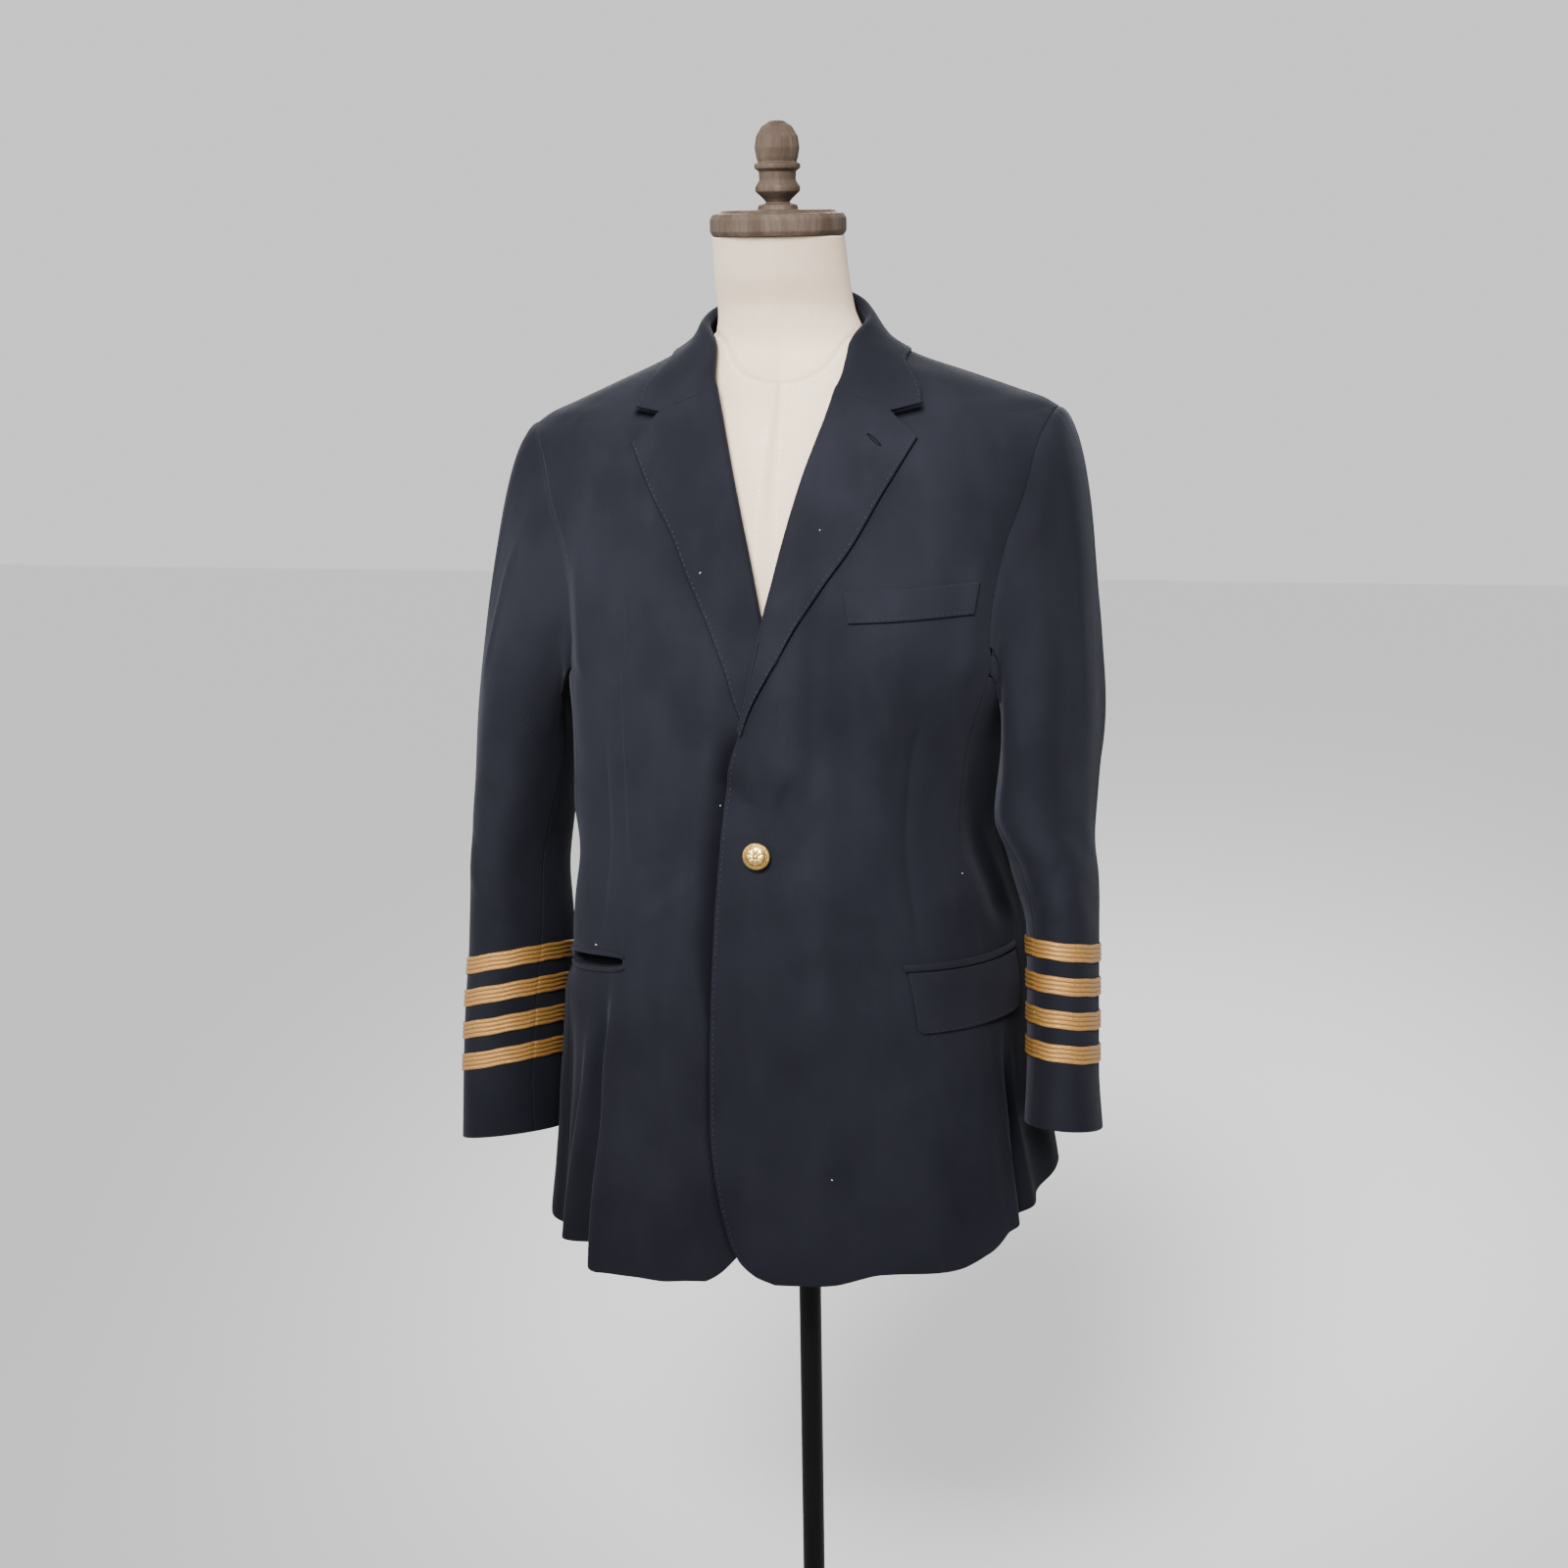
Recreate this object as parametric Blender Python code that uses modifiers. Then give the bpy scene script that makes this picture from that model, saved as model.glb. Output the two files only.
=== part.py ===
"""Pilot uniform jacket standing on a limbless dress form, in metres, +Z up.

The jacket's front faces -Y and the wearer's left is +X. The origin lies under the round base, on the
pole's axis. Every cloth piece is an open sheet on one shared body surface or sleeve surface, given its
wall by Solidify. Neighbouring pieces leave a seam gap, and what lies on a panel is made from the
panel's own surface, moved out by one layer.
"""

import math

import bmesh
import bpy
import numpy as np

# Driving dimensions
WALL = 0.0018
SEAM_GAP = 0.0003
LAYER = WALL + SEAM_GAP
EASE_OVER_PANEL = 0.0008
PANEL_SEAM_GAP = 0.0005
SLEEVE_SEAM_GAP = 0.0007
BRAID_WALL = 0.0012
BRAID_EASE = 0.0005

HEM_ROW = 0.7077
HEM_BLEND_TOP = 0.846
ARMHOLE_LOW = 1.215
ARMHOLE_DIP = 0.015
SHOULDER_TIP = 1.4225
SHOULDER_LEAN = 0.050
NECK_ROW = 1.4855
SIDE_FRONT_SEAM = 62.0
SIDE_BACK_SEAM = 109.0

BUTTON_PLACE = (-0.001, 1.081)
BUTTON_RADIUS = 0.0115

CUFF_BRAIDS = 4
BRAID_WIDTH = 0.0155
BRAID_PITCH = 0.0288
LAST_BRAID_ABOVE_CUFF = 0.067

POLE_RADIUS = 0.010
BASE_RADIUS = 0.165
BASE_THICK = 0.010
FORM_BOTTOM = 0.80
NECK_TOP = 1.571

# Body surface: height, half width, front depth, back depth, power of the rounded section, shift in X
BODY_SECTIONS = (
    (0.660, 0.2370, 0.180, 0.157, 2.40, 0.000),
    (0.760, 0.2240, 0.182, 0.152, 2.45, -0.001),
    (0.830, 0.2130, 0.184, 0.148, 2.50, -0.004),
    (0.900, 0.2050, 0.184, 0.140, 2.50, -0.006),
    (0.960, 0.2000, 0.183, 0.130, 2.50, -0.007),
    (1.020, 0.1920, 0.182, 0.118, 2.50, -0.010),
    (1.083, 0.1820, 0.180, 0.110, 2.50, -0.0115),
    (1.150, 0.1840, 0.176, 0.118, 2.50, -0.010),
    (1.210, 0.1950, 0.170, 0.128, 2.45, -0.003),
    (1.240, 0.2010, 0.165, 0.132, 2.40, 0.000),
    (1.290, 0.2110, 0.153, 0.136, 2.35, 0.000),
    (1.340, 0.2220, 0.137, 0.133, 2.25, -0.001),
    (1.380, 0.2330, 0.119, 0.124, 2.15, -0.002),
    (1.408, 0.2375, 0.102, 0.110, 2.05, -0.003),
    (1.428, 0.2160, 0.089, 0.094, 1.90, -0.003),
    (1.439, 0.1890, 0.083, 0.083, 1.80, -0.003),
    (1.453, 0.1530, 0.076, 0.074, 1.80, -0.003),
    (1.472, 0.1045, 0.068, 0.064, 1.80, -0.003),
    (1.486, 0.0805, 0.0635, 0.056, 1.85, -0.003),
    (1.500, 0.0710, 0.0580, 0.054, 1.95, -0.0025),
    (1.512, 0.0655, 0.0545, 0.053, 2.00, -0.002),
    (1.545, 0.0595, 0.0520, 0.051, 2.00, -0.002),
)

# Heights of the panels' rows at the centre front
ROW_HEIGHTS = (
    HEM_ROW, 0.716, 0.730, 0.755, 0.794, HEM_BLEND_TOP, 0.905, 0.960, 1.008, 1.045, 1.083,
    1.120, 1.150, 1.176, 1.196, ARMHOLE_LOW, 1.241, 1.270, 1.300, 1.330, 1.358, 1.382, 1.397,
    1.411, SHOULDER_TIP, 1.431, 1.441, 1.453, 1.468, NECK_ROW,
)

# Hem: angle round the body in degrees from the centre front, height
HEM = (
    (-180.0, 0.738), (-130.0, 0.722), (-90.0, 0.712), (-60.0, 0.7138), (-50.0, 0.7117), (-44.0, 0.7110),
    (-41.0, 0.6990), (-38.0, 0.6940), (-30.0, 0.6960), (-20.0, 0.6992), (-14.0, 0.7030), (0.0, 0.7077),
    (10.6, 0.7095), (20.7, 0.7174), (36.0, 0.7165), (41.0, 0.7170), (49.0, 0.7257), (57.0, 0.7396),
    (75.0, 0.7460), (100.0, 0.7470), (140.0, 0.7440), (180.0, 0.738),
)

# Front armhole and back armhole: height, distance from the centre
FRONT_ARMHOLE = (
    (ARMHOLE_LOW, 0.1780), (1.241, 0.1762), (1.274, 0.1785), (1.3165, 0.1870), (1.358, 0.2015),
    (1.3946, 0.2110), (1.4110, 0.2175), (SHOULDER_TIP, 0.2230),
)
BACK_ARMHOLE = (
    (ARMHOLE_LOW, 0.1895), (1.250, 0.1910), (1.290, 0.1965), (1.340, 0.2060), (1.380, 0.2150),
    (1.405, 0.2195), (SHOULDER_TIP, 0.2230),
)

# Wearer's left front, the one on top: height, x of its open edge and, above 1.176, of its roll line
LEFT_EDGE = (
    (0.7077, 0.0070), (0.7145, -0.0099), (0.7294, -0.0248), (0.7552, -0.0344), (0.7944, -0.0418),
    (0.8463, -0.0456), (0.9318, -0.0438), (1.0075, -0.0399), (1.0851, -0.0329), (1.1346, -0.0279),
    (1.1572, -0.0234), (1.1756, -0.0172), (1.2100, -0.0080), (1.2684, 0.0038), (1.3363, 0.0180),
    (1.3851, 0.0303), (1.4309, 0.0440), (1.4470, 0.0480), (1.4650, 0.0536), (1.4855, 0.0575),
)
# Wearer's right front, the one beneath
RIGHT_EDGE = (
    (0.7030, -0.0620), (0.7146, -0.0407), (0.7275, -0.0275), (0.7550, -0.0040), (0.7944, 0.0160),
    (0.8463, 0.0280), (0.9318, 0.0320), (1.0075, 0.0320), (1.0851, 0.0300), (1.1346, 0.0240),
    (1.1756, 0.0172), (1.2100, 0.0095), (1.2591, -0.0001), (1.3086, -0.0116), (1.3615, -0.0266),
    (1.4182, -0.0447), (1.4470, -0.0545), (1.4559, -0.0579), (1.4855, -0.0640),
)
# Outer edges of the lapels: height, x
LEFT_LAPEL_EDGE = (
    (1.1740, -0.0150), (1.1984, -0.0059), (1.2285, 0.0106), (1.2603, 0.0281), (1.2939, 0.0489),
    (1.3264, 0.0709), (1.3675, 0.0931), (1.4081, 0.1166),
)
RIGHT_LAPEL_EDGE = (
    (1.1640, 0.0120), (1.1903, -0.0156), (1.2275, -0.0291), (1.2672, -0.0460), (1.3013, -0.0634),
    (1.3331, -0.0784), (1.3683, -0.1010), (1.4043, -0.1208),
)
GORGE_TOP = 1.447
NOTCH = {1: (0.0921, 1.4292), -1: (-0.0997, 1.4280)}
COLLAR_POINT = {1: (0.1176, 1.4343), -1: (-0.1229, 1.4331)}
NOTCH_SHARE = 0.64

# Collar: angle and height of the fold, angle and height of the free edge, depth of the stand behind it
COLLAR_STATIONS = (
    (19.7, 1.4470, 37.9, 1.4337, 0.008),
    (29.7, 1.4650, 44.8, 1.4455, 0.011),
    (43.3, 1.4835, 53.1, 1.4570, 0.012),
    (56.0, 1.5000, 66.0, 1.4695, 0.013),
    (90.0, 1.5110, 90.0, 1.4735, 0.023),
    (122.0, 1.5200, 118.0, 1.4745, 0.031),
    (152.0, 1.5255, 150.0, 1.4735, 0.037),
    (180.0, 1.5270, 180.0, 1.4730, 0.039),
)

# Soft folds: top height and angle, bottom height and angle (degrees from the front), half width, rise
FOLDS = (
    ("left skirt ridge", 0.995, -31.7, 0.640, -41.6, 0.011, 0.0060),
    ("left skirt valley", 0.990, -36.4, 0.640, -47.7, 0.010, -0.0110),
    ("left skirt back ridge", 0.975, -38.5, 0.640, -55.0, 0.010, 0.0050),
    ("left side valley", 0.940, -57.5, 0.640, -64.2, 0.012, -0.0060),
    ("left front hollow", 1.210, -13.7, 0.960, -14.5, 0.020, -0.0040),
    ("dimple over the button", 1.160, -2.3, 1.100, -0.8, 0.012, -0.0030),
    ("right waist hollow", 1.170, 68.0, 0.980, 80.0, 0.026, -0.0070),
    ("right side recess", 0.950, 84.0, 0.620, 86.0, 0.040, -0.0150),
    ("right skirt ridge", 0.900, 55.0, 0.640, 51.0, 0.013, 0.0030),
    ("right back skirt ridge", 0.900, 106.0, 0.640, 108.0, 0.016, 0.0030),
    ("left dart", 1.215, -40.1, 1.000, -38.1, 0.007, -0.0016),
    ("right dart", 1.215, 40.1, 1.000, 39.0, 0.007, -0.0016),
    ("left armhole drape", 1.345, -46.7, 1.205, -52.2, 0.013, 0.0035),
    ("right armhole drape", 1.345, 46.7, 1.205, 52.2, 0.013, 0.0035),
    ("back seam hollow", 1.240, 180.0, 0.960, 180.0, 0.030, -0.0050),
    ("back left fold", 1.000, 159.0, 0.640, 158.0, 0.016, 0.0050),
    ("back right fold", 1.000, -161.0, 0.640, -156.0, 0.016, 0.0050),
    ("back left drape", 1.350, 132.0, 1.200, 133.0, 0.016, 0.0040),
    ("back right drape", 1.350, -132.0, 1.200, -133.0, 0.016, 0.0040),
)

# Sleeves below the cap: height, centre x, centre y, half width, half depth, turn in degrees (front
# edge inwards)
LEFT_SLEEVE = (
    (1.134, 0.2185, -0.008, 0.0375, 0.0810, 12.0),
    (1.084, 0.2170, -0.013, 0.0375, 0.0780, 10.0),
    (1.033, 0.2260, -0.020, 0.0335, 0.0720, -4.0),
    (0.984, 0.2315, -0.028, 0.0305, 0.0670, -6.0),
    (0.924, 0.2330, -0.035, 0.0300, 0.0640, -7.0),
    (0.868, 0.2340, -0.041, 0.0302, 0.0610, -7.0),
    (0.816, 0.2355, -0.047, 0.0330, 0.0590, -6.0),
)
RIGHT_SLEEVE = (
    (1.121, -0.2478, -0.008, 0.0400, 0.0800, 0.0),
    (1.069, -0.2487, -0.013, 0.0390, 0.0770, -4.0),
    (1.015, -0.2524, -0.020, 0.0370, 0.0725, -7.0),
    (0.964, -0.2531, -0.028, 0.0360, 0.0690, -12.0),
    (0.901, -0.2563, -0.035, 0.0360, 0.0660, -16.0),
    (0.842, -0.2589, -0.041, 0.0360, 0.0630, -18.0),
    (0.785, -0.2681, -0.047, 0.0360, 0.0585, -12.0),
)
SLEEVES = {1: LEFT_SLEEVE, -1: RIGHT_SLEEVE}
RING_TILT_SIDE = {1: 0.08, -1: 0.23}
RING_TILT_FRONT = 0.24
FOREARM_SEAM = {1: 0.36, -1: 0.405}
HINDARM_SEAM = 0.695
TOP_SLEEVE_COLUMNS = 16
UNDER_SLEEVE_COLUMNS = 9

# Dress form: height, half width, front depth, back depth, power, centre x, centre y
FORM_SECTIONS = (
    (0.800, 0.130, 0.095, 0.090, 2.2, 0.000, 0.000),
    (0.803, 0.146, 0.110, 0.104, 2.2, 0.000, 0.000),
    (0.812, 0.156, 0.120, 0.112, 2.2, 0.000, 0.000),
    (0.860, 0.165, 0.130, 0.118, 2.2, 0.000, 0.000),
    (0.950, 0.166, 0.132, 0.112, 2.2, 0.000, 0.000),
    (1.040, 0.152, 0.128, 0.098, 2.2, -0.003, 0.000),
    (1.090, 0.146, 0.128, 0.092, 2.2, -0.004, 0.000),
    (1.160, 0.156, 0.138, 0.100, 2.2, -0.004, 0.000),
    (1.240, 0.174, 0.148, 0.116, 2.2, -0.002, 0.000),
    (1.290, 0.184, 0.140, 0.121, 2.2, -0.001, 0.000),
    (1.340, 0.192, 0.125, 0.119, 2.2, -0.002, 0.000),
    (1.380, 0.197, 0.107, 0.110, 2.1, -0.003, 0.000),
    (1.408, 0.198, 0.090, 0.098, 2.0, -0.003, 0.000),
    (1.425, 0.194, 0.077, 0.085, 1.9, -0.003, 0.000),
    (1.436, 0.1850, 0.068, 0.076, 1.8, -0.003, 0.000),
    (1.450, 0.1515, 0.062, 0.067, 1.8, -0.003, 0.000),
    (1.469, 0.1000, 0.054, 0.056, 1.8, -0.003, -0.001),
    (1.482, 0.0760, 0.046, 0.047, 1.85, -0.003, -0.003),
    (1.496, 0.0620, 0.043, 0.042, 2.00, -0.003, -0.007),
    (1.512, 0.0575, 0.043, 0.043, 2.00, -0.0035, -0.012),
    (1.540, 0.0562, 0.047, 0.046, 2.00, -0.006, -0.024),
    (NECK_TOP, 0.0550, 0.050, 0.050, 2.00, -0.007, -0.036),
)
NECK_CENTRE = (-0.007, -0.036)

NAVY = ("navy wool", (0.014, 0.016, 0.026, 1.0), 0.85, 0.0)
GOLD_BRAID = ("gold braid", (0.560, 0.370, 0.120, 1.0), 0.42, 0.6)
BRASS = ("gilt brass", (0.720, 0.500, 0.160, 1.0), 0.25, 1.0)
LINEN = ("cream linen", (0.780, 0.700, 0.590, 1.0), 0.90, 0.0)
WOOD = ("grey brown wood", (0.130, 0.095, 0.065, 1.0), 0.50, 0.0)
BLACK_METAL = ("black metal", (0.012, 0.012, 0.013, 1.0), 0.40, 0.3)


def clear_scene():
    """Remove whatever the file opened with."""
    for item in list(bpy.data.objects):
        bpy.data.objects.remove(item, do_unlink=True)


def material(finish):
    """Return the Principled material of a finish: name, colour, roughness, metallic value."""
    name, colour, roughness, metallic = finish
    found = bpy.data.materials.get(name)
    if found:
        return found
    made = bpy.data.materials.new(name)
    made.use_nodes = True
    shader = made.node_tree.nodes["Principled BSDF"]
    shader.inputs["Base Color"].default_value = colour
    shader.inputs["Roughness"].default_value = roughness
    shader.inputs["Metallic"].default_value = metallic
    return made


def place(name, mesh, finish, collection):
    """Put a mesh into the collection as one named object with its material."""
    mesh.materials.append(material(finish))
    mesh.shade_smooth()
    mesh.set_sharp_from_angle(angle=math.radians(40.0))
    item = bpy.data.objects.new(name, mesh)
    collection.objects.link(item)
    return item


def table_value(at, table, column=1):
    """Read a table's column at a height or angle, by a monotone cubic through its rows."""
    rows = np.array([row for row in table], dtype=float)
    keys = rows[:, 0]
    values = rows[:, column]
    at = np.clip(np.asarray(at, dtype=float), keys[0], keys[-1])
    steps = np.diff(keys)
    slopes = np.diff(values) / steps
    tangents = np.zeros_like(values)
    tangents[0] = slopes[0]
    tangents[-1] = slopes[-1]
    same_way = slopes[:-1] * slopes[1:] > 0
    total = np.where(same_way, slopes[:-1] + slopes[1:], 1.0)
    tangents[1:-1] = np.where(same_way, 2 * slopes[:-1] * slopes[1:] / total, 0.0)
    index = np.clip(np.searchsorted(keys, at) - 1, 0, len(steps) - 1)
    share = (at - keys[index]) / steps[index]
    rise = (3 - 2 * share) * share**2
    start = share * (1 - share) ** 2 * steps[index] * tangents[index]
    end = (share - 1) * share**2 * steps[index] * tangents[index + 1]
    return (1 - rise) * values[index] + rise * values[index + 1] + start + end


def ease(value, low, high):
    """Go smoothly from 0 at low to 1 at high; low may be the greater."""
    share = np.clip((value - low) / (high - low), 0.0, 1.0)
    return share * share * (3 - 2 * share)


def plain_body(angle, height):
    """Return points of the body surface without folds; the angle is in radians from the front."""
    half, front, back, power, shift = (table_value(height, BODY_SECTIONS, k) for k in range(1, 6))
    sine = np.sin(angle)
    cosine = np.cos(angle)
    x = shift + half * np.sign(sine) * np.abs(sine) ** (2 / power)
    reach = np.abs(cosine) ** (2 / power)
    y = np.where(cosine > 0, -front, back) * reach
    return np.stack([x, y, height + shoulder_lean(x, height)], axis=-1)


def shoulder_lean(x, height):
    """Return how much higher the body hangs on the wearer's left shoulder, and lower on the right."""
    return SHOULDER_LEAN * np.sign(x) * np.maximum(np.abs(x) - 0.10, 0.0) * ease(height, 1.17, 1.38)


def body_normal(angle, height):
    """Return the outward normals of the body surface, from its slopes along angle and height."""
    small = 0.004
    round_way = plain_body(angle + small, height) - plain_body(angle - small, height)
    up_way = plain_body(angle, height + small) - plain_body(angle, height - small)
    normal = np.cross(round_way, up_way)
    return normal / np.linalg.norm(normal, axis=-1, keepdims=True)


def angle_at(x, height, face=1):
    """Return the angle whose body point has this x; face is 1 in front and -1 at the back."""
    half = table_value(height, BODY_SECTIONS, 1)
    power = table_value(height, BODY_SECTIONS, 4)
    shift = table_value(height, BODY_SECTIONS, 5)
    share = np.clip(np.abs(x - shift) / half, 0.0, 1.0)
    angle = np.arcsin(share ** (power / 2)) * np.sign(x - shift)
    if face > 0:
        return angle
    return np.where(x >= shift, math.pi - angle, -math.pi - angle)


def fold_rise(points):
    """Add up the soft folds at some points of the plain body surface."""
    total = np.zeros(points.shape[:-1])
    for _, top, top_angle, bottom, bottom_angle, width, rise in FOLDS:
        along = np.clip((points[..., 2] - bottom) / (top - bottom), 0.0, 1.0)
        angle = np.radians(bottom_angle + (top_angle - bottom_angle) * along)
        path = plain_body(angle, bottom + (top - bottom) * along)
        away = np.hypot(points[..., 0] - path[..., 0], points[..., 1] - path[..., 1])
        fade = ease(along, 0.0, 0.18) * ease(along, 1.0, 0.62)
        total += rise * fade * np.exp(-((away / width) ** 2))
    return total


def body_point(angle, height, lift=0.0):
    """Return points of the folded body surface, moved out by the lift."""
    points = plain_body(angle, height)
    outward = (fold_rise(points) + lift)[..., None]
    return points + body_normal(angle, height) * outward


def row_height(row, angle):
    """Return the height of a panel's row, which follows the hem near the bottom edge."""
    hem = table_value(np.degrees(angle), HEM)
    stretch = (HEM_BLEND_TOP - hem) / (HEM_BLEND_TOP - HEM_ROW)
    low = hem + (row - HEM_ROW) * stretch
    return np.where(row < HEM_BLEND_TOP, low, row)


def sheet(name, points, finish, collection, wall=WALL, ring=False):
    """Make an open sheet from a grid of points and give it a wall with Solidify."""
    rows, columns = points.shape[:2]
    index = np.arange(rows * columns).reshape(rows, columns)
    if ring:
        index = np.concatenate([index, index[:, :1]], axis=1)
    corners = [index[:-1, :-1], index[:-1, 1:], index[1:, 1:], index[1:, :-1]]
    faces = np.stack(corners, axis=-1).reshape(-1, 4)
    mesh = bpy.data.meshes.new(name)
    mesh.from_pydata(points.reshape(-1, 3).tolist(), [], faces.tolist())
    mesh.update()
    item = place(name, mesh, finish, collection)
    solidify = item.modifiers.new("Wall", "SOLIDIFY")
    solidify.thickness = wall
    solidify.offset = 0.0
    return item


def turned(name, profile, finish, collection, steps=32):
    """Make a turned solid from a profile of (radius, height) rows, top to bottom, with Screw."""
    mesh = bpy.data.meshes.new(name)
    points = [(radius, 0.0, height) for radius, height in profile]
    edges = [(k, k + 1) for k in range(len(points) - 1)]
    mesh.from_pydata(points, edges, [])
    item = place(name, mesh, finish, collection)
    screw = item.modifiers.new("Turn", "SCREW")
    screw.steps = steps
    screw.render_steps = steps
    screw.use_merge_vertices = True
    screw.merge_threshold = 0.00001
    return item


def overlap_lift(x, height):
    """Return how far the left front stands off: over the right front, and more over its lapel."""
    over_front = ease(x, 0.075, 0.048) * ease(height, 1.345, 1.290)
    over_lapel = ease(x, 0.045, 0.030) * ease(height, 1.300, 1.275) * ease(height, 1.120, 1.150)
    return (LAYER + EASE_OVER_PANEL) * over_front + (1.95 * LAYER) * over_lapel


def front_panel(side, collection):
    """Make one front: from its open edge or roll line to the side seam, armhole and shoulder."""
    edge_table = LEFT_EDGE if side > 0 else RIGHT_EDGE
    columns = 11
    edge_height = np.array(ROW_HEIGHTS)
    edge_x = table_value(edge_height, edge_table)
    start = angle_at(edge_x + 0.0006 * side, edge_height)
    end = side * outer_angle(edge_height, FRONT_ARMHOLE, SIDE_FRONT_SEAM, 1, side)
    share = np.linspace(0.0, 1.0, columns)[None, :]
    angle = start[:, None] * (1 - share) + end[:, None] * share
    height = row_height(edge_height[:, None], angle)
    lift = 0.0 * angle
    if side > 0:
        lift = overlap_lift(plain_body(angle, height)[..., 0], height)
    return sheet("front_left" if side > 0 else "front_right",
                 body_point(angle, height, lift), NAVY, collection)


def outer_angle(height, armhole, seam, face, side):
    """Return the angle of a panel's outer side, seam gap taken off: seam, armhole, then shoulder."""
    gap = 0.5 * PANEL_SEAM_GAP * face
    at_seam = math.radians(seam) - gap / 0.19
    half = table_value(height, BODY_SECTIONS, 1)
    shift = table_value(height, BODY_SECTIONS, 5)
    hole_x = np.minimum(table_value(height, armhole), half) * side + shift
    at_hole = np.abs(angle_at(hole_x, height, face))
    at_shoulder = math.pi / 2 - gap / 0.05
    angle = np.where(height < ARMHOLE_LOW + 0.001, at_seam, at_hole)
    angle = np.where(height > SHOULDER_TIP - 0.001, at_shoulder, angle)
    return angle


def side_panel(side, collection):
    """Make one side panel: from hem to the underside of the armhole."""
    columns = 6
    rows = np.array([row for row in ROW_HEIGHTS if row <= ARMHOLE_LOW])
    first = math.radians(SIDE_FRONT_SEAM) + 0.5 * PANEL_SEAM_GAP / 0.19
    last = math.radians(SIDE_BACK_SEAM) - 0.5 * PANEL_SEAM_GAP / 0.19
    share = np.linspace(0.0, 1.0, columns)[None, :]
    angle = side * (first * (1 - share) + last * share) + 0.0 * rows[:, None]
    height = row_height(rows[:, None], angle)
    dip = ARMHOLE_DIP * np.sin(math.pi * share) * ease(height, 1.12, ARMHOLE_LOW)
    return sheet("side_left" if side > 0 else "side_right",
                 body_point(angle, height - dip), NAVY, collection)


def back_panel(side, collection):
    """Make one back panel: from the centre back seam to the side seam, armhole and shoulder."""
    columns = 8
    rows = np.array(ROW_HEIGHTS)
    middle = math.pi - 0.5 * SEAM_GAP / 0.10
    outer = outer_angle(rows, BACK_ARMHOLE, SIDE_BACK_SEAM, -1, side)
    share = np.linspace(0.0, 1.0, columns)[None, :]
    angle = side * (outer[:, None] * (1 - share) + middle * share)
    height = row_height(rows[:, None], angle)
    return sheet("back_left" if side > 0 else "back_right",
                 body_point(angle, height), NAVY, collection)


def rolled_leaf(name, angles, heights, behind, radius, collection, lift=0.0, soft=0.0):
    """Make a leaf that rolls round an edge: behind it, round the fold, and out over the panel.

    angles and heights give the leaf's own rows, from fold to free edge. behind is how far the cloth
    runs back under the fold in each row, and radius is the roll's own radius in each row.
    """
    rows = angles.shape[0]
    flat = body_point(angles, heights)
    length = np.linalg.norm(flat[:, 1:] - flat[:, :-1], axis=-1).sum(axis=1)
    turn = np.linspace(0.0, math.pi, 6)[1:-1]
    steps = [(behind, -radius), (0.55 * behind, -radius)]
    steps.append((radius * 0.4, -radius))
    steps += [(radius * (0.4 - math.sin(t)), -radius * math.cos(t)) for t in turn]
    grid = []
    extra = lift if np.ndim(lift) == 2 else lift + 0.0 * angles
    for distance, rise in steps:
        share = distance / length
        grid.append(leaf_point(angles, heights, share, extra[:, 0] + rise))
    for column in range(angles.shape[1]):
        share = np.full(rows, column / (angles.shape[1] - 1))
        if column == 0:
            share = share + radius * 0.4 / length
        bulge = soft * np.exp(-share * length / 0.012) * (1.0 - np.exp(-share * length / 0.004))
        grid.append(leaf_point(angles, heights, share, extra[:, column] + radius + bulge))
    points = np.stack(grid, axis=1)
    return sheet(name, points, NAVY, collection)


def leaf_point(angles, heights, share, lift):
    """Read a leaf's rows at one share each, going on straight before the fold, and lift them."""
    columns = angles.shape[1]
    place_in_row = np.clip(share * (columns - 1), -3.0, columns - 1.0)
    low = np.clip(np.floor(place_in_row).astype(int), 0, columns - 2)
    part = place_in_row - low
    row = np.arange(angles.shape[0])
    angle = angles[row, low] * (1 - part) + angles[row, low + 1] * part
    height = heights[row, low] * (1 - part) + heights[row, low + 1] * part
    return body_point(angle, height, lift)


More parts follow.
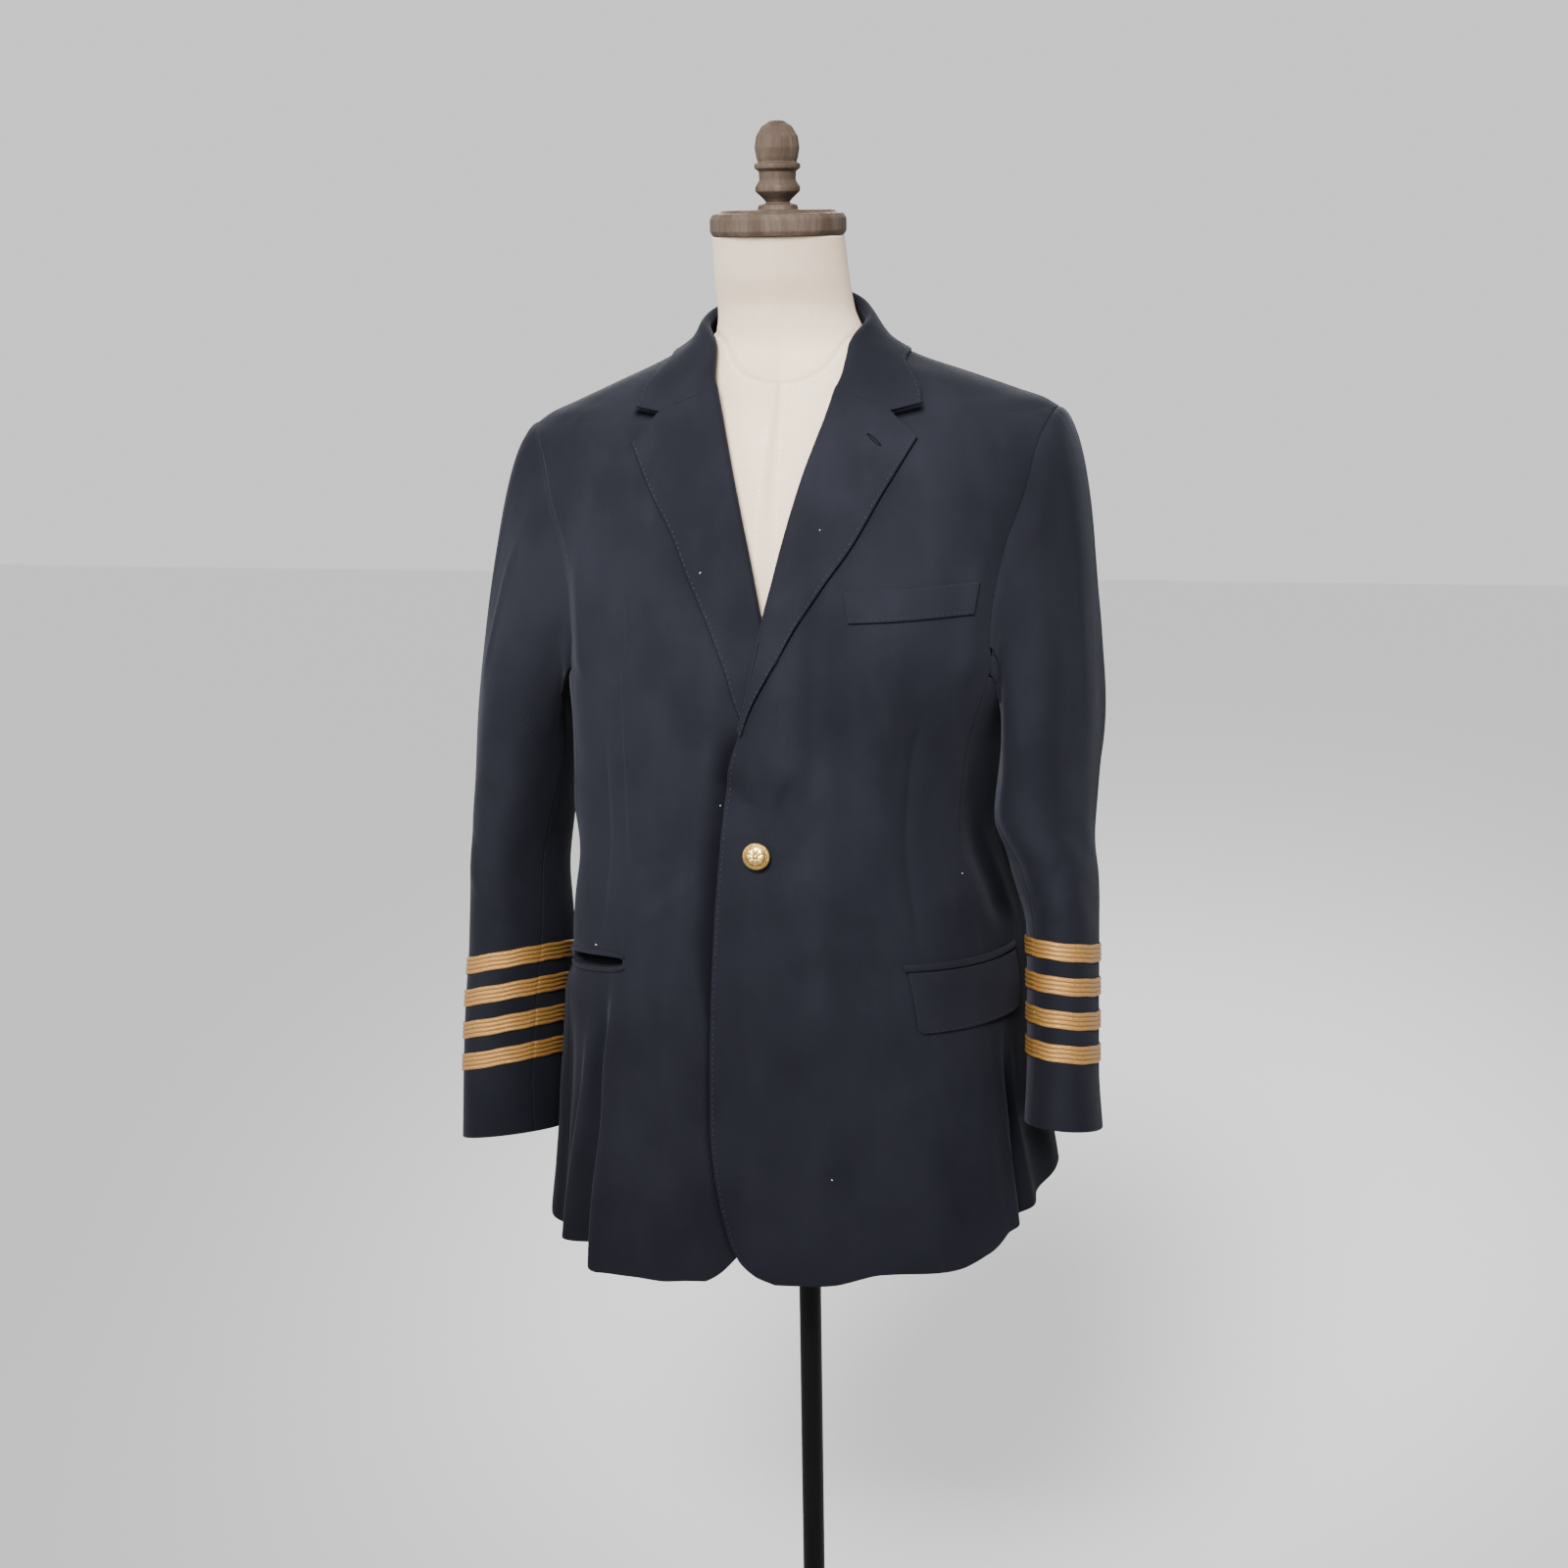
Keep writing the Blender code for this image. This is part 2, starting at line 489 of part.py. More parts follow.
def lapel(side, collection):
    """Make one lapel, from the gorge and notch down to where the front breaks."""
    roll_table = LEFT_EDGE if side > 0 else RIGHT_EDGE
    edge_table = LEFT_LAPEL_EDGE if side > 0 else RIGHT_LAPEL_EDGE
    rows, columns = 13, 9
    down = np.linspace(0.0, 1.0, rows)
    roll_low, edge_low = (1.180, 1.177) if side > 0 else (1.170, 1.167)
    roll_height = GORGE_TOP - 0.0008 + (roll_low - GORGE_TOP) * down
    edge_top = edge_table[-1][0]
    edge_height = edge_top + (edge_low - edge_top) * down
    roll_x = table_value(roll_height, roll_table)
    edge_x = table_value(edge_height, edge_table)
    share = np.linspace(0.0, 1.0, columns)
    x = roll_x[:, None] * (1 - share) + edge_x[:, None] * share
    height = roll_height[:, None] * (1 - share) + edge_height[:, None] * share
    notch_x, notch_height = NOTCH[side]
    notch_height = notch_height - 0.0009
    tent = np.minimum(share / NOTCH_SHARE, (1 - share) / (1 - NOTCH_SHARE))
    chord_x = roll_x[0] * (1 - NOTCH_SHARE) + edge_x[0] * NOTCH_SHARE
    chord_height = roll_height[0] * (1 - NOTCH_SHARE) + edge_height[0] * NOTCH_SHARE
    fade = np.exp(-down * 6.0)[:, None] * (1 - down)[:, None]
    x = x + (notch_x - chord_x) * tent * fade
    height = height + (notch_height - chord_height) * tent * fade
    lift = overlap_lift(x, height) if side > 0 else 0.0 * x
    soft = 0.0016 if side > 0 else 0.0012
    name = "lapel_left" if side > 0 else "lapel_right"
    behind = 0.006 - 0.003 * down
    radius = LAYER + 0.0001 + 0.0013 * (1 - down) ** 1.5
    return rolled_leaf(name, angle_at(x, height), height, behind, radius, collection, lift,
                       soft * (1 - 0.8 * down))


def collar(collection):
    """Make the collar: a stand round the neck, its fold, and the fall down to the free edge."""
    half = np.array(COLLAR_STATIONS)
    columns = 7
    share = np.linspace(0.0, 1.0, columns)
    dense = np.linspace(0.0, len(half) - 1.0, 13)
    keys = np.arange(len(half), dtype=float)
    rows = []
    for side in (1, -1):
        fold_angle, fold_height, edge_angle, edge_height, behind = (
            table_value(dense, np.stack([keys, half[:, k]], axis=1)) for k in range(5))
        angle = np.radians(fold_angle[:, None] * (1 - share) + edge_angle[:, None] * share)
        height = fold_height[:, None] * (1 - share) + edge_height[:, None] * share
        angle = angle * side
        end_x, end_height = gorge_line(side, share)
        blend = np.exp(-dense * 2.2)[:, None]
        angle = angle * (1 - blend) + angle_at(end_x, end_height)[None, :] * blend
        height = height * (1 - blend) + end_height[None, :] * blend
        rows.append((angle, height, behind))
    left, right = rows
    unwound = [np.concatenate([left[0], (2 * math.pi + right[0])[-2::-1]]),
               np.concatenate([left[1], right[1][-2::-1]]),
               np.concatenate([left[2], right[2][-2::-1]])]
    radius = np.full(len(unwound[2]), LAYER + 0.0014)
    bulge = 0.0008 * np.sin(math.pi * share)[None, :] + 0.0 * unwound[0]
    return rolled_leaf("collar", unwound[0], unwound[1], unwound[2], radius, collection, bulge, 0.001)


def gorge_line(side, share):
    """Return the collar's front end: roll line, notch, collar point, as x and height."""
    roll_table = LEFT_EDGE if side > 0 else RIGHT_EDGE
    roll_x = float(table_value(GORGE_TOP, roll_table))
    keys = (0.0, 0.66, 1.0)
    xs = (roll_x, NOTCH[side][0], COLLAR_POINT[side][0])
    heights = (GORGE_TOP, NOTCH[side][1], COLLAR_POINT[side][1])
    return np.interp(share, keys, xs), np.interp(share, keys, heights)


def armhole_loop(side, count=160):
    """Return the armhole's points, evenly spaced from the shoulder tip round the front, and normals."""
    up = np.linspace(ARMHOLE_LOW, SHOULDER_TIP, 60)
    front = np.abs(angle_at(hole_x(up, FRONT_ARMHOLE, side), up, 1))
    back = np.abs(angle_at(hole_x(up, BACK_ARMHOLE, side), up, -1))
    across = np.linspace(0.0, 1.0, 30)[1:-1]
    under = np.radians(SIDE_FRONT_SEAM + (SIDE_BACK_SEAM - SIDE_FRONT_SEAM) * across)
    angle = np.concatenate([front[::-1], under, back])
    dip = ARMHOLE_LOW - ARMHOLE_DIP * np.sin(math.pi * across)
    height = np.concatenate([up[::-1], dip, up])
    points = body_point(side * angle, height)
    normals = body_normal(side * angle, height)
    gaps = np.linalg.norm(np.diff(points, axis=0), axis=1)
    length = np.concatenate([[0.0], np.cumsum(gaps)])
    at = np.linspace(0.0, length[-1], count + 1)[:-1]
    points = np.stack([np.interp(at, length, points[:, k]) for k in range(3)], axis=1)
    normals = np.stack([np.interp(at, length, normals[:, k]) for k in range(3)], axis=1)
    return points, normals / np.linalg.norm(normals, axis=1, keepdims=True)


def hole_x(height, armhole, side):
    """Return the x of an armhole at some heights on one side."""
    half = table_value(height, BODY_SECTIONS, 1)
    shift = table_value(height, BODY_SECTIONS, 5)
    return np.minimum(table_value(height, armhole), half) * side + shift


def sleeve_ring(side, height, count=160):
    """Return one ring of the sleeve below the cap, evenly spaced from its outer side to the front."""
    table = SLEEVES[side][::-1]
    centre_x, centre_y, wide, deep, turn = (float(table_value(height, table, k)) for k in range(1, 6))
    fine = np.linspace(0.0, 2 * math.pi, 721)
    out = wide * np.cos(fine)
    ahead = deep * np.sin(fine)
    length = np.concatenate([[0.0], np.cumsum(np.hypot(np.diff(out), np.diff(ahead)))])
    at = np.linspace(0.0, length[-1], count + 1)[:-1]
    out = np.interp(at, length, out)
    ahead = np.interp(at, length, ahead)
    toe = math.radians(turn)
    across = out * math.cos(toe) - ahead * math.sin(toe)
    along = out * math.sin(toe) + ahead * math.cos(toe)
    slope = float(ease(height, table[-1][0], table[-1][0] - 0.12))
    rise = -RING_TILT_SIDE[side] * across + RING_TILT_FRONT * along
    return np.stack([centre_x + side * across, centre_y - along, height + slope * rise], axis=1)


def sleeve_rows(side):
    """Return the sleeve's rings from armhole to cuff: cap rings by Hermite curves, then the table's."""
    count = 160
    loop, normals = armhole_loop(side, count)
    share = np.arange(count) / count
    table = SLEEVES[side]
    first = sleeve_ring(side, table[0][0], count)
    below = sleeve_ring(side, table[0][0] - 0.01, count)
    way = np.roll(loop, -1, axis=0) - np.roll(loop, 1, axis=0)
    inward = np.cross(normals, way)
    inward /= np.linalg.norm(inward, axis=1, keepdims=True)
    inward *= np.sign(np.sum(inward * (loop.mean(axis=0) - loop), axis=1, keepdims=True))
    above = np.cos(2 * math.pi * share)
    under = ease(above, -0.35, -0.95)
    loop = loop + inward * (0.0018 + 0.0004 * under)[:, None]
    along_body = 0.72 + 0.20 * ease(above, 0.2, 1.0) - 0.72 * under
    off_body = 0.70 - 0.25 * ease(above, 0.2, 1.0) + 0.30 * under
    out = inward * along_body[:, None] + normals * off_body[:, None]
    out[:, 2] -= 0.25 * under
    out /= np.linalg.norm(out, axis=1, keepdims=True)
    pull = 0.030 + 0.058 * ease(above, -0.9, 0.6)
    start = out * pull[:, None]
    down = (below - first) / np.linalg.norm(below - first, axis=1, keepdims=True)
    end = down * (0.95 * np.linalg.norm(first - loop, axis=1))[:, None]
    rows = []
    for t in (0.0, 0.06, 0.14, 0.25, 0.38, 0.54, 0.70, 0.86):
        rise = (3 - 2 * t) * t * t
        rows.append((1 - rise) * loop + rise * first + t * (1 - t) ** 2 * start
                    + (t - 1) * t * t * end)
    heights = np.linspace(table[0][0], table[-1][0], 10)
    rows += [sleeve_ring(side, height, count) for height in heights]
    return np.stack(rows)


def sleeve_part(name, rows, first, last, columns, collection):
    """Make one sleeve piece between two shares round the sleeve, each seam gap taken off."""
    around = np.linalg.norm(np.roll(rows[10], -1, axis=0) - rows[10], axis=1).sum()
    row = np.arange(len(rows))[:, None]
    trim = (0.5 * SLEEVE_SEAM_GAP + 0.0045 * np.exp(-row / 3.0)) / around
    share = np.linspace(0.0, 1.0, columns)[None, :]
    at = (first + trim) * (1 - share) + (last - trim) * share
    return sheet(name, read_rings(rows, at), NAVY, collection)


def read_rings(rows, shares):
    """Read closed rings of evenly spaced points, each row at its own shares of the way round."""
    count = rows.shape[1]
    at = np.broadcast_to(shares, (len(rows), np.shape(shares)[-1])) * count
    low = np.floor(at).astype(int)
    part = (at - low)[..., None]
    row = np.arange(len(rows))[:, None]
    return rows[row, low % count] * (1 - part) + rows[row, (low + 1) % count] * part


def braid(side, number, collection):
    """Make one braid ring round a cuff, counted from the top."""
    cuff = SLEEVES[side][-1][0]
    centre = cuff + LAST_BRAID_ABOVE_CUFF + (CUFF_BRAIDS - number) * BRAID_PITCH
    rings = np.stack([sleeve_ring(side, centre + BRAID_WIDTH * k) for k in (0.5, -0.5)])
    way = np.roll(rings, -1, axis=1) - np.roll(rings, 1, axis=1)
    normal = np.stack([way[..., 1], -way[..., 0], 0.0 * way[..., 0]], axis=-1)
    normal /= np.linalg.norm(normal, axis=-1, keepdims=True)
    outward = np.sum(normal * (rings - rings.mean(axis=1, keepdims=True)), axis=-1, keepdims=True)
    lift = 0.5 * WALL + SEAM_GAP + 0.5 * BRAID_WALL + BRAID_EASE
    rings = rings + normal * np.sign(outward) * lift
    upper = np.linspace(HINDARM_SEAM - 1.0, FOREARM_SEAM[side], TOP_SLEEVE_COLUMNS)
    lower = np.linspace(FOREARM_SEAM[side], HINDARM_SEAM, UNDER_SLEEVE_COLUMNS)[1:-1]
    points = read_rings(rings, np.concatenate([upper, lower]))
    name = f"braid_{'left' if side > 0 else 'right'}_{number}"
    return sheet(name, points, GOLD_BRAID, collection, wall=BRAID_WALL, ring=True)


def patch(name, corners, size, lift, collection, round_off=0.0):
    """Make a piece lying on the body between four (degrees, height) corners, top then bottom."""
    (a0, h0), (a1, h1), (a2, h2), (a3, h3) = corners
    rows, columns = size
    down = np.linspace(0.0, 1.0, rows) ** 0.7
    down = down[:, None]
    drop = (h0 - h3) * (1 - down)
    inset = round_off - np.sqrt(np.maximum(round_off**2 - np.maximum(round_off - drop, 0.0) ** 2, 0.0))
    width = abs(a1 - a0) * math.pi / 180 * 0.19
    across = np.linspace(0.0, 1.0, columns)[None, :]
    across = inset / width + across * (1 - 2 * inset / width)
    top_angle = a0 + (a1 - a0) * across
    low_angle = a3 + (a2 - a3) * across
    angle = np.radians(top_angle * (1 - down) + low_angle * down)
    height = (h0 + (h1 - h0) * across) * (1 - down) + (h3 + (h2 - h3) * across) * down
    return sheet(name, body_point(angle, height, lift), NAVY, collection)


def pockets(collection):
    """Make the welt, the flap with its jet, and the jets of the pocket with its flap tucked in."""
    welt = [(0.0658, 1.2917), (0.1665, 1.2942), (0.1628, 1.2690), (0.0698, 1.2669)]
    welt = [(math.degrees(float(angle_at(x, height))), height) for x, height in welt]
    patch("breast_welt", welt, (3, 8), LAYER + EASE_OVER_PANEL, collection)
    flap = [(32.0, 0.9790), (80.0, 0.9705), (81.5, 0.9170), (35.5, 0.9265)]
    patch("pocket_flap", flap, (5, 10), LAYER + EASE_OVER_PANEL, collection, round_off=0.010)
    jet = [(31.5, 0.9865), (80.0, 0.9780), (80.0, 0.9720), (31.8, 0.9800)]
    patch("flap_jet", jet, (2, 10), LAYER + EASE_OVER_PANEL, collection)
    upper = [(-31.0, 0.9855), (-80.0, 0.9600), (-80.0, 0.9545), (-31.0, 0.9800)]
    patch("jet_upper", upper, (2, 12), LAYER + EASE_OVER_PANEL, collection)
    lower = [(-31.2, 0.9690), (-80.0, 0.9440), (-80.0, 0.9385), (-31.2, 0.9635)]
    patch("jet_lower", lower, (2, 12), LAYER + EASE_OVER_PANEL, collection)


def button(collection):
    """Make the domed button on the left front, its axis along the cloth's normal."""
    x, height = BUTTON_PLACE
    angle = angle_at(np.array([x]), np.array([height]))
    lift = overlap_lift(np.array([x]), np.array([height])) + 0.5 * WALL + SEAM_GAP
    seat = body_point(angle, np.array([height]), lift)[0]
    normal = body_normal(angle, np.array([height]))[0]
    radius = BUTTON_RADIUS
    dome = [(radius * math.sin(t), 0.0055 + 0.0040 * math.cos(t))
            for t in np.linspace(0.0, math.pi / 2, 7)]
    profile = dome + [(radius, 0.0045), (radius * 0.9, 0.0038), (0.0032, 0.0032), (0.0032, 0.0), (0.0, 0.0)]
    item = turned("button", profile, BRASS, collection, steps=20)
    item.location = seat
    item.rotation_mode = "XYZ"
    item.rotation_euler = (math.acos(normal[2]), 0.0, math.atan2(normal[0], -normal[1]))
    return item


def dress_form(collection):
    """Make the torso and neck as one loft through its sections, closed at both ends."""
    around = 26
    heights = np.array([row[0] for row in FORM_SECTIONS])
    extra = [1.443, 1.460]
    heights = np.sort(np.concatenate([heights, extra]))
    angle = np.linspace(0.0, 2 * math.pi, around + 1)[:-1][None, :]
    columns = [table_value(heights, FORM_SECTIONS, k)[:, None] for k in range(1, 7)]
    half, front, back, power, centre_x, centre_y = columns
    sine, cosine = np.sin(angle), np.cos(angle)
    x = centre_x + half * np.sign(sine) * np.abs(sine) ** (2 / power)
    y = centre_y + np.where(cosine > 0, -front, back) * np.abs(cosine) ** (2 / power)
    points = np.stack([x, y, heights[:, None] + shoulder_lean(x, heights[:, None])], axis=-1)
    work = bmesh.new()
    rings = [[work.verts.new(point) for point in ring] for ring in points.tolist()]
    for lower, upper in zip(rings, rings[1:]):
        for k in range(around):
            work.faces.new((lower[k], lower[(k + 1) % around], upper[(k + 1) % around], upper[k]))
    work.faces.new(rings[0][::-1])
    work.faces.new(rings[-1])
    bmesh.ops.recalc_face_normals(work, faces=work.faces[:])
    mesh = bpy.data.meshes.new("dress_form")
    work.to_mesh(mesh)
    work.free()
    return place("dress_form", mesh, LINEN, collection)


def stand(collection):
    """Make the neck cap with its finial, and the pole on its round base, each as one turned solid."""
    cap_top = NECK_TOP + SEAM_GAP + 0.021
    finial = [(0.0, 0.0720), (0.006, 0.0712), (0.0125, 0.0670), (0.0172, 0.0590), (0.0185, 0.0500),
              (0.0172, 0.0420), (0.0160, 0.0385), (0.0190, 0.0370), (0.0190, 0.0335),
              (0.0155, 0.0310), (0.0150, 0.0240), (0.0185, 0.0185), (0.0185, 0.0150),
              (0.0120, 0.0090), (0.0095, 0.0060), (0.0160, 0.0040), (0.0170, 0.0)]
    cap = [(0.046, 0.0), (0.049, -0.0025), (0.054, -0.003), (0.0565, -0.007), (0.0565, -0.017),
           (0.054, -0.021), (0.0, -0.021)]
    profile = [(radius, cap_top + height) for radius, height in finial + cap]
    wood = turned("neck_cap", profile, WOOD, collection, steps=28)
    wood.location = (*NECK_CENTRE, 0.0)
    pole_top = FORM_BOTTOM - SEAM_GAP
    socket_top = BASE_THICK + 0.040
    profile = [(0.0, pole_top), (POLE_RADIUS, pole_top), (POLE_RADIUS, socket_top), (0.018, socket_top),
               (0.019, socket_top - 0.001), (0.019, 0.022), (0.024, 0.014),
               (BASE_RADIUS - 0.006, BASE_THICK), (BASE_RADIUS, BASE_THICK - 0.004),
               (BASE_RADIUS, 0.0), (0.0, 0.0)]
    turned("pole_and_base", profile, BLACK_METAL, collection, steps=40)


def main():
    """Build every piece in order."""
    clear_scene()
    collection = bpy.data.collections.new("pilot_uniform_jacket")
    bpy.context.scene.collection.children.link(collection)
    for side in (1, -1):
        front_panel(side, collection)
        side_panel(side, collection)
        back_panel(side, collection)
        lapel(side, collection)
        word = "left" if side > 0 else "right"
        rows = sleeve_rows(side)
        sleeve_part(f"top_sleeve_{word}", rows, HINDARM_SEAM - 1.0, FOREARM_SEAM[side],
                    TOP_SLEEVE_COLUMNS, collection)
        sleeve_part(f"under_sleeve_{word}", rows, FOREARM_SEAM[side], HINDARM_SEAM,
                    UNDER_SLEEVE_COLUMNS, collection)
        for number in range(1, CUFF_BRAIDS + 1):
            braid(side, number, collection)
    collar(collection)
    pockets(collection)
    button(collection)
    dress_form(collection)
    stand(collection)


if __name__ == "__main__":
    main()
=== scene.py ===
"""Looks of the pilot uniform jacket on its dress form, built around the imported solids.

Everything is in metres, +Z up, with the jacket's front towards -Y and the wearer's left at +X. Cloth
pieces are numpy grids laid on one body surface or on one sleeve surface, as the solids are, with finer
folds, turned edges and sewing added. Each grid becomes a closed shell whose edges round off like
pressed cloth.
"""

from __future__ import annotations

import logging  # noqa: E402
import math  # noqa: E402
from collections.abc import Callable, Sequence  # noqa: E402
from dataclasses import dataclass, field  # noqa: E402
from enum import Enum, IntEnum  # noqa: E402

import bpy  # noqa: E402
import numpy as np  # noqa: E402
from mathutils import Matrix, Vector  # noqa: E402


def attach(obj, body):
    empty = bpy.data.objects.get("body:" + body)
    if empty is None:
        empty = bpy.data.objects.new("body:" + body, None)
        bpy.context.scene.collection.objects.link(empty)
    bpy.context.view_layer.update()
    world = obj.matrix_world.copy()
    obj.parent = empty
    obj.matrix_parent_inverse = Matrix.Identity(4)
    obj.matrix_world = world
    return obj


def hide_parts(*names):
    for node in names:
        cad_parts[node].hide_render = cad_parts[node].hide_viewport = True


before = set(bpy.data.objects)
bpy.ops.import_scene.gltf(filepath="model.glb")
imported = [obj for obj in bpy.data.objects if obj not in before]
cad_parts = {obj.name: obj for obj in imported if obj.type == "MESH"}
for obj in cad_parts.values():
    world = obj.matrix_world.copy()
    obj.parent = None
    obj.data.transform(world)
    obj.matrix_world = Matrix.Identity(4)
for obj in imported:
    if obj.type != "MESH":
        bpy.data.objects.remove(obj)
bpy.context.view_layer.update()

LOG = logging.getLogger("pilot_jacket")
Array = np.ndarray
Table = Sequence[Sequence[float]]

# Sizes shared with the solids
WALL = 0.0018
SEAM_GAP = 0.0003
LAYER = WALL + SEAM_GAP
EASE_OVER_PANEL = 0.0008
PANEL_SEAM_GAP = 0.0005
SLEEVE_SEAM_GAP = 0.0007
HEM_ROW = 0.7077
HEM_BLEND_TOP = 0.846
ARMHOLE_LOW = 1.215
ARMHOLE_DIP = 0.015
SHOULDER_TIP = 1.4225
NECK_ROW = 1.4855
SIDE_FRONT_SEAM = 62.0
SIDE_BACK_SEAM = 109.0
GORGE_TOP = 1.447
NOTCH_SHARE = 0.64
BRAID_WIDTH = 0.0155
BRAID_PITCH = 0.0288
LAST_BRAID_ABOVE_CUFF = 0.067
CUFF_BRAIDS = 4
NECK_TOP = 1.571
NECK_CENTRE = (-0.007, -0.036)
FORM_BOTTOM = 0.80

# Body surface: height, half width, front depth, back depth, power of the rounded section, shift in X
BODY_SECTIONS = (
    (0.660, 0.2370, 0.180, 0.157, 2.40, 0.000),
    (0.760, 0.2240, 0.182, 0.152, 2.45, -0.001),
    (0.830, 0.2130, 0.184, 0.148, 2.50, -0.004),
    (0.900, 0.2050, 0.184, 0.140, 2.50, -0.006),
    (0.960, 0.2000, 0.183, 0.130, 2.50, -0.007),
    (1.020, 0.1920, 0.182, 0.118, 2.50, -0.010),
    (1.083, 0.1820, 0.180, 0.110, 2.50, -0.0115),
    (1.150, 0.1840, 0.176, 0.118, 2.50, -0.010),
    (1.210, 0.1950, 0.170, 0.128, 2.45, -0.003),
    (1.240, 0.2010, 0.165, 0.132, 2.40, 0.000),
    (1.290, 0.2110, 0.153, 0.136, 2.35, 0.000),
    (1.340, 0.2220, 0.137, 0.133, 2.25, -0.001),
    (1.380, 0.2330, 0.119, 0.124, 2.15, -0.002),
    (1.408, 0.2375, 0.102, 0.110, 2.05, -0.003),
    (1.428, 0.2160, 0.089, 0.094, 1.90, -0.003),
    (1.439, 0.1890, 0.083, 0.083, 1.80, -0.003),
    (1.453, 0.1530, 0.076, 0.074, 1.80, -0.003),
    (1.472, 0.1045, 0.068, 0.064, 1.80, -0.003),
    (1.486, 0.0805, 0.0635, 0.056, 1.85, -0.0040),
    (1.500, 0.0710, 0.0580, 0.054, 1.95, -0.0055),
    (1.512, 0.0655, 0.0545, 0.053, 2.00, -0.0060),
    (1.545, 0.0595, 0.0520, 0.051, 2.00, -0.0065),
)

# Heights between which the panels' rows are spread evenly
ROW_HEIGHTS = (
    HEM_ROW, 0.716, 0.730, 0.755, 0.794, HEM_BLEND_TOP, 0.905, 0.960, 1.008, 1.045, 1.083,
    1.120, 1.150, 1.176, 1.196, ARMHOLE_LOW, 1.241, 1.270, 1.300, 1.330, 1.358, 1.382, 1.397,
    1.411, SHOULDER_TIP, 1.431, 1.441, 1.453, 1.468, NECK_ROW,
)

# Hem: angle round the body in degrees from the centre front, height
HEM = (
    (-180.0, 0.738), (-130.0, 0.722), (-90.0, 0.712), (-60.0, 0.7138), (-50.0, 0.7117), (-44.0, 0.7110),
    (-41.0, 0.6990), (-38.0, 0.6940), (-30.0, 0.6960), (-20.0, 0.6992), (-14.0, 0.7030), (0.0, 0.7077),
    (10.6, 0.7095), (20.7, 0.7174), (36.0, 0.7165), (41.0, 0.7170), (49.0, 0.7257), (57.0, 0.7396),
    (75.0, 0.7460), (100.0, 0.7470), (140.0, 0.7440), (180.0, 0.738),
)

# Armholes: height, distance from the centre
FRONT_ARMHOLE = (
    (ARMHOLE_LOW, 0.1780), (1.241, 0.1762), (1.274, 0.1785), (1.3165, 0.1870), (1.358, 0.2015),
    (1.3946, 0.2110), (1.4110, 0.2175), (SHOULDER_TIP, 0.2230),
)
BACK_ARMHOLE = (
    (ARMHOLE_LOW, 0.1895), (1.250, 0.1910), (1.290, 0.1965), (1.340, 0.2060), (1.380, 0.2150),
    (1.405, 0.2195), (SHOULDER_TIP, 0.2230),
)

# Open edges and, above 1.176, roll lines of the two fronts: height, x
LEFT_EDGE = (
    (0.7077, 0.0070), (0.7145, -0.0099), (0.7294, -0.0248), (0.7552, -0.0344), (0.7944, -0.0418),
    (0.8463, -0.0456), (0.9318, -0.0438), (1.0075, -0.0399), (1.0851, -0.0329), (1.1346, -0.0279),
    (1.1572, -0.0234), (1.1756, -0.0172), (1.2100, -0.0080), (1.2684, 0.0038), (1.3363, 0.0180),
    (1.3851, 0.0303), (1.4309, 0.0440), (1.4470, 0.0480), (1.4650, 0.0536), (1.4855, 0.0575),
)
RIGHT_EDGE = (
    (0.7030, -0.0620), (0.7146, -0.0407), (0.7275, -0.0275), (0.7550, -0.0040), (0.7944, 0.0160),
    (0.8463, 0.0280), (0.9318, 0.0320), (1.0075, 0.0320), (1.0851, 0.0300), (1.1346, 0.0240),
    (1.1756, 0.0172), (1.2100, 0.0095), (1.2591, -0.0001), (1.3086, -0.0116), (1.3615, -0.0266),
    (1.4182, -0.0447), (1.4470, -0.0545), (1.4559, -0.0579), (1.4855, -0.0640),
)
# Outer edges of the lapels: height, x
LEFT_LAPEL_EDGE = (
    (1.1740, -0.0150), (1.1984, -0.0059), (1.2285, 0.0106), (1.2603, 0.0281), (1.2939, 0.0489),
    (1.3264, 0.0709), (1.3675, 0.0931), (1.4081, 0.1166),
)
RIGHT_LAPEL_EDGE = (
    (1.1640, 0.0120), (1.1903, -0.0156), (1.2275, -0.0291), (1.2672, -0.0460), (1.3013, -0.0634),
    (1.3331, -0.0784), (1.3683, -0.1010), (1.4043, -0.1208),
)

# Collar: angle and height of the fold, angle and height of the free edge, depth of the stand behind it
COLLAR_STATIONS = (
    (19.7, 1.4470, 37.9, 1.4337, 0.008),
    (29.7, 1.4650, 44.8, 1.4455, 0.011),
    (45.0, 1.4825, 52.0, 1.4580, 0.012),
    (61.5, 1.4945, 65.0, 1.4695, 0.013),
    (92.0, 1.5045, 90.0, 1.4745, 0.023),
    (122.0, 1.5165, 118.0, 1.4740, 0.031),
    (152.0, 1.5255, 150.0, 1.4735, 0.037),
    (180.0, 1.5270, 180.0, 1.4730, 0.039),
)

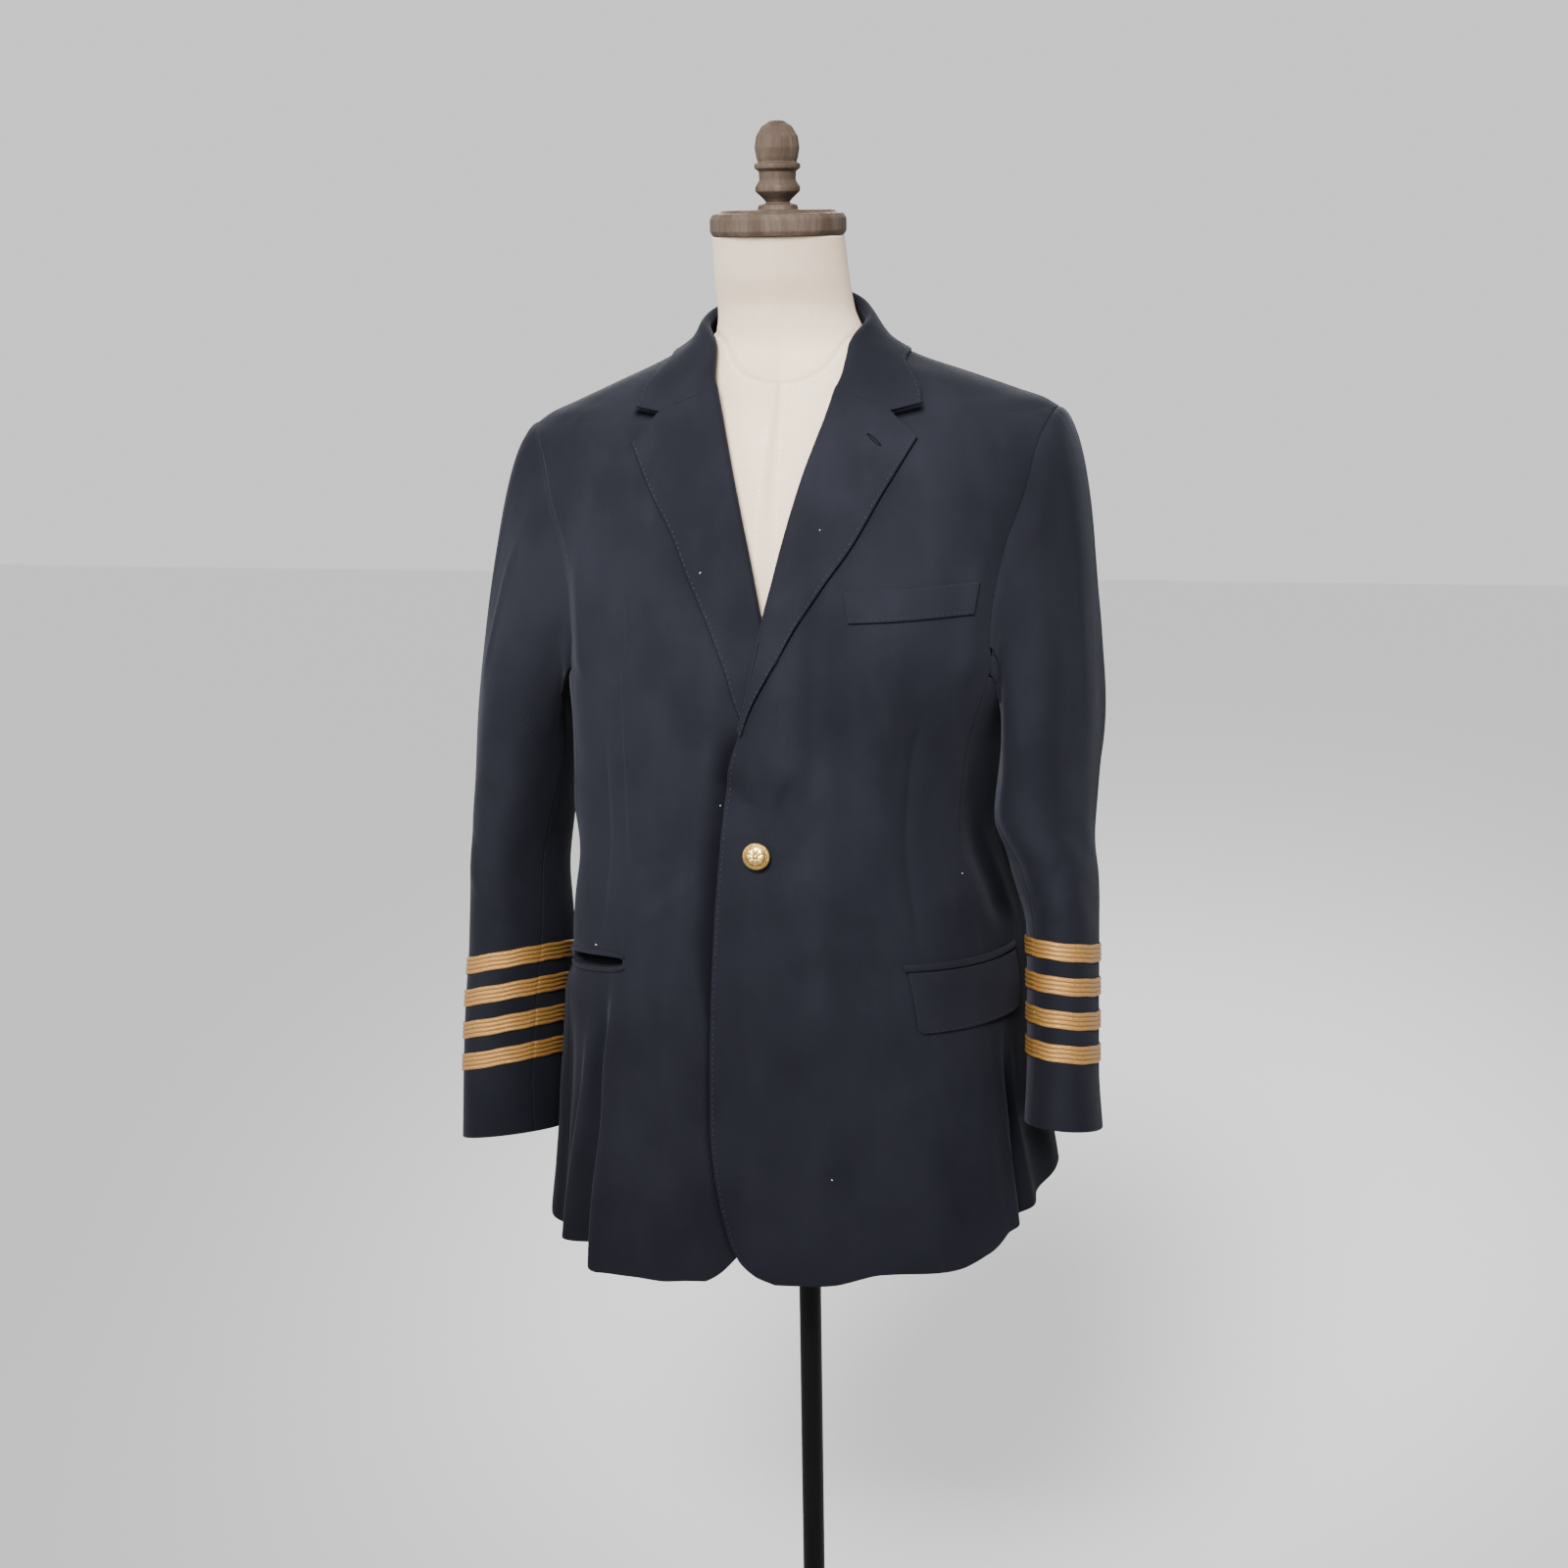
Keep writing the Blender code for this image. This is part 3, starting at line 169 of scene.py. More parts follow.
# Sleeves below the cap: height, centre x, centre y, half width, half depth, turn in degrees
LEFT_SLEEVE = (
    (1.134, 0.2185, -0.008, 0.0375, 0.0810, 12.0),
    (1.084, 0.2152, -0.013, 0.0393, 0.0780, 8.0),
    (1.033, 0.2235, -0.020, 0.0360, 0.0720, -4.0),
    (0.984, 0.2315, -0.028, 0.0305, 0.0670, -6.0),
    (0.924, 0.2330, -0.035, 0.0300, 0.0640, -7.0),
    (0.868, 0.2340, -0.041, 0.0302, 0.0610, -7.0),
    (0.816, 0.2355, -0.047, 0.0330, 0.0590, -6.0),
)
RIGHT_SLEEVE = (
    (1.121, -0.2465, -0.008, 0.0413, 0.0800, 0.0),
    (1.069, -0.2507, -0.013, 0.0370, 0.0770, -4.0),
    (1.015, -0.2546, -0.020, 0.0348, 0.0725, -7.0),
    (0.964, -0.2531, -0.028, 0.0360, 0.0690, -12.0),
    (0.901, -0.2563, -0.035, 0.0360, 0.0660, -16.0),
    (0.842, -0.2589, -0.041, 0.0360, 0.0630, -18.0),
    (0.781, -0.2625, -0.047, 0.0378, 0.0595, -14.0),
)

# Dress form: height, half width, front depth, back depth, power, centre x, centre y
FORM_SECTIONS = (
    (0.800, 0.130, 0.095, 0.090, 2.2, 0.000, 0.000),
    (0.803, 0.146, 0.110, 0.104, 2.2, 0.000, 0.000),
    (0.812, 0.156, 0.120, 0.112, 2.2, 0.000, 0.000),
    (0.860, 0.165, 0.130, 0.118, 2.2, 0.000, 0.000),
    (0.950, 0.166, 0.132, 0.112, 2.2, 0.000, 0.000),
    (1.040, 0.152, 0.128, 0.098, 2.2, -0.003, 0.000),
    (1.090, 0.146, 0.128, 0.092, 2.2, -0.004, 0.000),
    (1.160, 0.156, 0.138, 0.100, 2.2, -0.004, 0.000),
    (1.240, 0.174, 0.148, 0.116, 2.2, -0.002, 0.000),
    (1.290, 0.184, 0.140, 0.121, 2.2, -0.001, 0.000),
    (1.340, 0.192, 0.125, 0.119, 2.2, -0.002, 0.000),
    (1.380, 0.197, 0.107, 0.110, 2.1, -0.003, 0.000),
    (1.408, 0.198, 0.090, 0.098, 2.0, -0.003, 0.000),
    (1.425, 0.194, 0.077, 0.085, 1.9, -0.003, 0.000),
    (1.436, 0.1850, 0.068, 0.076, 1.8, -0.003, 0.000),
    (1.450, 0.1515, 0.062, 0.067, 1.8, -0.003, 0.000),
    (1.469, 0.1000, 0.054, 0.056, 1.8, -0.003, -0.001),
    (1.482, 0.0760, 0.046, 0.047, 1.85, -0.003, -0.003),
    (1.496, 0.0620, 0.043, 0.042, 2.00, -0.0045, -0.007),
    (1.512, 0.0580, 0.043, 0.043, 2.00, -0.0062, -0.012),
    (1.540, 0.0565, 0.047, 0.046, 2.00, -0.0072, -0.024),
    (NECK_TOP, 0.0550, 0.050, 0.050, 2.00, -0.007, -0.036),
)


class Side(IntEnum):
    """The wearer's left, at +X, and right, at -X."""

    LEFT = 1
    RIGHT = -1

    @property
    def word(self) -> str:
        """Return the side's word as the nodes' names have it."""
        return "left" if self is Side.LEFT else "right"


class Hold(Enum):
    """How a sheet of cloth is held."""

    HUNG = "hung"
    DRAPED = "draped"
    FOLDED = "folded"
    LAID = "laid"
    STRETCHED = "stretched"


class Border(Enum):
    """A border of a cloth grid that a row of sewing follows."""

    FIRST_COLUMN = "first column"
    LAST_COLUMN = "last column"
    FIRST_ROW = "first row"
    LAST_ROW = "last row"


def read_table(at: Array | float, table: Table, column: int = 1) -> Array:
    """Read a column of a table by a monotone cubic through its rows.

    Args:
        at: Heights, angles or other keys to read the table at.
        table: Rows whose first number is the key.
        column: The column that is read.

    Returns:
        The values, in the shape of the keys.
    """
    rows = np.array([tuple(row) for row in table], dtype=float)
    keys, values = rows[:, 0], rows[:, column]
    at = np.clip(np.asarray(at, dtype=float), keys[0], keys[-1])
    steps = np.diff(keys)
    slopes = np.diff(values) / steps
    tangents = np.zeros_like(values)
    tangents[0], tangents[-1] = slopes[0], slopes[-1]
    same_way = slopes[:-1] * slopes[1:] > 0
    total = np.where(same_way, slopes[:-1] + slopes[1:], 1.0)
    tangents[1:-1] = np.where(same_way, 2 * slopes[:-1] * slopes[1:] / total, 0.0)
    index = np.clip(np.searchsorted(keys, at) - 1, 0, len(steps) - 1)
    share = (at - keys[index]) / steps[index]
    rise = (3 - 2 * share) * share**2
    start = share * (1 - share) ** 2 * steps[index] * tangents[index]
    end = (share - 1) * share**2 * steps[index] * tangents[index + 1]
    return (1 - rise) * values[index] + rise * values[index + 1] + start + end


def ease(value: Array | float, low: float, high: float) -> Array:
    """Go smoothly from 0 at low to 1 at high; low may be the greater."""
    share = np.clip((np.asarray(value, dtype=float) - low) / (high - low), 0.0, 1.0)
    return share * share * (3 - 2 * share)


def bell(value: Array, centre: float, width: float) -> Array:
    """Return a bell curve, exp(-((value - centre) / width)^2)."""
    return np.exp(-(((value - centre) / width) ** 2))


def packed(count: int, length: float, rim: float = 0.0009) -> Array:
    """Spread shares from 0 to 1 evenly, with extra ones close to both ends for a rounded rim.

    Args:
        count: Number of even shares.
        length: The real length that the shares run over.
        rim: How far from each end the extra shares reach.

    Returns:
        Rising shares from 0 to 1.
    """
    near = np.array([0.08, 0.3, 0.6, 1.0]) * rim / length
    inner = np.linspace(2.2 * rim / length, 1 - 2.2 * rim / length, count)
    return np.concatenate([[0.0], near, inner, 1 - near[::-1], [1.0]])


def smoothed(values: Array, reach: int = 9) -> Array:
    """Return a row of values averaged over their neighbours, with both ends kept."""
    padded = np.pad(values, reach, mode="reflect", reflect_type="odd")
    weights = np.hanning(2 * reach + 3)[1:-1]
    return np.convolve(padded, weights / weights.sum(), mode="valid")


def unit(vectors: Array) -> Array:
    """Return vectors scaled to length 1."""
    return vectors / np.maximum(np.linalg.norm(vectors, axis=-1, keepdims=True), 1e-12)


def grid_normals(points: Array, ring: bool = False) -> Array:
    """Return a grid's normals: the cross product of its slopes along columns and along rows."""
    if ring:
        along = np.roll(points, -1, axis=1) - np.roll(points, 1, axis=1)
    else:
        along = np.gradient(points, axis=1)
    return unit(np.cross(along, np.gradient(points, axis=0)))


def lengths_along(points: Array, axis: int) -> Array:
    """Return how far each grid point lies along its row or column, in metres."""
    gaps = np.linalg.norm(np.diff(points, axis=axis), axis=-1)
    start = np.zeros_like(np.take(gaps, [0], axis=axis))
    return np.concatenate([start, np.cumsum(gaps, axis=axis)], axis=axis)


@dataclass(frozen=True)
class Fold:
    """A soft ridge, or a trough where rise is below 0, between two points; sway bends its path, in radians."""

    name: str
    top: float
    top_angle: float
    bottom: float
    bottom_angle: float
    width: float
    rise: float
    sway: float = 0.009


MAIN_FOLDS = (
    Fold("left skirt ridge", 0.995, -31.7, 0.640, -41.6, 0.011, 0.0060),
    Fold("left skirt valley", 0.990, -36.4, 0.640, -47.7, 0.010, -0.0110),
    Fold("left skirt back ridge", 0.975, -38.5, 0.640, -55.0, 0.010, 0.0050),
    Fold("left side valley", 0.940, -57.5, 0.640, -64.2, 0.012, -0.0060),
    Fold("left front hollow", 1.210, -13.7, 0.960, -14.5, 0.020, -0.0040),
    Fold("dimple over the button", 1.160, -2.3, 1.100, -0.8, 0.012, -0.0030),
    Fold("right waist hollow", 1.170, 68.0, 0.980, 80.0, 0.026, -0.0070),
    Fold("right side recess", 0.950, 84.0, 0.620, 86.0, 0.040, -0.0150),
    Fold("right skirt ridge", 0.900, 55.0, 0.640, 51.0, 0.013, 0.0030),
    Fold("right back skirt ridge", 0.900, 106.0, 0.640, 108.0, 0.016, 0.0030),
    Fold("left dart", 1.215, -40.1, 1.000, -38.1, 0.007, -0.0016, 0.0),
    Fold("right dart", 1.215, 40.1, 1.000, 39.0, 0.007, -0.0016, 0.0),
    Fold("left armhole drape", 1.345, -46.7, 1.205, -52.2, 0.013, 0.0035),
    Fold("right armhole drape", 1.345, 46.7, 1.205, 52.2, 0.013, 0.0035),
    Fold("back seam hollow", 1.240, 180.0, 0.960, 180.0, 0.030, -0.0050, 0.0),
    Fold("back left fold", 1.000, 159.0, 0.640, 158.0, 0.016, 0.0050),
    Fold("back right fold", 1.000, -161.0, 0.640, -156.0, 0.016, 0.0050),
    Fold("back left drape", 1.350, 132.0, 1.200, 133.0, 0.016, 0.0040),
    Fold("back right drape", 1.350, -132.0, 1.200, -133.0, 0.016, 0.0040),
)

# Smaller creases that the render alone shows
FINE_FOLDS = (
    Fold("dart groove left", 1.215, -40.1, 0.990, -38.1, 0.0022, -0.0009, 0.0),
    Fold("dart groove right", 1.215, 40.1, 0.990, 39.0, 0.0022, -0.0009, 0.0),
    Fold("left skirt ridge crest", 0.990, -31.9, 0.640, -41.9, 0.0045, 0.0024),
    Fold("left skirt back crest", 0.965, -38.9, 0.650, -55.4, 0.0045, 0.0022),
    Fold("left skirt valley line", 0.985, -35.6, 0.640, -46.6, 0.0045, -0.0024),
    Fold("left side push", 1.108, -77.0, 0.925, -75.0, 0.040, -0.0120, 0.0),
    Fold("right side fullness", 1.230, 100.0, 0.900, 104.0, 0.028, 0.0080, 0.0),
    Fold("right recess shade", 0.925, 73.0, 0.640, 63.5, 0.014, -0.0115),
    Fold("right recess lip", 0.930, 67.5, 0.640, 57.0, 0.008, 0.0038),
    Fold("left front crease", 1.190, -12.4, 0.900, -13.6, 0.013, -0.0050),
    Fold("dimple core", 1.148, -4.8, 1.112, 1.4, 0.010, -0.0042, 0.0),
    Fold("drag up to the right", 1.150, 10.0, 1.108, 3.0, 0.007, -0.0009),
    Fold("drag light to the right", 1.158, 9.0, 1.110, 2.5, 0.007, 0.0007),
    Fold("pull left of the button", 1.078, -3.5, 1.010, -24.0, 0.009, 0.0013),
    Fold("pull above that", 1.084, -4.0, 1.060, -30.0, 0.008, -0.0010),
    Fold("pull right of the button", 1.080, 3.5, 1.020, 26.0, 0.010, 0.0012),
    Fold("pull up from the button", 1.165, 8.0, 1.092, 2.0, 0.008, 0.0014),
    Fold("second dimple", 1.150, -6.5, 1.095, -3.5, 0.006, -0.0014),
    Fold("left chest shade", 1.330, -33.0, 1.090, -31.0, 0.018, -0.0014),
    Fold("left chest light", 1.310, -25.0, 1.060, -24.0, 0.016, 0.0014),
    Fold("right chest light", 1.300, 27.0, 1.060, 29.0, 0.018, 0.0014),
    Fold("right chest shade", 1.270, 34.5, 1.100, 35.0, 0.012, -0.0010),
    Fold("left skirt shade", 0.960, -23.0, 0.640, -27.0, 0.014, -0.0016),
    Fold("left skirt light", 0.930, -15.0, 0.640, -18.0, 0.014, 0.0014),
    Fold("left skirt crease", 0.930, -43.0, 0.640, -58.5, 0.006, 0.0026),
    Fold("left skirt crease valley", 0.915, -45.5, 0.640, -61.0, 0.005, -0.0024),
    Fold("right skirt shade", 0.960, 22.0, 0.640, 25.0, 0.020, -0.0016),
    Fold("right skirt light", 0.930, 33.0, 0.640, 36.0, 0.018, 0.0014),
    Fold("right skirt edge", 0.860, 44.0, 0.640, 42.0, 0.010, -0.0014),
    Fold("right shoulder drape", 1.415, 42.0, 1.300, 50.0, 0.012, -0.0012),
    Fold("left shoulder drape", 1.412, -40.0, 1.300, -50.0, 0.012, -0.0012),
    Fold("left side crease", 1.130, -66.0, 0.990, -70.0, 0.009, 0.0016),
    Fold("left side crease below", 1.120, -74.0, 0.960, -80.0, 0.010, -0.0018),
    Fold("right side crease", 1.140, 73.0, 0.980, 88.0, 0.009, 0.0018),
    Fold("right side crease behind", 1.150, 92.0, 0.960, 98.0, 0.011, -0.0018),
    Fold("back left waist", 1.150, 150.0, 1.020, 128.0, 0.012, 0.0020),
    Fold("back left waist below", 1.110, 154.0, 1.000, 134.0, 0.009, -0.0016),
    Fold("back right waist", 1.140, -152.0, 1.015, -126.0, 0.012, 0.0020),
    Fold("back right waist below", 1.100, -156.0, 0.990, -133.0, 0.010, -0.0016),
    Fold("back left blade", 1.400, 148.0, 1.240, 151.0, 0.018, 0.0018),
    Fold("back right blade", 1.400, -147.0, 1.230, -150.0, 0.018, 0.0018),
    Fold("back left skirt shade", 0.930, 143.0, 0.640, 138.0, 0.013, -0.0026),
    Fold("back right skirt shade", 0.950, -140.0, 0.640, -137.0, 0.013, -0.0024),
    Fold("back neck bow", 1.455, 176.0, 1.395, 150.0, 0.010, 0.0012),
    Fold("back neck bow right", 1.452, -175.0, 1.398, -149.0, 0.010, 0.0011),
)

# Slow waves that keep the cloth from lying dead flat: height pitch, angle count, phase, rise
CLOTH_WAVES = (
    (0.210, 3.0, 0.4, 0.00050),
    (0.130, 5.0, 1.9, 0.00038),
    (0.083, 8.0, 3.1, 0.00026),
    (0.061, 13.0, 0.9, 0.00016),
)


@dataclass
class BodySurface:
    """The surface that the body's panels lie on: rounded sections, a lean, folds and slow waves."""

    sections: Table = BODY_SECTIONS
    folds: Sequence[Fold] = MAIN_FOLDS + FINE_FOLDS
    waves: Table = CLOTH_WAVES
    shoulder_lean: float = 0.050

    def lean(self, x: Array, height: Array) -> Array:
        """Return how much higher the wearer's left shoulder sits, growing outwards from 0.1 m."""
        reach = np.sign(x) * np.maximum(np.abs(x) - 0.10, 0.0)
        return self.shoulder_lean * reach * ease(height, 1.17, 1.38)

    def plain(self, angle: Array, height: Array) -> Array:
        """Return points of the surface without folds.

        x is half * sign(sin a) * |sin a|^(2/p) and y is depth * |cos a|^(2/p), a rounded section of
        power p, with its own depth in front and behind.

        Args:
            angle: Angles in radians from the centre front.
            height: Heights in metres.

        Returns:
            Points, one for each angle and height.
        """
        half, front, back, power, shift = (read_table(height, self.sections, k) for k in range(1, 6))
        sine, cosine = np.sin(angle), np.cos(angle)
        x = shift + half * np.sign(sine) * np.abs(sine) ** (2 / power)
        y = np.where(cosine > 0, -front, back) * np.abs(cosine) ** (2 / power)
        return np.stack([x, y, height + self.lean(x, height)], axis=-1)

    def normal(self, angle: Array, height: Array) -> Array:
        """Return outward normals, from the surface's slopes along angle and height."""
        small = 0.004
        round_way = self.plain(angle + small, height) - self.plain(angle - small, height)
        up_way = self.plain(angle, height + small) - self.plain(angle, height - small)
        return unit(np.cross(round_way, up_way))

    def angle_at(self, x: Array | float, height: Array | float, face: int = 1) -> Array:
        """Return the angle whose point has this x; face is 1 in front and -1 at the back."""
        half, power, shift = (read_table(height, self.sections, k) for k in (1, 4, 5))
        share = np.clip(np.abs(x - shift) / half, 0.0, 1.0)
        angle = np.arcsin(share ** (power / 2)) * np.sign(x - shift)
        if face > 0:
            return angle
        return np.where(x >= shift, math.pi - angle, -math.pi - angle)

    def relief(self, points: Array, angle: Array) -> Array:
        """Add up the folds and waves at points of the plain surface.

        A fold is rise * exp(-(d / width)^2) for the level distance d from its path, and fades at
        both ends. A wave is a sine of height times a sine of the angle.
        """
        total = np.zeros(points.shape[:-1])
        for fold in self.folds:
            low, high = fold.bottom, fold.top
            along = np.clip((points[..., 2] - low) / (high - low), 0.0, 1.0)
            turn = np.radians(fold.bottom_angle + (fold.top_angle - fold.bottom_angle) * along)
            turn = turn + fold.sway * np.sin(points[..., 2] * math.tau / 0.15 + math.radians(3 * fold.top_angle))
            path = self.plain(turn, low + (high - low) * along)
            away = np.hypot(points[..., 0] - path[..., 0], points[..., 1] - path[..., 1])
            fade = ease(along, 0.0, 0.18) * ease(along, 1.0, 0.62)
            total += fold.rise * fade * np.exp(-((away / fold.width) ** 2))
        for pitch, count, phase, rise in self.waves:
            level = np.sin(points[..., 2] * math.tau / pitch + phase + 0.7 * np.sin(angle * 2 + phase))
            total += rise * level * np.sin(angle * count + 2.3 * phase)
        return total

    def point(self, angle: Array, height: Array, lift: Array | float = 0.0) -> Array:
        """Return points of the folded surface, moved out by the lift."""
        plain = self.plain(angle, height)
        outward = (self.relief(plain, angle) + lift)[..., None]
        return plain + self.normal(angle, height) * outward


BODY = BodySurface()


class Graph:
    """A node tree with short ways to add and join nodes."""

    def __init__(self, tree: bpy.types.NodeTree) -> None:
        """Keep the tree that nodes are added to."""
        self.tree = tree

    def add(self, kind: str, **values: object) -> bpy.types.Node:
        """Add a node of a kind and set its properties."""
        node = self.tree.nodes.new(kind)
        for name, value in values.items():
            setattr(node, name, value)
        return node

    def feed(self, socket: bpy.types.NodeSocket, value: object) -> None:
        """Link a socket to another, or set its number or colour."""
        if isinstance(value, bpy.types.NodeSocket):
            self.tree.links.new(value, socket)
        else:
            socket.default_value = value

    def math(self, operation: str, first: object, second: object = 0.0) -> bpy.types.NodeSocket:
        """Return the result of a Math node."""
        node = self.add("ShaderNodeMath", operation=operation)
        self.feed(node.inputs[0], first)
        self.feed(node.inputs[1], second)
        return node.outputs[0]

    def mix(self, share: object, first: object, second: object) -> bpy.types.NodeSocket:
        """Return a colour between two others."""
        node = self.add("ShaderNodeMix", data_type="RGBA")
        self.feed(node.inputs[0], share)
        self.feed(node.inputs[6], first)
        self.feed(node.inputs[7], second)
        return node.outputs[2]

    def ramp(self, value: object, low: float, high: float) -> bpy.types.NodeSocket:
        """Return a value that goes smoothly from 0 at low to 1 at high."""
        node = self.add("ShaderNodeMapRange", interpolation_type="SMOOTHSTEP")
        self.feed(node.inputs[0], value)
        node.inputs[1].default_value = low
        node.inputs[2].default_value = high
        return node.outputs[0]

    def noise(self, where: object, scale: float, detail: float = 3.0) -> bpy.types.NodeSocket:
        """Return a Noise texture's value."""
        node = self.add("ShaderNodeTexNoise")
        self.feed(node.inputs["Vector"], where)
        node.inputs["Scale"].default_value = scale
        node.inputs["Detail"].default_value = detail
        return node.outputs["Fac"]

    def stretch(self, where: object, scale: tuple[float, float, float]) -> bpy.types.NodeSocket:
        """Return a vector scaled along each axis."""
        node = self.add("ShaderNodeMapping")
        self.feed(node.inputs["Vector"], where)
        node.inputs["Scale"].default_value = scale
        return node.outputs[0]

    def parts(self, where: object) -> tuple[bpy.types.NodeSocket, ...]:
        """Return a vector's three numbers."""
        node = self.add("ShaderNodeSeparateXYZ")
        self.feed(node.inputs[0], where)
        return tuple(node.outputs)


def shader_group(
    name: str, inputs: dict[str, float], outputs: dict[str, str], build: Callable[..., None]
) -> bpy.types.NodeTree:
    """Make a shader node group once and return it.

    Args:
        name: The group's name.
        inputs: Names and default values of its number inputs, besides the vector input Where.
        outputs: Names and socket types of its outputs.
        build: Called with the graph, its input node and its output node, to fill it.

    Returns:
        The group's node tree.
    """
    found = bpy.data.node_groups.get(name)
    if found:
        return found
    tree = bpy.data.node_groups.new(name, "ShaderNodeTree")
    tree.interface.new_socket("Where", in_out="INPUT", socket_type="NodeSocketVector")
    for key, value in inputs.items():
        socket = tree.interface.new_socket(key, in_out="INPUT", socket_type="NodeSocketFloat")
        socket.default_value = value
    for key, kind in outputs.items():
        tree.interface.new_socket(key, in_out="OUTPUT", socket_type=kind)
    graph = Graph(tree)
    build(graph, graph.add("NodeGroupInput"), graph.add("NodeGroupOutput"))
    return tree


def build_twill(graph: Graph, given: bpy.types.Node, out: bpy.types.Node) -> None:
    """Fill the twill group: diagonal ridges of yarn, broken up by fine noise."""
    u, v, _ = graph.parts(given.outputs["Where"])
    slant = graph.math("ADD", graph.math("MULTIPLY", u, 1.0), graph.math("MULTIPLY", v, 0.62))
    turns = graph.math("DIVIDE", slant, given.outputs["Pitch"])
    ridge = graph.math("SINE", graph.math("MULTIPLY", turns, math.tau))
    yarn = graph.math("SINE", graph.math("MULTIPLY", graph.math("DIVIDE", v, given.outputs["Pitch"]), math.tau))
    fuzz = graph.noise(given.outputs["Where"], 1900.0, 2.0)
    sum_up = graph.math("ADD", graph.math("MULTIPLY", ridge, 0.5), graph.math("MULTIPLY", yarn, 0.22))
    graph.feed(out.inputs["Height"], graph.math("ADD", sum_up, graph.math("MULTIPLY", fuzz, 0.9)))
    graph.feed(out.inputs["Fleck"], graph.ramp(fuzz, 0.35, 0.75))


def build_wear(graph: Graph, given: bpy.types.Node, out: bpy.types.Node) -> None:
    """Fill the wear group: slow cloudy patches and fine dust."""
    cloud = graph.noise(given.outputs["Where"], 9.0, 4.0)
    rub = graph.noise(graph.stretch(given.outputs["Where"], (1.0, 1.0, 0.35)), 34.0, 3.0)
    graph.feed(out.inputs["Cloud"], graph.ramp(cloud, 0.30, 0.72))
    graph.feed(out.inputs["Rub"], graph.ramp(rub, 0.42, 0.80))
    speck = graph.add("ShaderNodeTexVoronoi", feature="F1")
    graph.feed(speck.inputs["Vector"], given.outputs["Where"])
    graph.feed(speck.inputs["Scale"], given.outputs["Dust Scale"])
    near = graph.ramp(speck.outputs["Distance"], 0.045, 0.025)
    few = graph.ramp(graph.noise(given.outputs["Where"], 60.0, 1.0), 0.63, 0.66)
    graph.feed(out.inputs["Dust"], graph.math("MULTIPLY", near, few))


def build_linen(graph: Graph, given: bpy.types.Node, out: bpy.types.Node) -> None:
    """Fill the linen group: crossing slubby threads."""
    u, v, _ = graph.parts(given.outputs["Where"])
    slub = graph.noise(graph.stretch(given.outputs["Where"], (60.0, 900.0, 1.0)), 1.0, 2.0)
    slub_up = graph.noise(graph.stretch(given.outputs["Where"], (900.0, 60.0, 1.0)), 1.0, 2.0)
    across = graph.math("SINE", graph.math("MULTIPLY", graph.math("DIVIDE", u, given.outputs["Pitch"]), math.tau))
    upward = graph.math("SINE", graph.math("MULTIPLY", graph.math("DIVIDE", v, given.outputs["Pitch"]), math.tau))
    weave = graph.math("MULTIPLY", graph.math("ADD", across, upward), 0.25)
    threads = graph.math("ADD", slub, slub_up)
    graph.feed(out.inputs["Height"], graph.math("ADD", weave, threads))
    graph.feed(out.inputs["Slub"], graph.ramp(threads, 0.75, 1.30))


def build_grain(graph: Graph, given: bpy.types.Node, out: bpy.types.Node) -> None:
    """Fill the wood group: long fibres along Z or X, darker pores and soft bands."""
    fibre = graph.noise(graph.stretch(given.outputs["Where"], (1.0, 1.0, 0.10)), 420.0, 4.0)
    band = graph.noise(graph.stretch(given.outputs["Where"], (1.0, 1.0, 0.25)), 60.0, 3.0)
    graph.feed(out.inputs["Fibre"], graph.ramp(fibre, 0.35, 0.68))
    graph.feed(out.inputs["Band"], graph.ramp(band, 0.35, 0.65))


def build_thread(graph: Graph, given: bpy.types.Node, out: bpy.types.Node) -> None:
    """Fill the metal thread group: slanting turns of wire round a cord."""
    u, v, _ = graph.parts(given.outputs["Where"])
    slant = graph.math("ADD", u, graph.math("MULTIPLY", v, 0.9))
    turn = graph.math("SINE", graph.math("MULTIPLY", graph.math("DIVIDE", slant, given.outputs["Pitch"]), math.tau))
    glint = graph.noise(graph.stretch(given.outputs["Where"], (420.0, 1400.0, 1.0)), 1.0, 2.0)
    graph.feed(out.inputs["Height"], graph.math("ADD", graph.math("MULTIPLY", turn, 0.5), glint))
    graph.feed(out.inputs["Glint"], graph.ramp(glint, 0.38, 0.66))
    graph.feed(out.inputs["Turn"], graph.ramp(turn, -0.8, 0.9))


GROUPS: dict[str, tuple[dict[str, float], dict[str, str], Callable[..., None]]] = {
    "wool twill": ({"Pitch": 0.0011}, {"Height": "NodeSocketFloat", "Fleck": "NodeSocketFloat"}, build_twill),
    "wear and dust": (
        {"Dust Scale": 260.0},
        {"Cloud": "NodeSocketFloat", "Rub": "NodeSocketFloat", "Dust": "NodeSocketFloat"},
        build_wear,
    ),
    "linen weave": ({"Pitch": 0.0013}, {"Height": "NodeSocketFloat", "Slub": "NodeSocketFloat"}, build_linen),
    "wood grain": ({"Pitch": 1.0}, {"Fibre": "NodeSocketFloat", "Band": "NodeSocketFloat"}, build_grain),
    "wound thread": (
        {"Pitch": 0.0011},
        {"Height": "NodeSocketFloat", "Glint": "NodeSocketFloat", "Turn": "NodeSocketFloat"},
        build_thread,
    ),
}


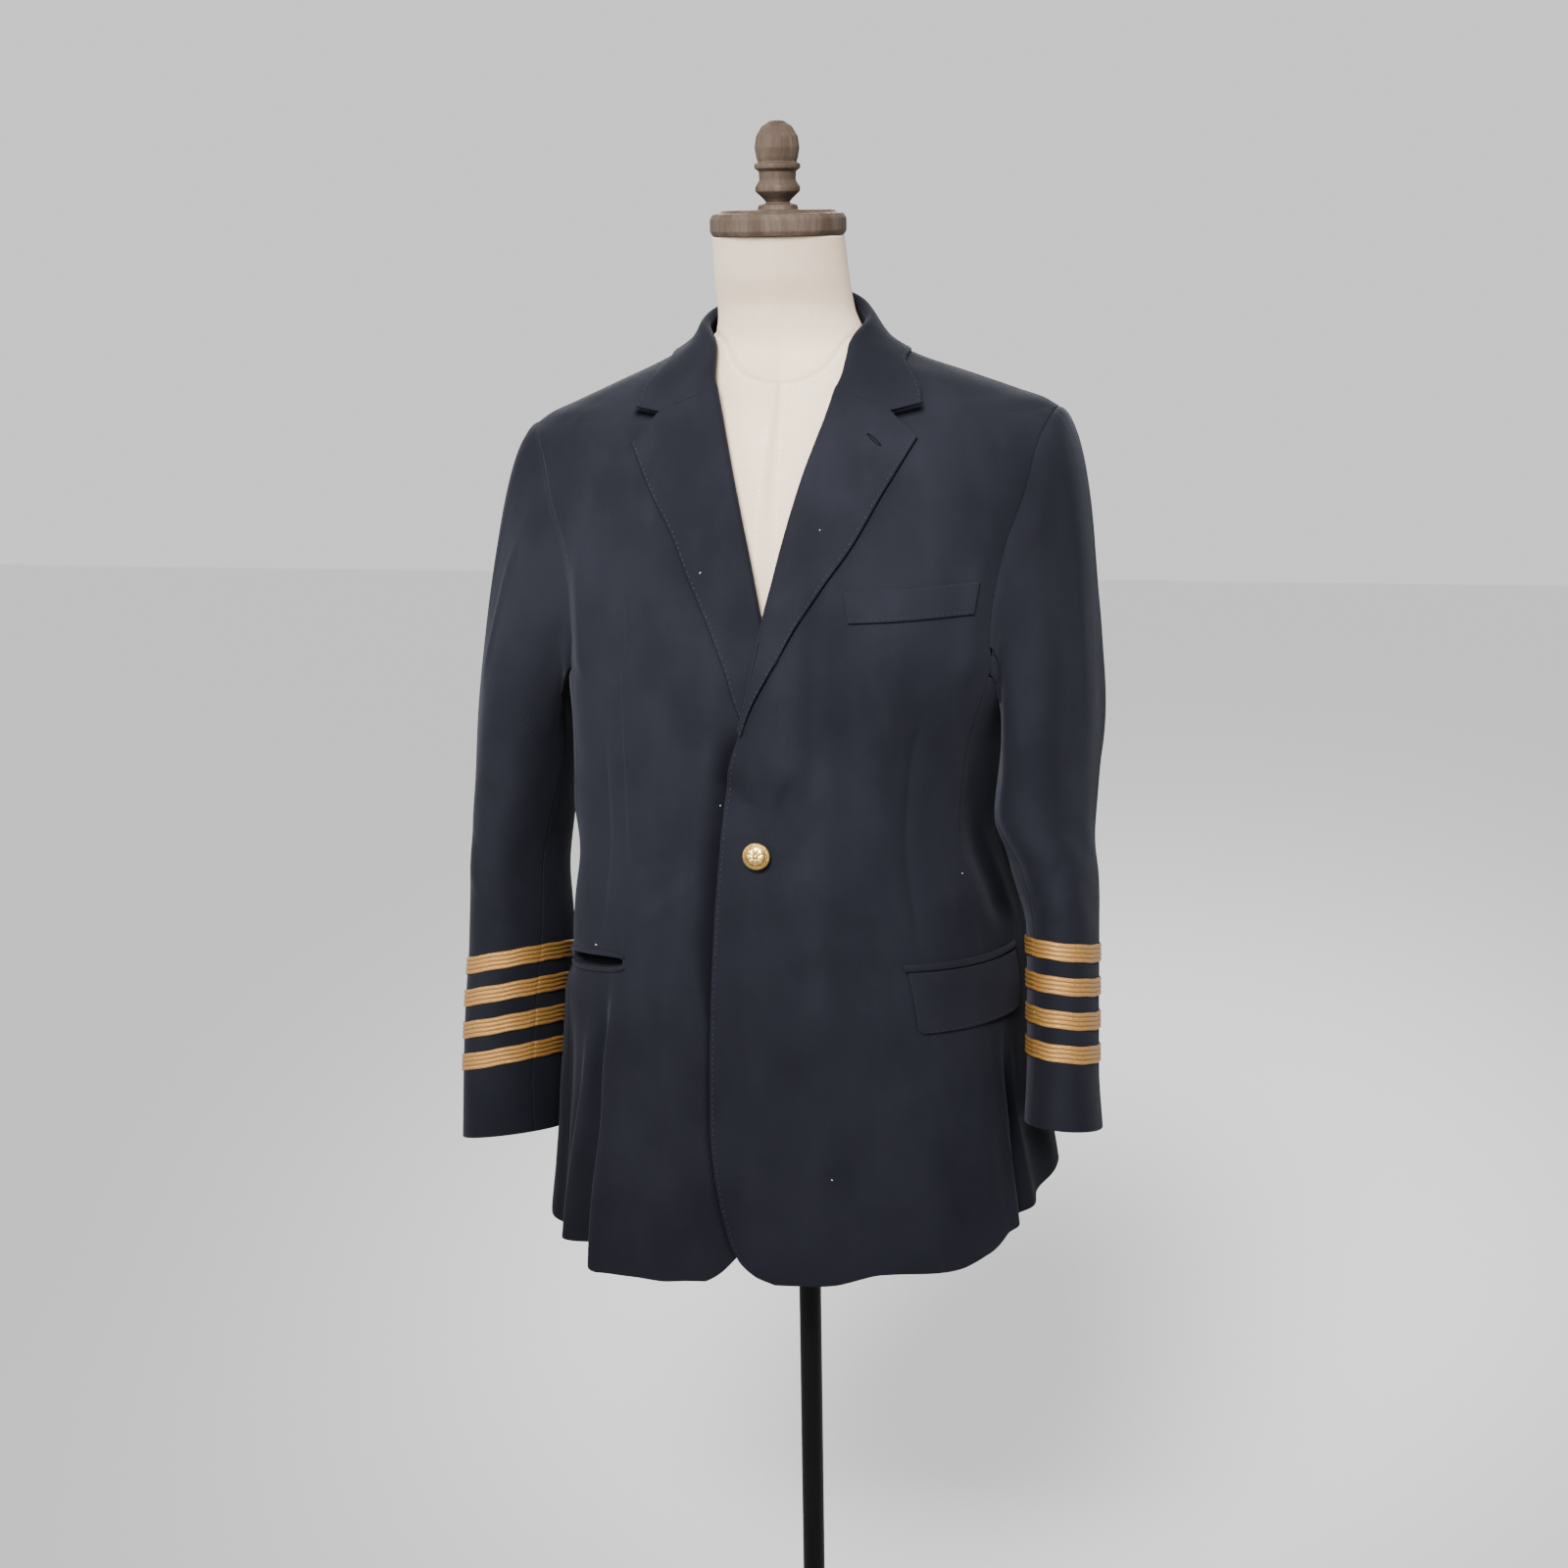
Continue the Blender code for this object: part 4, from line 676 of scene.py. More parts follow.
@dataclass(frozen=True)
class Finish:
    """What every finish has: a name, the record's slot, colour, roughness and metal."""

    name: str
    slot: str
    colour: tuple[float, float, float]
    roughness: float
    metallic: float = 0.0

    def start(self) -> tuple[bpy.types.Material, Graph, bpy.types.Node]:
        """Return a new material, its graph and its Principled shader."""
        made = bpy.data.materials.new(self.name)
        made.use_nodes = True
        graph = Graph(made.node_tree)
        shader = made.node_tree.nodes["Principled BSDF"]
        shader.inputs["Base Color"].default_value = (*self.colour, 1.0)
        shader.inputs["Roughness"].default_value = self.roughness
        shader.inputs["Metallic"].default_value = self.metallic
        return made, graph, shader

    def material(self) -> bpy.types.Material:
        """Return the finish's material, made on first use."""
        found = bpy.data.materials.get(self.name)
        return found or self.make()

    def make(self) -> bpy.types.Material:
        """Make the material."""
        return self.start()[0]

    def group(self, graph: Graph, name: str, where: object, **values: float) -> bpy.types.Node:
        """Place a shared node group in the material with its own values."""
        inputs, outputs, build = GROUPS[name]
        node = graph.add("ShaderNodeGroup", node_tree=shader_group(name, inputs, outputs, build))
        graph.feed(node.inputs["Where"], where)
        for key, value in values.items():
            node.inputs[key.replace("_", " ").title()].default_value = value
        return node

    def bump(
        self, graph: Graph, height: object, distance: float, strength: float, under: object = None
    ) -> bpy.types.NodeSocket:
        """Return a normal raised by a height, over another normal if one is given."""
        node = graph.add("ShaderNodeBump")
        node.inputs["Distance"].default_value = distance
        node.inputs["Strength"].default_value = strength
        graph.feed(node.inputs["Height"], height)
        if under is not None:
            graph.feed(node.inputs["Normal"], under)
        return node.outputs[0]


@dataclass(frozen=True)
class Wool(Finish):
    """Worsted wool: twill on the cloth's own UV, cloudy wear, a pressed shine and dust."""

    worn: tuple[float, float, float] = (0.0122, 0.0125, 0.0180)
    # The colour of the painted shade that the attribute depth mixes in.
    deep: tuple[float, float, float] = (0.0008, 0.0008, 0.0012)
    sheen: float = 0.05
    pitch: float = 0.0011

    def make(self) -> bpy.types.Material:
        """Make the wool; the attribute depth is painted shade: it darkens the colour towards the deep colour and dims
        the sheen and shine.
        """
        made, graph, shader = self.start()
        space = graph.add("ShaderNodeTexCoord")
        twill = self.group(graph, "wool twill", space.outputs["UV"], pitch=self.pitch)
        wear = self.group(graph, "wear and dust", space.outputs["Object"])
        depth = graph.add("ShaderNodeAttribute", attribute_name="depth")
        cloudy = graph.mix(graph.math("MULTIPLY", wear.outputs["Cloud"], 0.36), (*self.colour, 1.0), (*self.worn, 1.0))
        rub_wear_and_shade = graph.mix(graph.math("MULTIPLY", wear.outputs["Rub"], 0.16), cloudy, (*self.worn, 1.0))
        flecked = graph.mix(graph.math("MULTIPLY", twill.outputs["Fleck"], 0.22), rub_wear_and_shade, (*self.worn, 1.0))
        dusty = graph.mix(graph.math("MULTIPLY", wear.outputs["Dust"], 0.35), flecked, (0.16, 0.16, 0.17, 1.0))
        # Painted shade: depth darkens the colour towards deep, and below it dims the sheen and the shine.
        colour = graph.mix(depth.outputs["Fac"], dusty, (*self.deep, 1.0))
        graph.feed(shader.inputs["Base Color"], colour)
        rough = graph.math("ADD", graph.math("MULTIPLY", wear.outputs["Rub"], -0.07), self.roughness)
        graph.feed(shader.inputs["Roughness"], rough)
        shown = graph.math("SUBTRACT", 1.0, depth.outputs["Fac"])
        graph.feed(shader.inputs["Sheen Weight"], graph.math("MULTIPLY", shown, self.sheen))
        graph.feed(shader.inputs["Specular IOR Level"], graph.math("MULTIPLY", shown, 0.07))
        shader.inputs["Sheen Roughness"].default_value = 0.40
        shader.inputs["Sheen Tint"].default_value = (0.60, 0.62, 0.78, 1.0)
        normal = self.bump(graph, twill.outputs["Height"], 0.00016, 0.55)
        graph.feed(shader.inputs["Normal"], normal)
        return made


@dataclass(frozen=True)
class Lace(Finish):
    """Gilt wire lace: wound cords with light strands, a painted highlight on the crests of their turns and painted
    shade in the gaps between the cords.
    """

    # Colour of the light strands and of the painted highlight on the turns' crests.
    light: tuple[float, float, float] = (0.43, 0.228, 0.060)
    # Colour of the painted shade in the gaps between the cords.
    gap: tuple[float, float, float] = (0.16, 0.085, 0.020)

    def make(self) -> bpy.types.Material:
        """Make the lace; the attribute depth is painted shade, 1 in the gaps between cords."""
        made, graph, shader = self.start()
        space = graph.add("ShaderNodeTexCoord")
        wound = self.group(graph, "wound thread", space.outputs["UV"], pitch=0.0012)
        depth = graph.add("ShaderNodeAttribute", attribute_name="depth")
        strands = graph.mix(wound.outputs["Glint"], (*self.colour, 1.0), (*self.light, 1.0))
        # Painted highlight: the crests of the wound turns are lighter.
        turned = graph.mix(graph.math("MULTIPLY", wound.outputs["Turn"], 0.35), strands, (*self.light, 1.0))
        graph.feed(shader.inputs["Base Color"], graph.mix(depth.outputs["Fac"], turned, (*self.gap, 1.0)))
        rough = graph.math("ADD", graph.math("MULTIPLY", wound.outputs["Glint"], -0.14), self.roughness)
        graph.feed(shader.inputs["Roughness"], rough)
        graph.feed(shader.inputs["Normal"], self.bump(graph, wound.outputs["Height"], 0.00025, 0.8))
        return made


@dataclass(frozen=True)
class Gilt(Finish):
    """Gilt brass with tarnish in its hollows."""

    tarnish: tuple[float, float, float] = (0.17, 0.09, 0.022)

    def make(self) -> bpy.types.Material:
        """Make the brass; the attribute depth is 1 in the hollows of the relief."""
        made, graph, shader = self.start()
        space = graph.add("ShaderNodeTexCoord")
        depth = graph.add("ShaderNodeAttribute", attribute_name="depth")
        cloud = graph.ramp(graph.noise(space.outputs["Object"], 700.0, 3.0), 0.35, 0.75)
        share = graph.math("MULTIPLY", cloud, 0.25)
        worn = graph.mix(share, (*self.colour, 1.0), (*self.tarnish, 1.0))
        dark = graph.math("MULTIPLY", depth.outputs["Fac"], 0.85)
        graph.feed(shader.inputs["Base Color"], graph.mix(dark, worn, (*self.tarnish, 1.0)))
        rough = graph.math("ADD", graph.math("MULTIPLY", cloud, 0.16), self.roughness)
        graph.feed(shader.inputs["Roughness"], rough)
        graph.feed(shader.inputs["Normal"], self.bump(graph, cloud, 0.00008, 0.4))
        return made


@dataclass(frozen=True)
class Linen(Finish):
    """Undyed linen with slubs, soft yellowing and dust in its seams."""

    slub: tuple[float, float, float] = (0.62, 0.50, 0.38)
    aged: tuple[float, float, float] = (0.40, 0.29, 0.20)

    def make(self) -> bpy.types.Material:
        """Make the linen; the attribute depth darkens the seams."""
        made, graph, shader = self.start()
        space = graph.add("ShaderNodeTexCoord")
        weave = self.group(graph, "linen weave", space.outputs["UV"])
        wear = self.group(graph, "wear and dust", space.outputs["Object"])
        depth = graph.add("ShaderNodeAttribute", attribute_name="depth")
        slubs = graph.mix(graph.math("MULTIPLY", weave.outputs["Slub"], 0.5), (*self.colour, 1.0), (*self.slub, 1.0))
        aged = graph.mix(graph.math("MULTIPLY", wear.outputs["Cloud"], 0.14), slubs, (*self.aged, 1.0))
        seams = graph.math("MULTIPLY", depth.outputs["Fac"], 0.65)
        graph.feed(shader.inputs["Base Color"], graph.mix(seams, aged, (*self.aged, 1.0)))
        shader.inputs["Sheen Weight"].default_value = 0.05
        shader.inputs["Specular IOR Level"].default_value = 0.2
        graph.feed(shader.inputs["Normal"], self.bump(graph, weave.outputs["Height"], 0.00020, 0.55))
        return made


@dataclass(frozen=True)
class TurnedWood(Finish):
    """Turned wood with a worn grey-brown wash over darker fibres."""

    dark: tuple[float, float, float] = (0.040, 0.026, 0.016)
    pale: tuple[float, float, float] = (0.064, 0.0465, 0.035)

    def make(self) -> bpy.types.Material:
        """Make the wood; the attribute depth darkens its grooves."""
        made, graph, shader = self.start()
        space = graph.add("ShaderNodeTexCoord")
        grain = self.group(graph, "wood grain", space.outputs["Object"])
        depth = graph.add("ShaderNodeAttribute", attribute_name="depth")
        banded = graph.mix(grain.outputs["Band"], (*self.colour, 1.0), (*self.pale, 1.0))
        fibres = graph.mix(graph.math("MULTIPLY", grain.outputs["Fibre"], 0.6), banded, (*self.dark, 1.0))
        grooves = graph.math("MULTIPLY", depth.outputs["Fac"], 0.8)
        graph.feed(shader.inputs["Base Color"], graph.mix(grooves, fibres, (*self.dark, 1.0)))
        rough = graph.math("ADD", graph.math("MULTIPLY", grain.outputs["Fibre"], 0.18), self.roughness)
        graph.feed(shader.inputs["Roughness"], rough)
        shader.inputs["Specular IOR Level"].default_value = 0.15
        graph.feed(shader.inputs["Normal"], self.bump(graph, grain.outputs["Fibre"], -0.0003, 0.6))
        return made


@dataclass(frozen=True)
class BlackPaint(Finish):
    """Black powder paint on steel, with a fine orange peel and handling marks."""

    def make(self) -> bpy.types.Material:
        """Make the paint."""
        made, graph, shader = self.start()
        space = graph.add("ShaderNodeTexCoord")
        peel = graph.noise(space.outputs["Object"], 900.0, 2.0)
        marks = graph.ramp(graph.noise(graph.stretch(space.outputs["Object"], (1.0, 1.0, 0.2)), 40.0, 4.0), 0.45, 0.8)
        graph.feed(shader.inputs["Roughness"], graph.math("ADD", graph.math("MULTIPLY", marks, 0.15), self.roughness))
        lighter = tuple(value * 2.2 for value in self.colour)
        colour = graph.mix(graph.math("MULTIPLY", marks, 0.5), (*self.colour, 1.0), (*lighter, 1.0))
        graph.feed(shader.inputs["Base Color"], colour)
        shader.inputs["Specular IOR Level"].default_value = 0.10
        graph.feed(shader.inputs["Normal"], self.bump(graph, peel, 0.0001, 0.35))
        return made


NAVY = Wool("navy wool", "navy_wool", (0.0042, 0.0043, 0.0068), 0.86)
NAVY_THREAD = Wool("navy silk thread", "navy_wool", (0.014, 0.015, 0.022), 0.55, sheen=0.12, pitch=0.0007)
LINT = Linen("pale lint", "cream_linen", (0.55, 0.55, 0.56), 0.9)
GOLD_LACE = Lace("gold lace", "gold_braid", (0.250, 0.116, 0.025), 0.50, 0.45)
GILT = Gilt("gilt brass", "gilt_brass", (0.70, 0.47, 0.15), 0.26, 1.0)
LINEN = Linen("cream linen", "cream_linen", (0.52, 0.410, 0.300), 0.90)
LINEN_THREAD = Linen("linen thread", "cream_linen", (0.88, 0.83, 0.74), 0.8)
WOOD = TurnedWood("grey brown wood", "grey_brown_wood", (0.036, 0.0232, 0.0162), 0.60)
PAINT = BlackPaint("black paint", "black_metal", (0.0018, 0.0018, 0.0020), 0.48)


@dataclass
class Grid:
    """A grid of points with what the mesh needs to know about it."""

    points: Array
    outward: Array
    ring: bool = False
    depth: Array | None = None

    def oriented(self) -> Array:
        """Return the grid's normals, turned to the outward side."""
        normals = grid_normals(self.points, self.ring)
        middle = (self.points.shape[0] // 2, self.points.shape[1] // 2)
        outward = np.broadcast_to(self.outward, self.points.shape)
        return normals * (1.0 if np.dot(normals[middle], outward[middle]) > 0 else -1.0)

    def border_distance(self) -> Array:
        """Return each point's distance from the nearest free border, along its row or column."""
        up = lengths_along(self.points, 0)
        near = np.minimum(up, up[-1:] - up)
        if not self.ring:
            across = lengths_along(self.points, 1)
            near = np.minimum(near, np.minimum(across, across[:, -1:] - across))
        return near

    def flat_size(self) -> tuple[float, float, float]:
        """Return the cloth's widest width, longest length and area, in metres."""
        points = np.concatenate([self.points, self.points[:, :1]], axis=1) if self.ring else self.points
        across = lengths_along(points, 1)[:, -1].max()
        up = lengths_along(points, 0)[-1].max()
        one = points[1:, :-1] - points[:-1, :-1]
        two = points[:-1, 1:] - points[:-1, :-1]
        three = points[:-1, 1:] - points[1:, 1:]
        four = points[1:, :-1] - points[1:, 1:]
        first = np.linalg.norm(np.cross(one, two), axis=-1).sum()
        second = np.linalg.norm(np.cross(three, four), axis=-1).sum()
        return float(across), float(up), float(0.5 * (first + second))


def make_mesh(
    name: str,
    points: Array,
    faces: Sequence[Array],
    finish: Finish,
    uv: Sequence[Array] | None = None,
    depth: Array | None = None,
) -> bpy.types.Object:
    """Make one mesh object at the origin from whole arrays.

    Args:
        name: The piece's name.
        points: Vertex positions.
        faces: Arrays of faces, each with its own number of corners.
        finish: The finish that the piece takes.
        uv: For each array of faces, its corners' places in metres, or None for x and height.
        depth: How far each vertex is darkened, from 0 to 1, or None: painted shade on the wool and the lace, tarnish
            on the brass, darker grooves and seams on the wood and the linen.

    Returns:
        The object, linked to the scene and shaded smooth.
    """
    points = points.reshape(-1, 3)
    mesh = bpy.data.meshes.new(name)
    mesh.from_pydata(points.tolist(), [], [face for part in faces for face in part.tolist()])
    mesh.update()
    if uv is None:
        uv = [points[part][..., [0, 2]] for part in faces]
    corners = np.concatenate([part.reshape(-1, 2) for part in uv])
    mesh.uv_layers.new(name="cloth").data.foreach_set("uv", corners.astype(np.float32).ravel())
    values = np.zeros(len(points)) if depth is None else depth.reshape(-1)
    shade = mesh.attributes.new("depth", "FLOAT", "POINT")
    shade.data.foreach_set("value", values.astype(np.float32))
    mesh.shade_smooth()
    mesh.materials.append(finish.material())
    item = bpy.data.objects.new(name, mesh)
    bpy.context.scene.collection.objects.link(item)
    return item


def corners_of(grid: Array) -> Array:
    """Return a grid's four corners for each face: of vertex numbers, or of places in metres."""
    around = [grid[:-1, :-1], grid[:-1, 1:], grid[1:, 1:], grid[1:, :-1]]
    stacked = np.stack(around, axis=2)
    return stacked.reshape(-1, 4, *grid.shape[2:])


def close_ring(grid: Array) -> Array:
    """Repeat a grid's first column at its end."""
    return np.concatenate([grid, grid[:, :1]], axis=1)


def cloth_shell(
    name: str, grid: Grid, finish: Finish, wall: float = WALL, rim: float = 0.0009
) -> bpy.types.Object:
    """Make a closed shell of cloth whose free edges round off.

    Each side is the grid moved along its normals by half the wall times sqrt(1 - (1 - d/rim)^2), for
    the distance d from the border, so that both sides meet there in one line.

    Args:
        name: The piece's name.
        grid: The middle surface.
        finish: The cloth.
        wall: The cloth's thickness.
        rim: How wide the rounding is.

    Returns:
        The object.
    """
    normals = grid.oriented()
    rows, columns = grid.points.shape[:2]
    near = np.clip(grid.border_distance() / rim, 0.0, 1.0)
    half = (0.5 * wall * np.sqrt(1 - (1 - near) ** 2))[..., None]
    border = np.zeros((rows, columns), dtype=bool)
    border[[0, -1]] = True
    if not grid.ring:
        border[:, [0, -1]] = True
    outer = np.arange(rows * columns).reshape(rows, columns)
    inner = outer.copy()
    inner[~border] = rows * columns + np.arange(int((~border).sum()))
    points = np.concatenate([(grid.points + normals * half).reshape(-1, 3), (grid.points - normals * half)[~border]])
    laid = grid.points
    if grid.ring:
        outer, inner, laid = close_ring(outer), close_ring(inner), close_ring(laid)
    uv = corners_of(np.stack([lengths_along(laid, 1), lengths_along(laid, 0)], axis=-1))
    own = grid_normals(grid.points, grid.ring)[rows // 2, columns // 2]
    outside, inside = corners_of(outer), corners_of(inner)[:, ::-1]
    uv_parts = [uv, uv[:, ::-1]]
    if np.dot(own, normals[rows // 2, columns // 2]) < 0:
        outside, inside = outside[:, ::-1], inside[:, ::-1]
        uv_parts = [part[:, ::-1] for part in uv_parts]
    depth = np.zeros((rows, columns)) if grid.depth is None else np.broadcast_to(grid.depth, (rows, columns))
    depth = np.concatenate([depth.ravel(), depth[~border]])
    return make_mesh(name, points, [outside, inside], finish, uv_parts, depth)


def stitches(
    name: str, path: Array, normals: Array, finish: Finish, pitch: float, length: float, thick: float
) -> bpy.types.Object:
    """Make a row of short stitches, each a stretched half-sunk bead along the path.

    A bead's points are centre + along * L cos(a) + (across cos(b) + normal sin(b)) * T sin(a).

    Args:
        name: The piece's name.
        path: Points that the row follows.
        normals: The cloth's normals there.
        finish: The thread.
        pitch: Distance from stitch to stitch.
        length: Half a stitch's length.
        thick: Half a stitch's thickness.

    Returns:
        The row as one object.
    """
    gaps = np.linalg.norm(np.diff(path, axis=0), axis=1)
    run = np.concatenate([[0.0], np.cumsum(gaps)])
    at = np.arange(0.6 * pitch, run[-1] - 0.4 * pitch, pitch)
    at = at + 0.12 * pitch * np.sin(np.arange(len(at)) * 2.7)
    centre = np.stack([np.interp(at, run, path[:, k]) for k in range(3)], axis=1)
    ahead = np.stack([np.interp(at + 0.3 * pitch, run, path[:, k]) for k in range(3)], axis=1)
    normal = unit(np.stack([np.interp(at, run, normals[:, k]) for k in range(3)], axis=1))
    along = unit(ahead - centre)
    across = unit(np.cross(normal, along))
    return beads(name, centre, along * length, across * thick, normal * thick, finish)


def beads(
    name: str, centre: Array, along: Array, across: Array, up: Array, finish: Finish
) -> bpy.types.Object:
    """Make small closed eggs, one at each centre, from their three half axes."""
    polar = np.linspace(0.0, math.pi, 6)[1:-1][None, :, None, None]
    around = np.linspace(0.0, math.tau, 7)[:-1][None, None, :, None]
    body = np.cos(around) * across[:, None, None] + np.sin(around) * up[:, None, None]
    points = centre[:, None, None] + along[:, None, None] * np.cos(polar) + body * np.sin(polar)
    count, rings, sides = points.shape[:3]
    tips = np.stack([centre + along, centre - along], axis=1)
    index = np.arange(count * rings * sides).reshape(count, rings, sides)
    index = np.concatenate([index, index[:, :, :1]], axis=2)
    around = [index[:, :-1, :-1], index[:, 1:, :-1], index[:, 1:, 1:], index[:, :-1, 1:]]
    walls = np.stack(around, axis=-1).reshape(-1, 4)
    tip = count * rings * sides + np.arange(2 * count).reshape(count, 2, 1)
    first = np.stack([np.broadcast_to(tip[:, 0], (count, sides)), index[:, 0, :-1], index[:, 0, 1:]], axis=-1)
    last = np.stack([np.broadcast_to(tip[:, 1], (count, sides)), index[:, -1, 1:], index[:, -1, :-1]], axis=-1)
    ends = np.concatenate([first.reshape(-1, 3), last.reshape(-1, 3)])
    points = np.concatenate([points.reshape(-1, 3), tips.reshape(-1, 3)])
    return make_mesh(name, points, [walls, ends], finish)


@dataclass
class Piece:
    """A piece as it goes into the model: what it stands for and how its cloth is held."""

    item: bpy.types.Object
    finish: Finish
    nodes: tuple[str, ...] = ()
    grid: Grid | None = None
    held: Hold = Hold.HUNG
    rests_on: tuple[str, ...] = ("dress_form",)
    on_it: list[bpy.types.Object] = field(default_factory=list)

    def settle(self) -> bpy.types.Object:
        """Ride the piece on the one body, hide what it replaces and log its cloth's size, or its faces when it has no
        grid.
        """
        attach(self.item, "root")
        if self.nodes:
            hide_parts(*self.nodes)
        if self.grid is not None:
            width, length, area = self.grid.flat_size()
            LOG.info("%s: cloth %.3f by %.3f m, %.4f square metres", self.item.name, width, length, area)
        else:
            LOG.info("%s: %d faces", self.item.name, len(self.item.data.polygons))
        return self.item


def trimming(item: bpy.types.Object, finish: Finish) -> bpy.types.Object:
    """Settle a row of sewing or other small trim and return it."""
    return Piece(item, finish).settle()


def border_row(grid: Grid, border: Border, inset: float, lift: float) -> tuple[Array, Array]:
    """Follow a grid's border at a distance inside it.

    Args:
        grid: The cloth's middle surface.
        border: The border that is followed.
        inset: Distance from the border.
        lift: How far outside the middle surface the row lies.

    Returns:
        Points and normals along the border.
    """
    normals = grid.oriented()
    points = grid.points
    if border in (Border.FIRST_ROW, Border.LAST_ROW):
        points, normals = points.swapaxes(0, 1), normals.swapaxes(0, 1)
    if border in (Border.LAST_COLUMN, Border.LAST_ROW):
        points, normals = points[:, ::-1], normals[:, ::-1]
    reach = lengths_along(points, 1)
    column = np.clip((reach < inset).sum(axis=1), 1, points.shape[1] - 1)
    row = np.arange(len(points))
    low, high = reach[row, column - 1], reach[row, column]
    share = ((inset - low) / np.maximum(high - low, 1e-9))[:, None]
    place = points[row, column - 1] * (1 - share) + points[row, column] * share
    normal = unit(normals[row, column - 1] * (1 - share) + normals[row, column] * share)
    return place + normal * lift, normal


def overlap_lift(x: Array, height: Array) -> Array:
    """Return how far the left front stands off: over the right front, and more over its lapel."""
    over_front = ease(x, 0.075, 0.048) * ease(height, 1.345, 1.290)
    over_lapel = ease(x, 0.045, 0.030) * ease(height, 1.300, 1.275) * ease(height, 1.120, 1.150)
    return (LAYER + EASE_OVER_PANEL) * over_front + (1.95 * LAYER) * over_lapel


def row_height(row: Array, angle: Array) -> Array:
    """Return the height of a panel's row, which follows the hem near the bottom edge."""
    hem = read_table(np.degrees(angle), HEM)
    stretch = (HEM_BLEND_TOP - hem) / (HEM_BLEND_TOP - HEM_ROW)
    return np.where(row < HEM_BLEND_TOP, hem + (row - HEM_ROW) * stretch, row)


def panel_rows(split: int, top: float = NECK_ROW, pocket: bool = False) -> Array:
    """Return a panel's rows: each step of ROW_HEIGHTS cut into parts, close at hem, top and pocket."""
    keys = np.array([row for row in ROW_HEIGHTS if row <= top + 1e-6])
    fine = np.interp(np.linspace(0, len(keys) - 1, (len(keys) - 1) * split + 1), np.arange(len(keys)), keys)
    rim = np.array([0.0001, 0.0003, 0.0006, 0.0010])
    close = np.arange(0.9400, 0.9920, 0.0012) if pocket else np.array([])
    fine = fine[(fine < 0.9392) | (fine > 0.9925)] if pocket else fine
    return np.unique(np.concatenate([fine, close, keys[0] + rim, keys[-1] - rim]))


def pocket_mouth(angle: Array, height: Array) -> Array:
    """Return how far inside the open pocket's mouth a point lies, from 0 to 1.

    The mouth lies between its two jets on the wearer's right, slants down towards the side, and closes
    at both ends as (1 - (2s - 1)^4)^(1/2) does over its length.
    """
    share = np.clip((np.degrees(angle) + 30.2) / -28.6, 0.0, 1.0)
    tall = 0.0056 * np.sqrt(np.maximum(1.0 - (2 * share - 1) ** 4, 0.0))
    inside = ease(np.abs(height - mouth_middle(share)), tall + 0.0010, np.maximum(tall - 0.0006, 0.0))
    return inside * ease(tall, 0.0004, 0.0018)


def mouth_middle(share: Array) -> Array:
    """Return the height of the pocket mouth's middle line at a share of its length."""
    return 0.9786 - 0.0119 * share


def notch_shade(x: Array, height: Array, side: Side) -> Array:
    """Return the shade under the collar's end, where the notch opens: a bell across the notch's line."""
    (x0, h0), (x1, h1) = ((0.0935, 1.4272), (0.1180, 1.4310)) if side > 0 else ((-0.1005, 1.4262), (-0.1225, 1.4300))
    run = np.array([x1 - x0, h1 - h0])
    along = ((x - x0) * run[0] + (height - h0) * run[1]) / (run @ run)
    across = ((height - h0) * run[0] - (x - x0) * run[1]) * side / math.hypot(*run)
    return bell(across, 0.0, 0.0030) * ease(along, -0.08, 0.10) * ease(along, 1.12, 0.92)


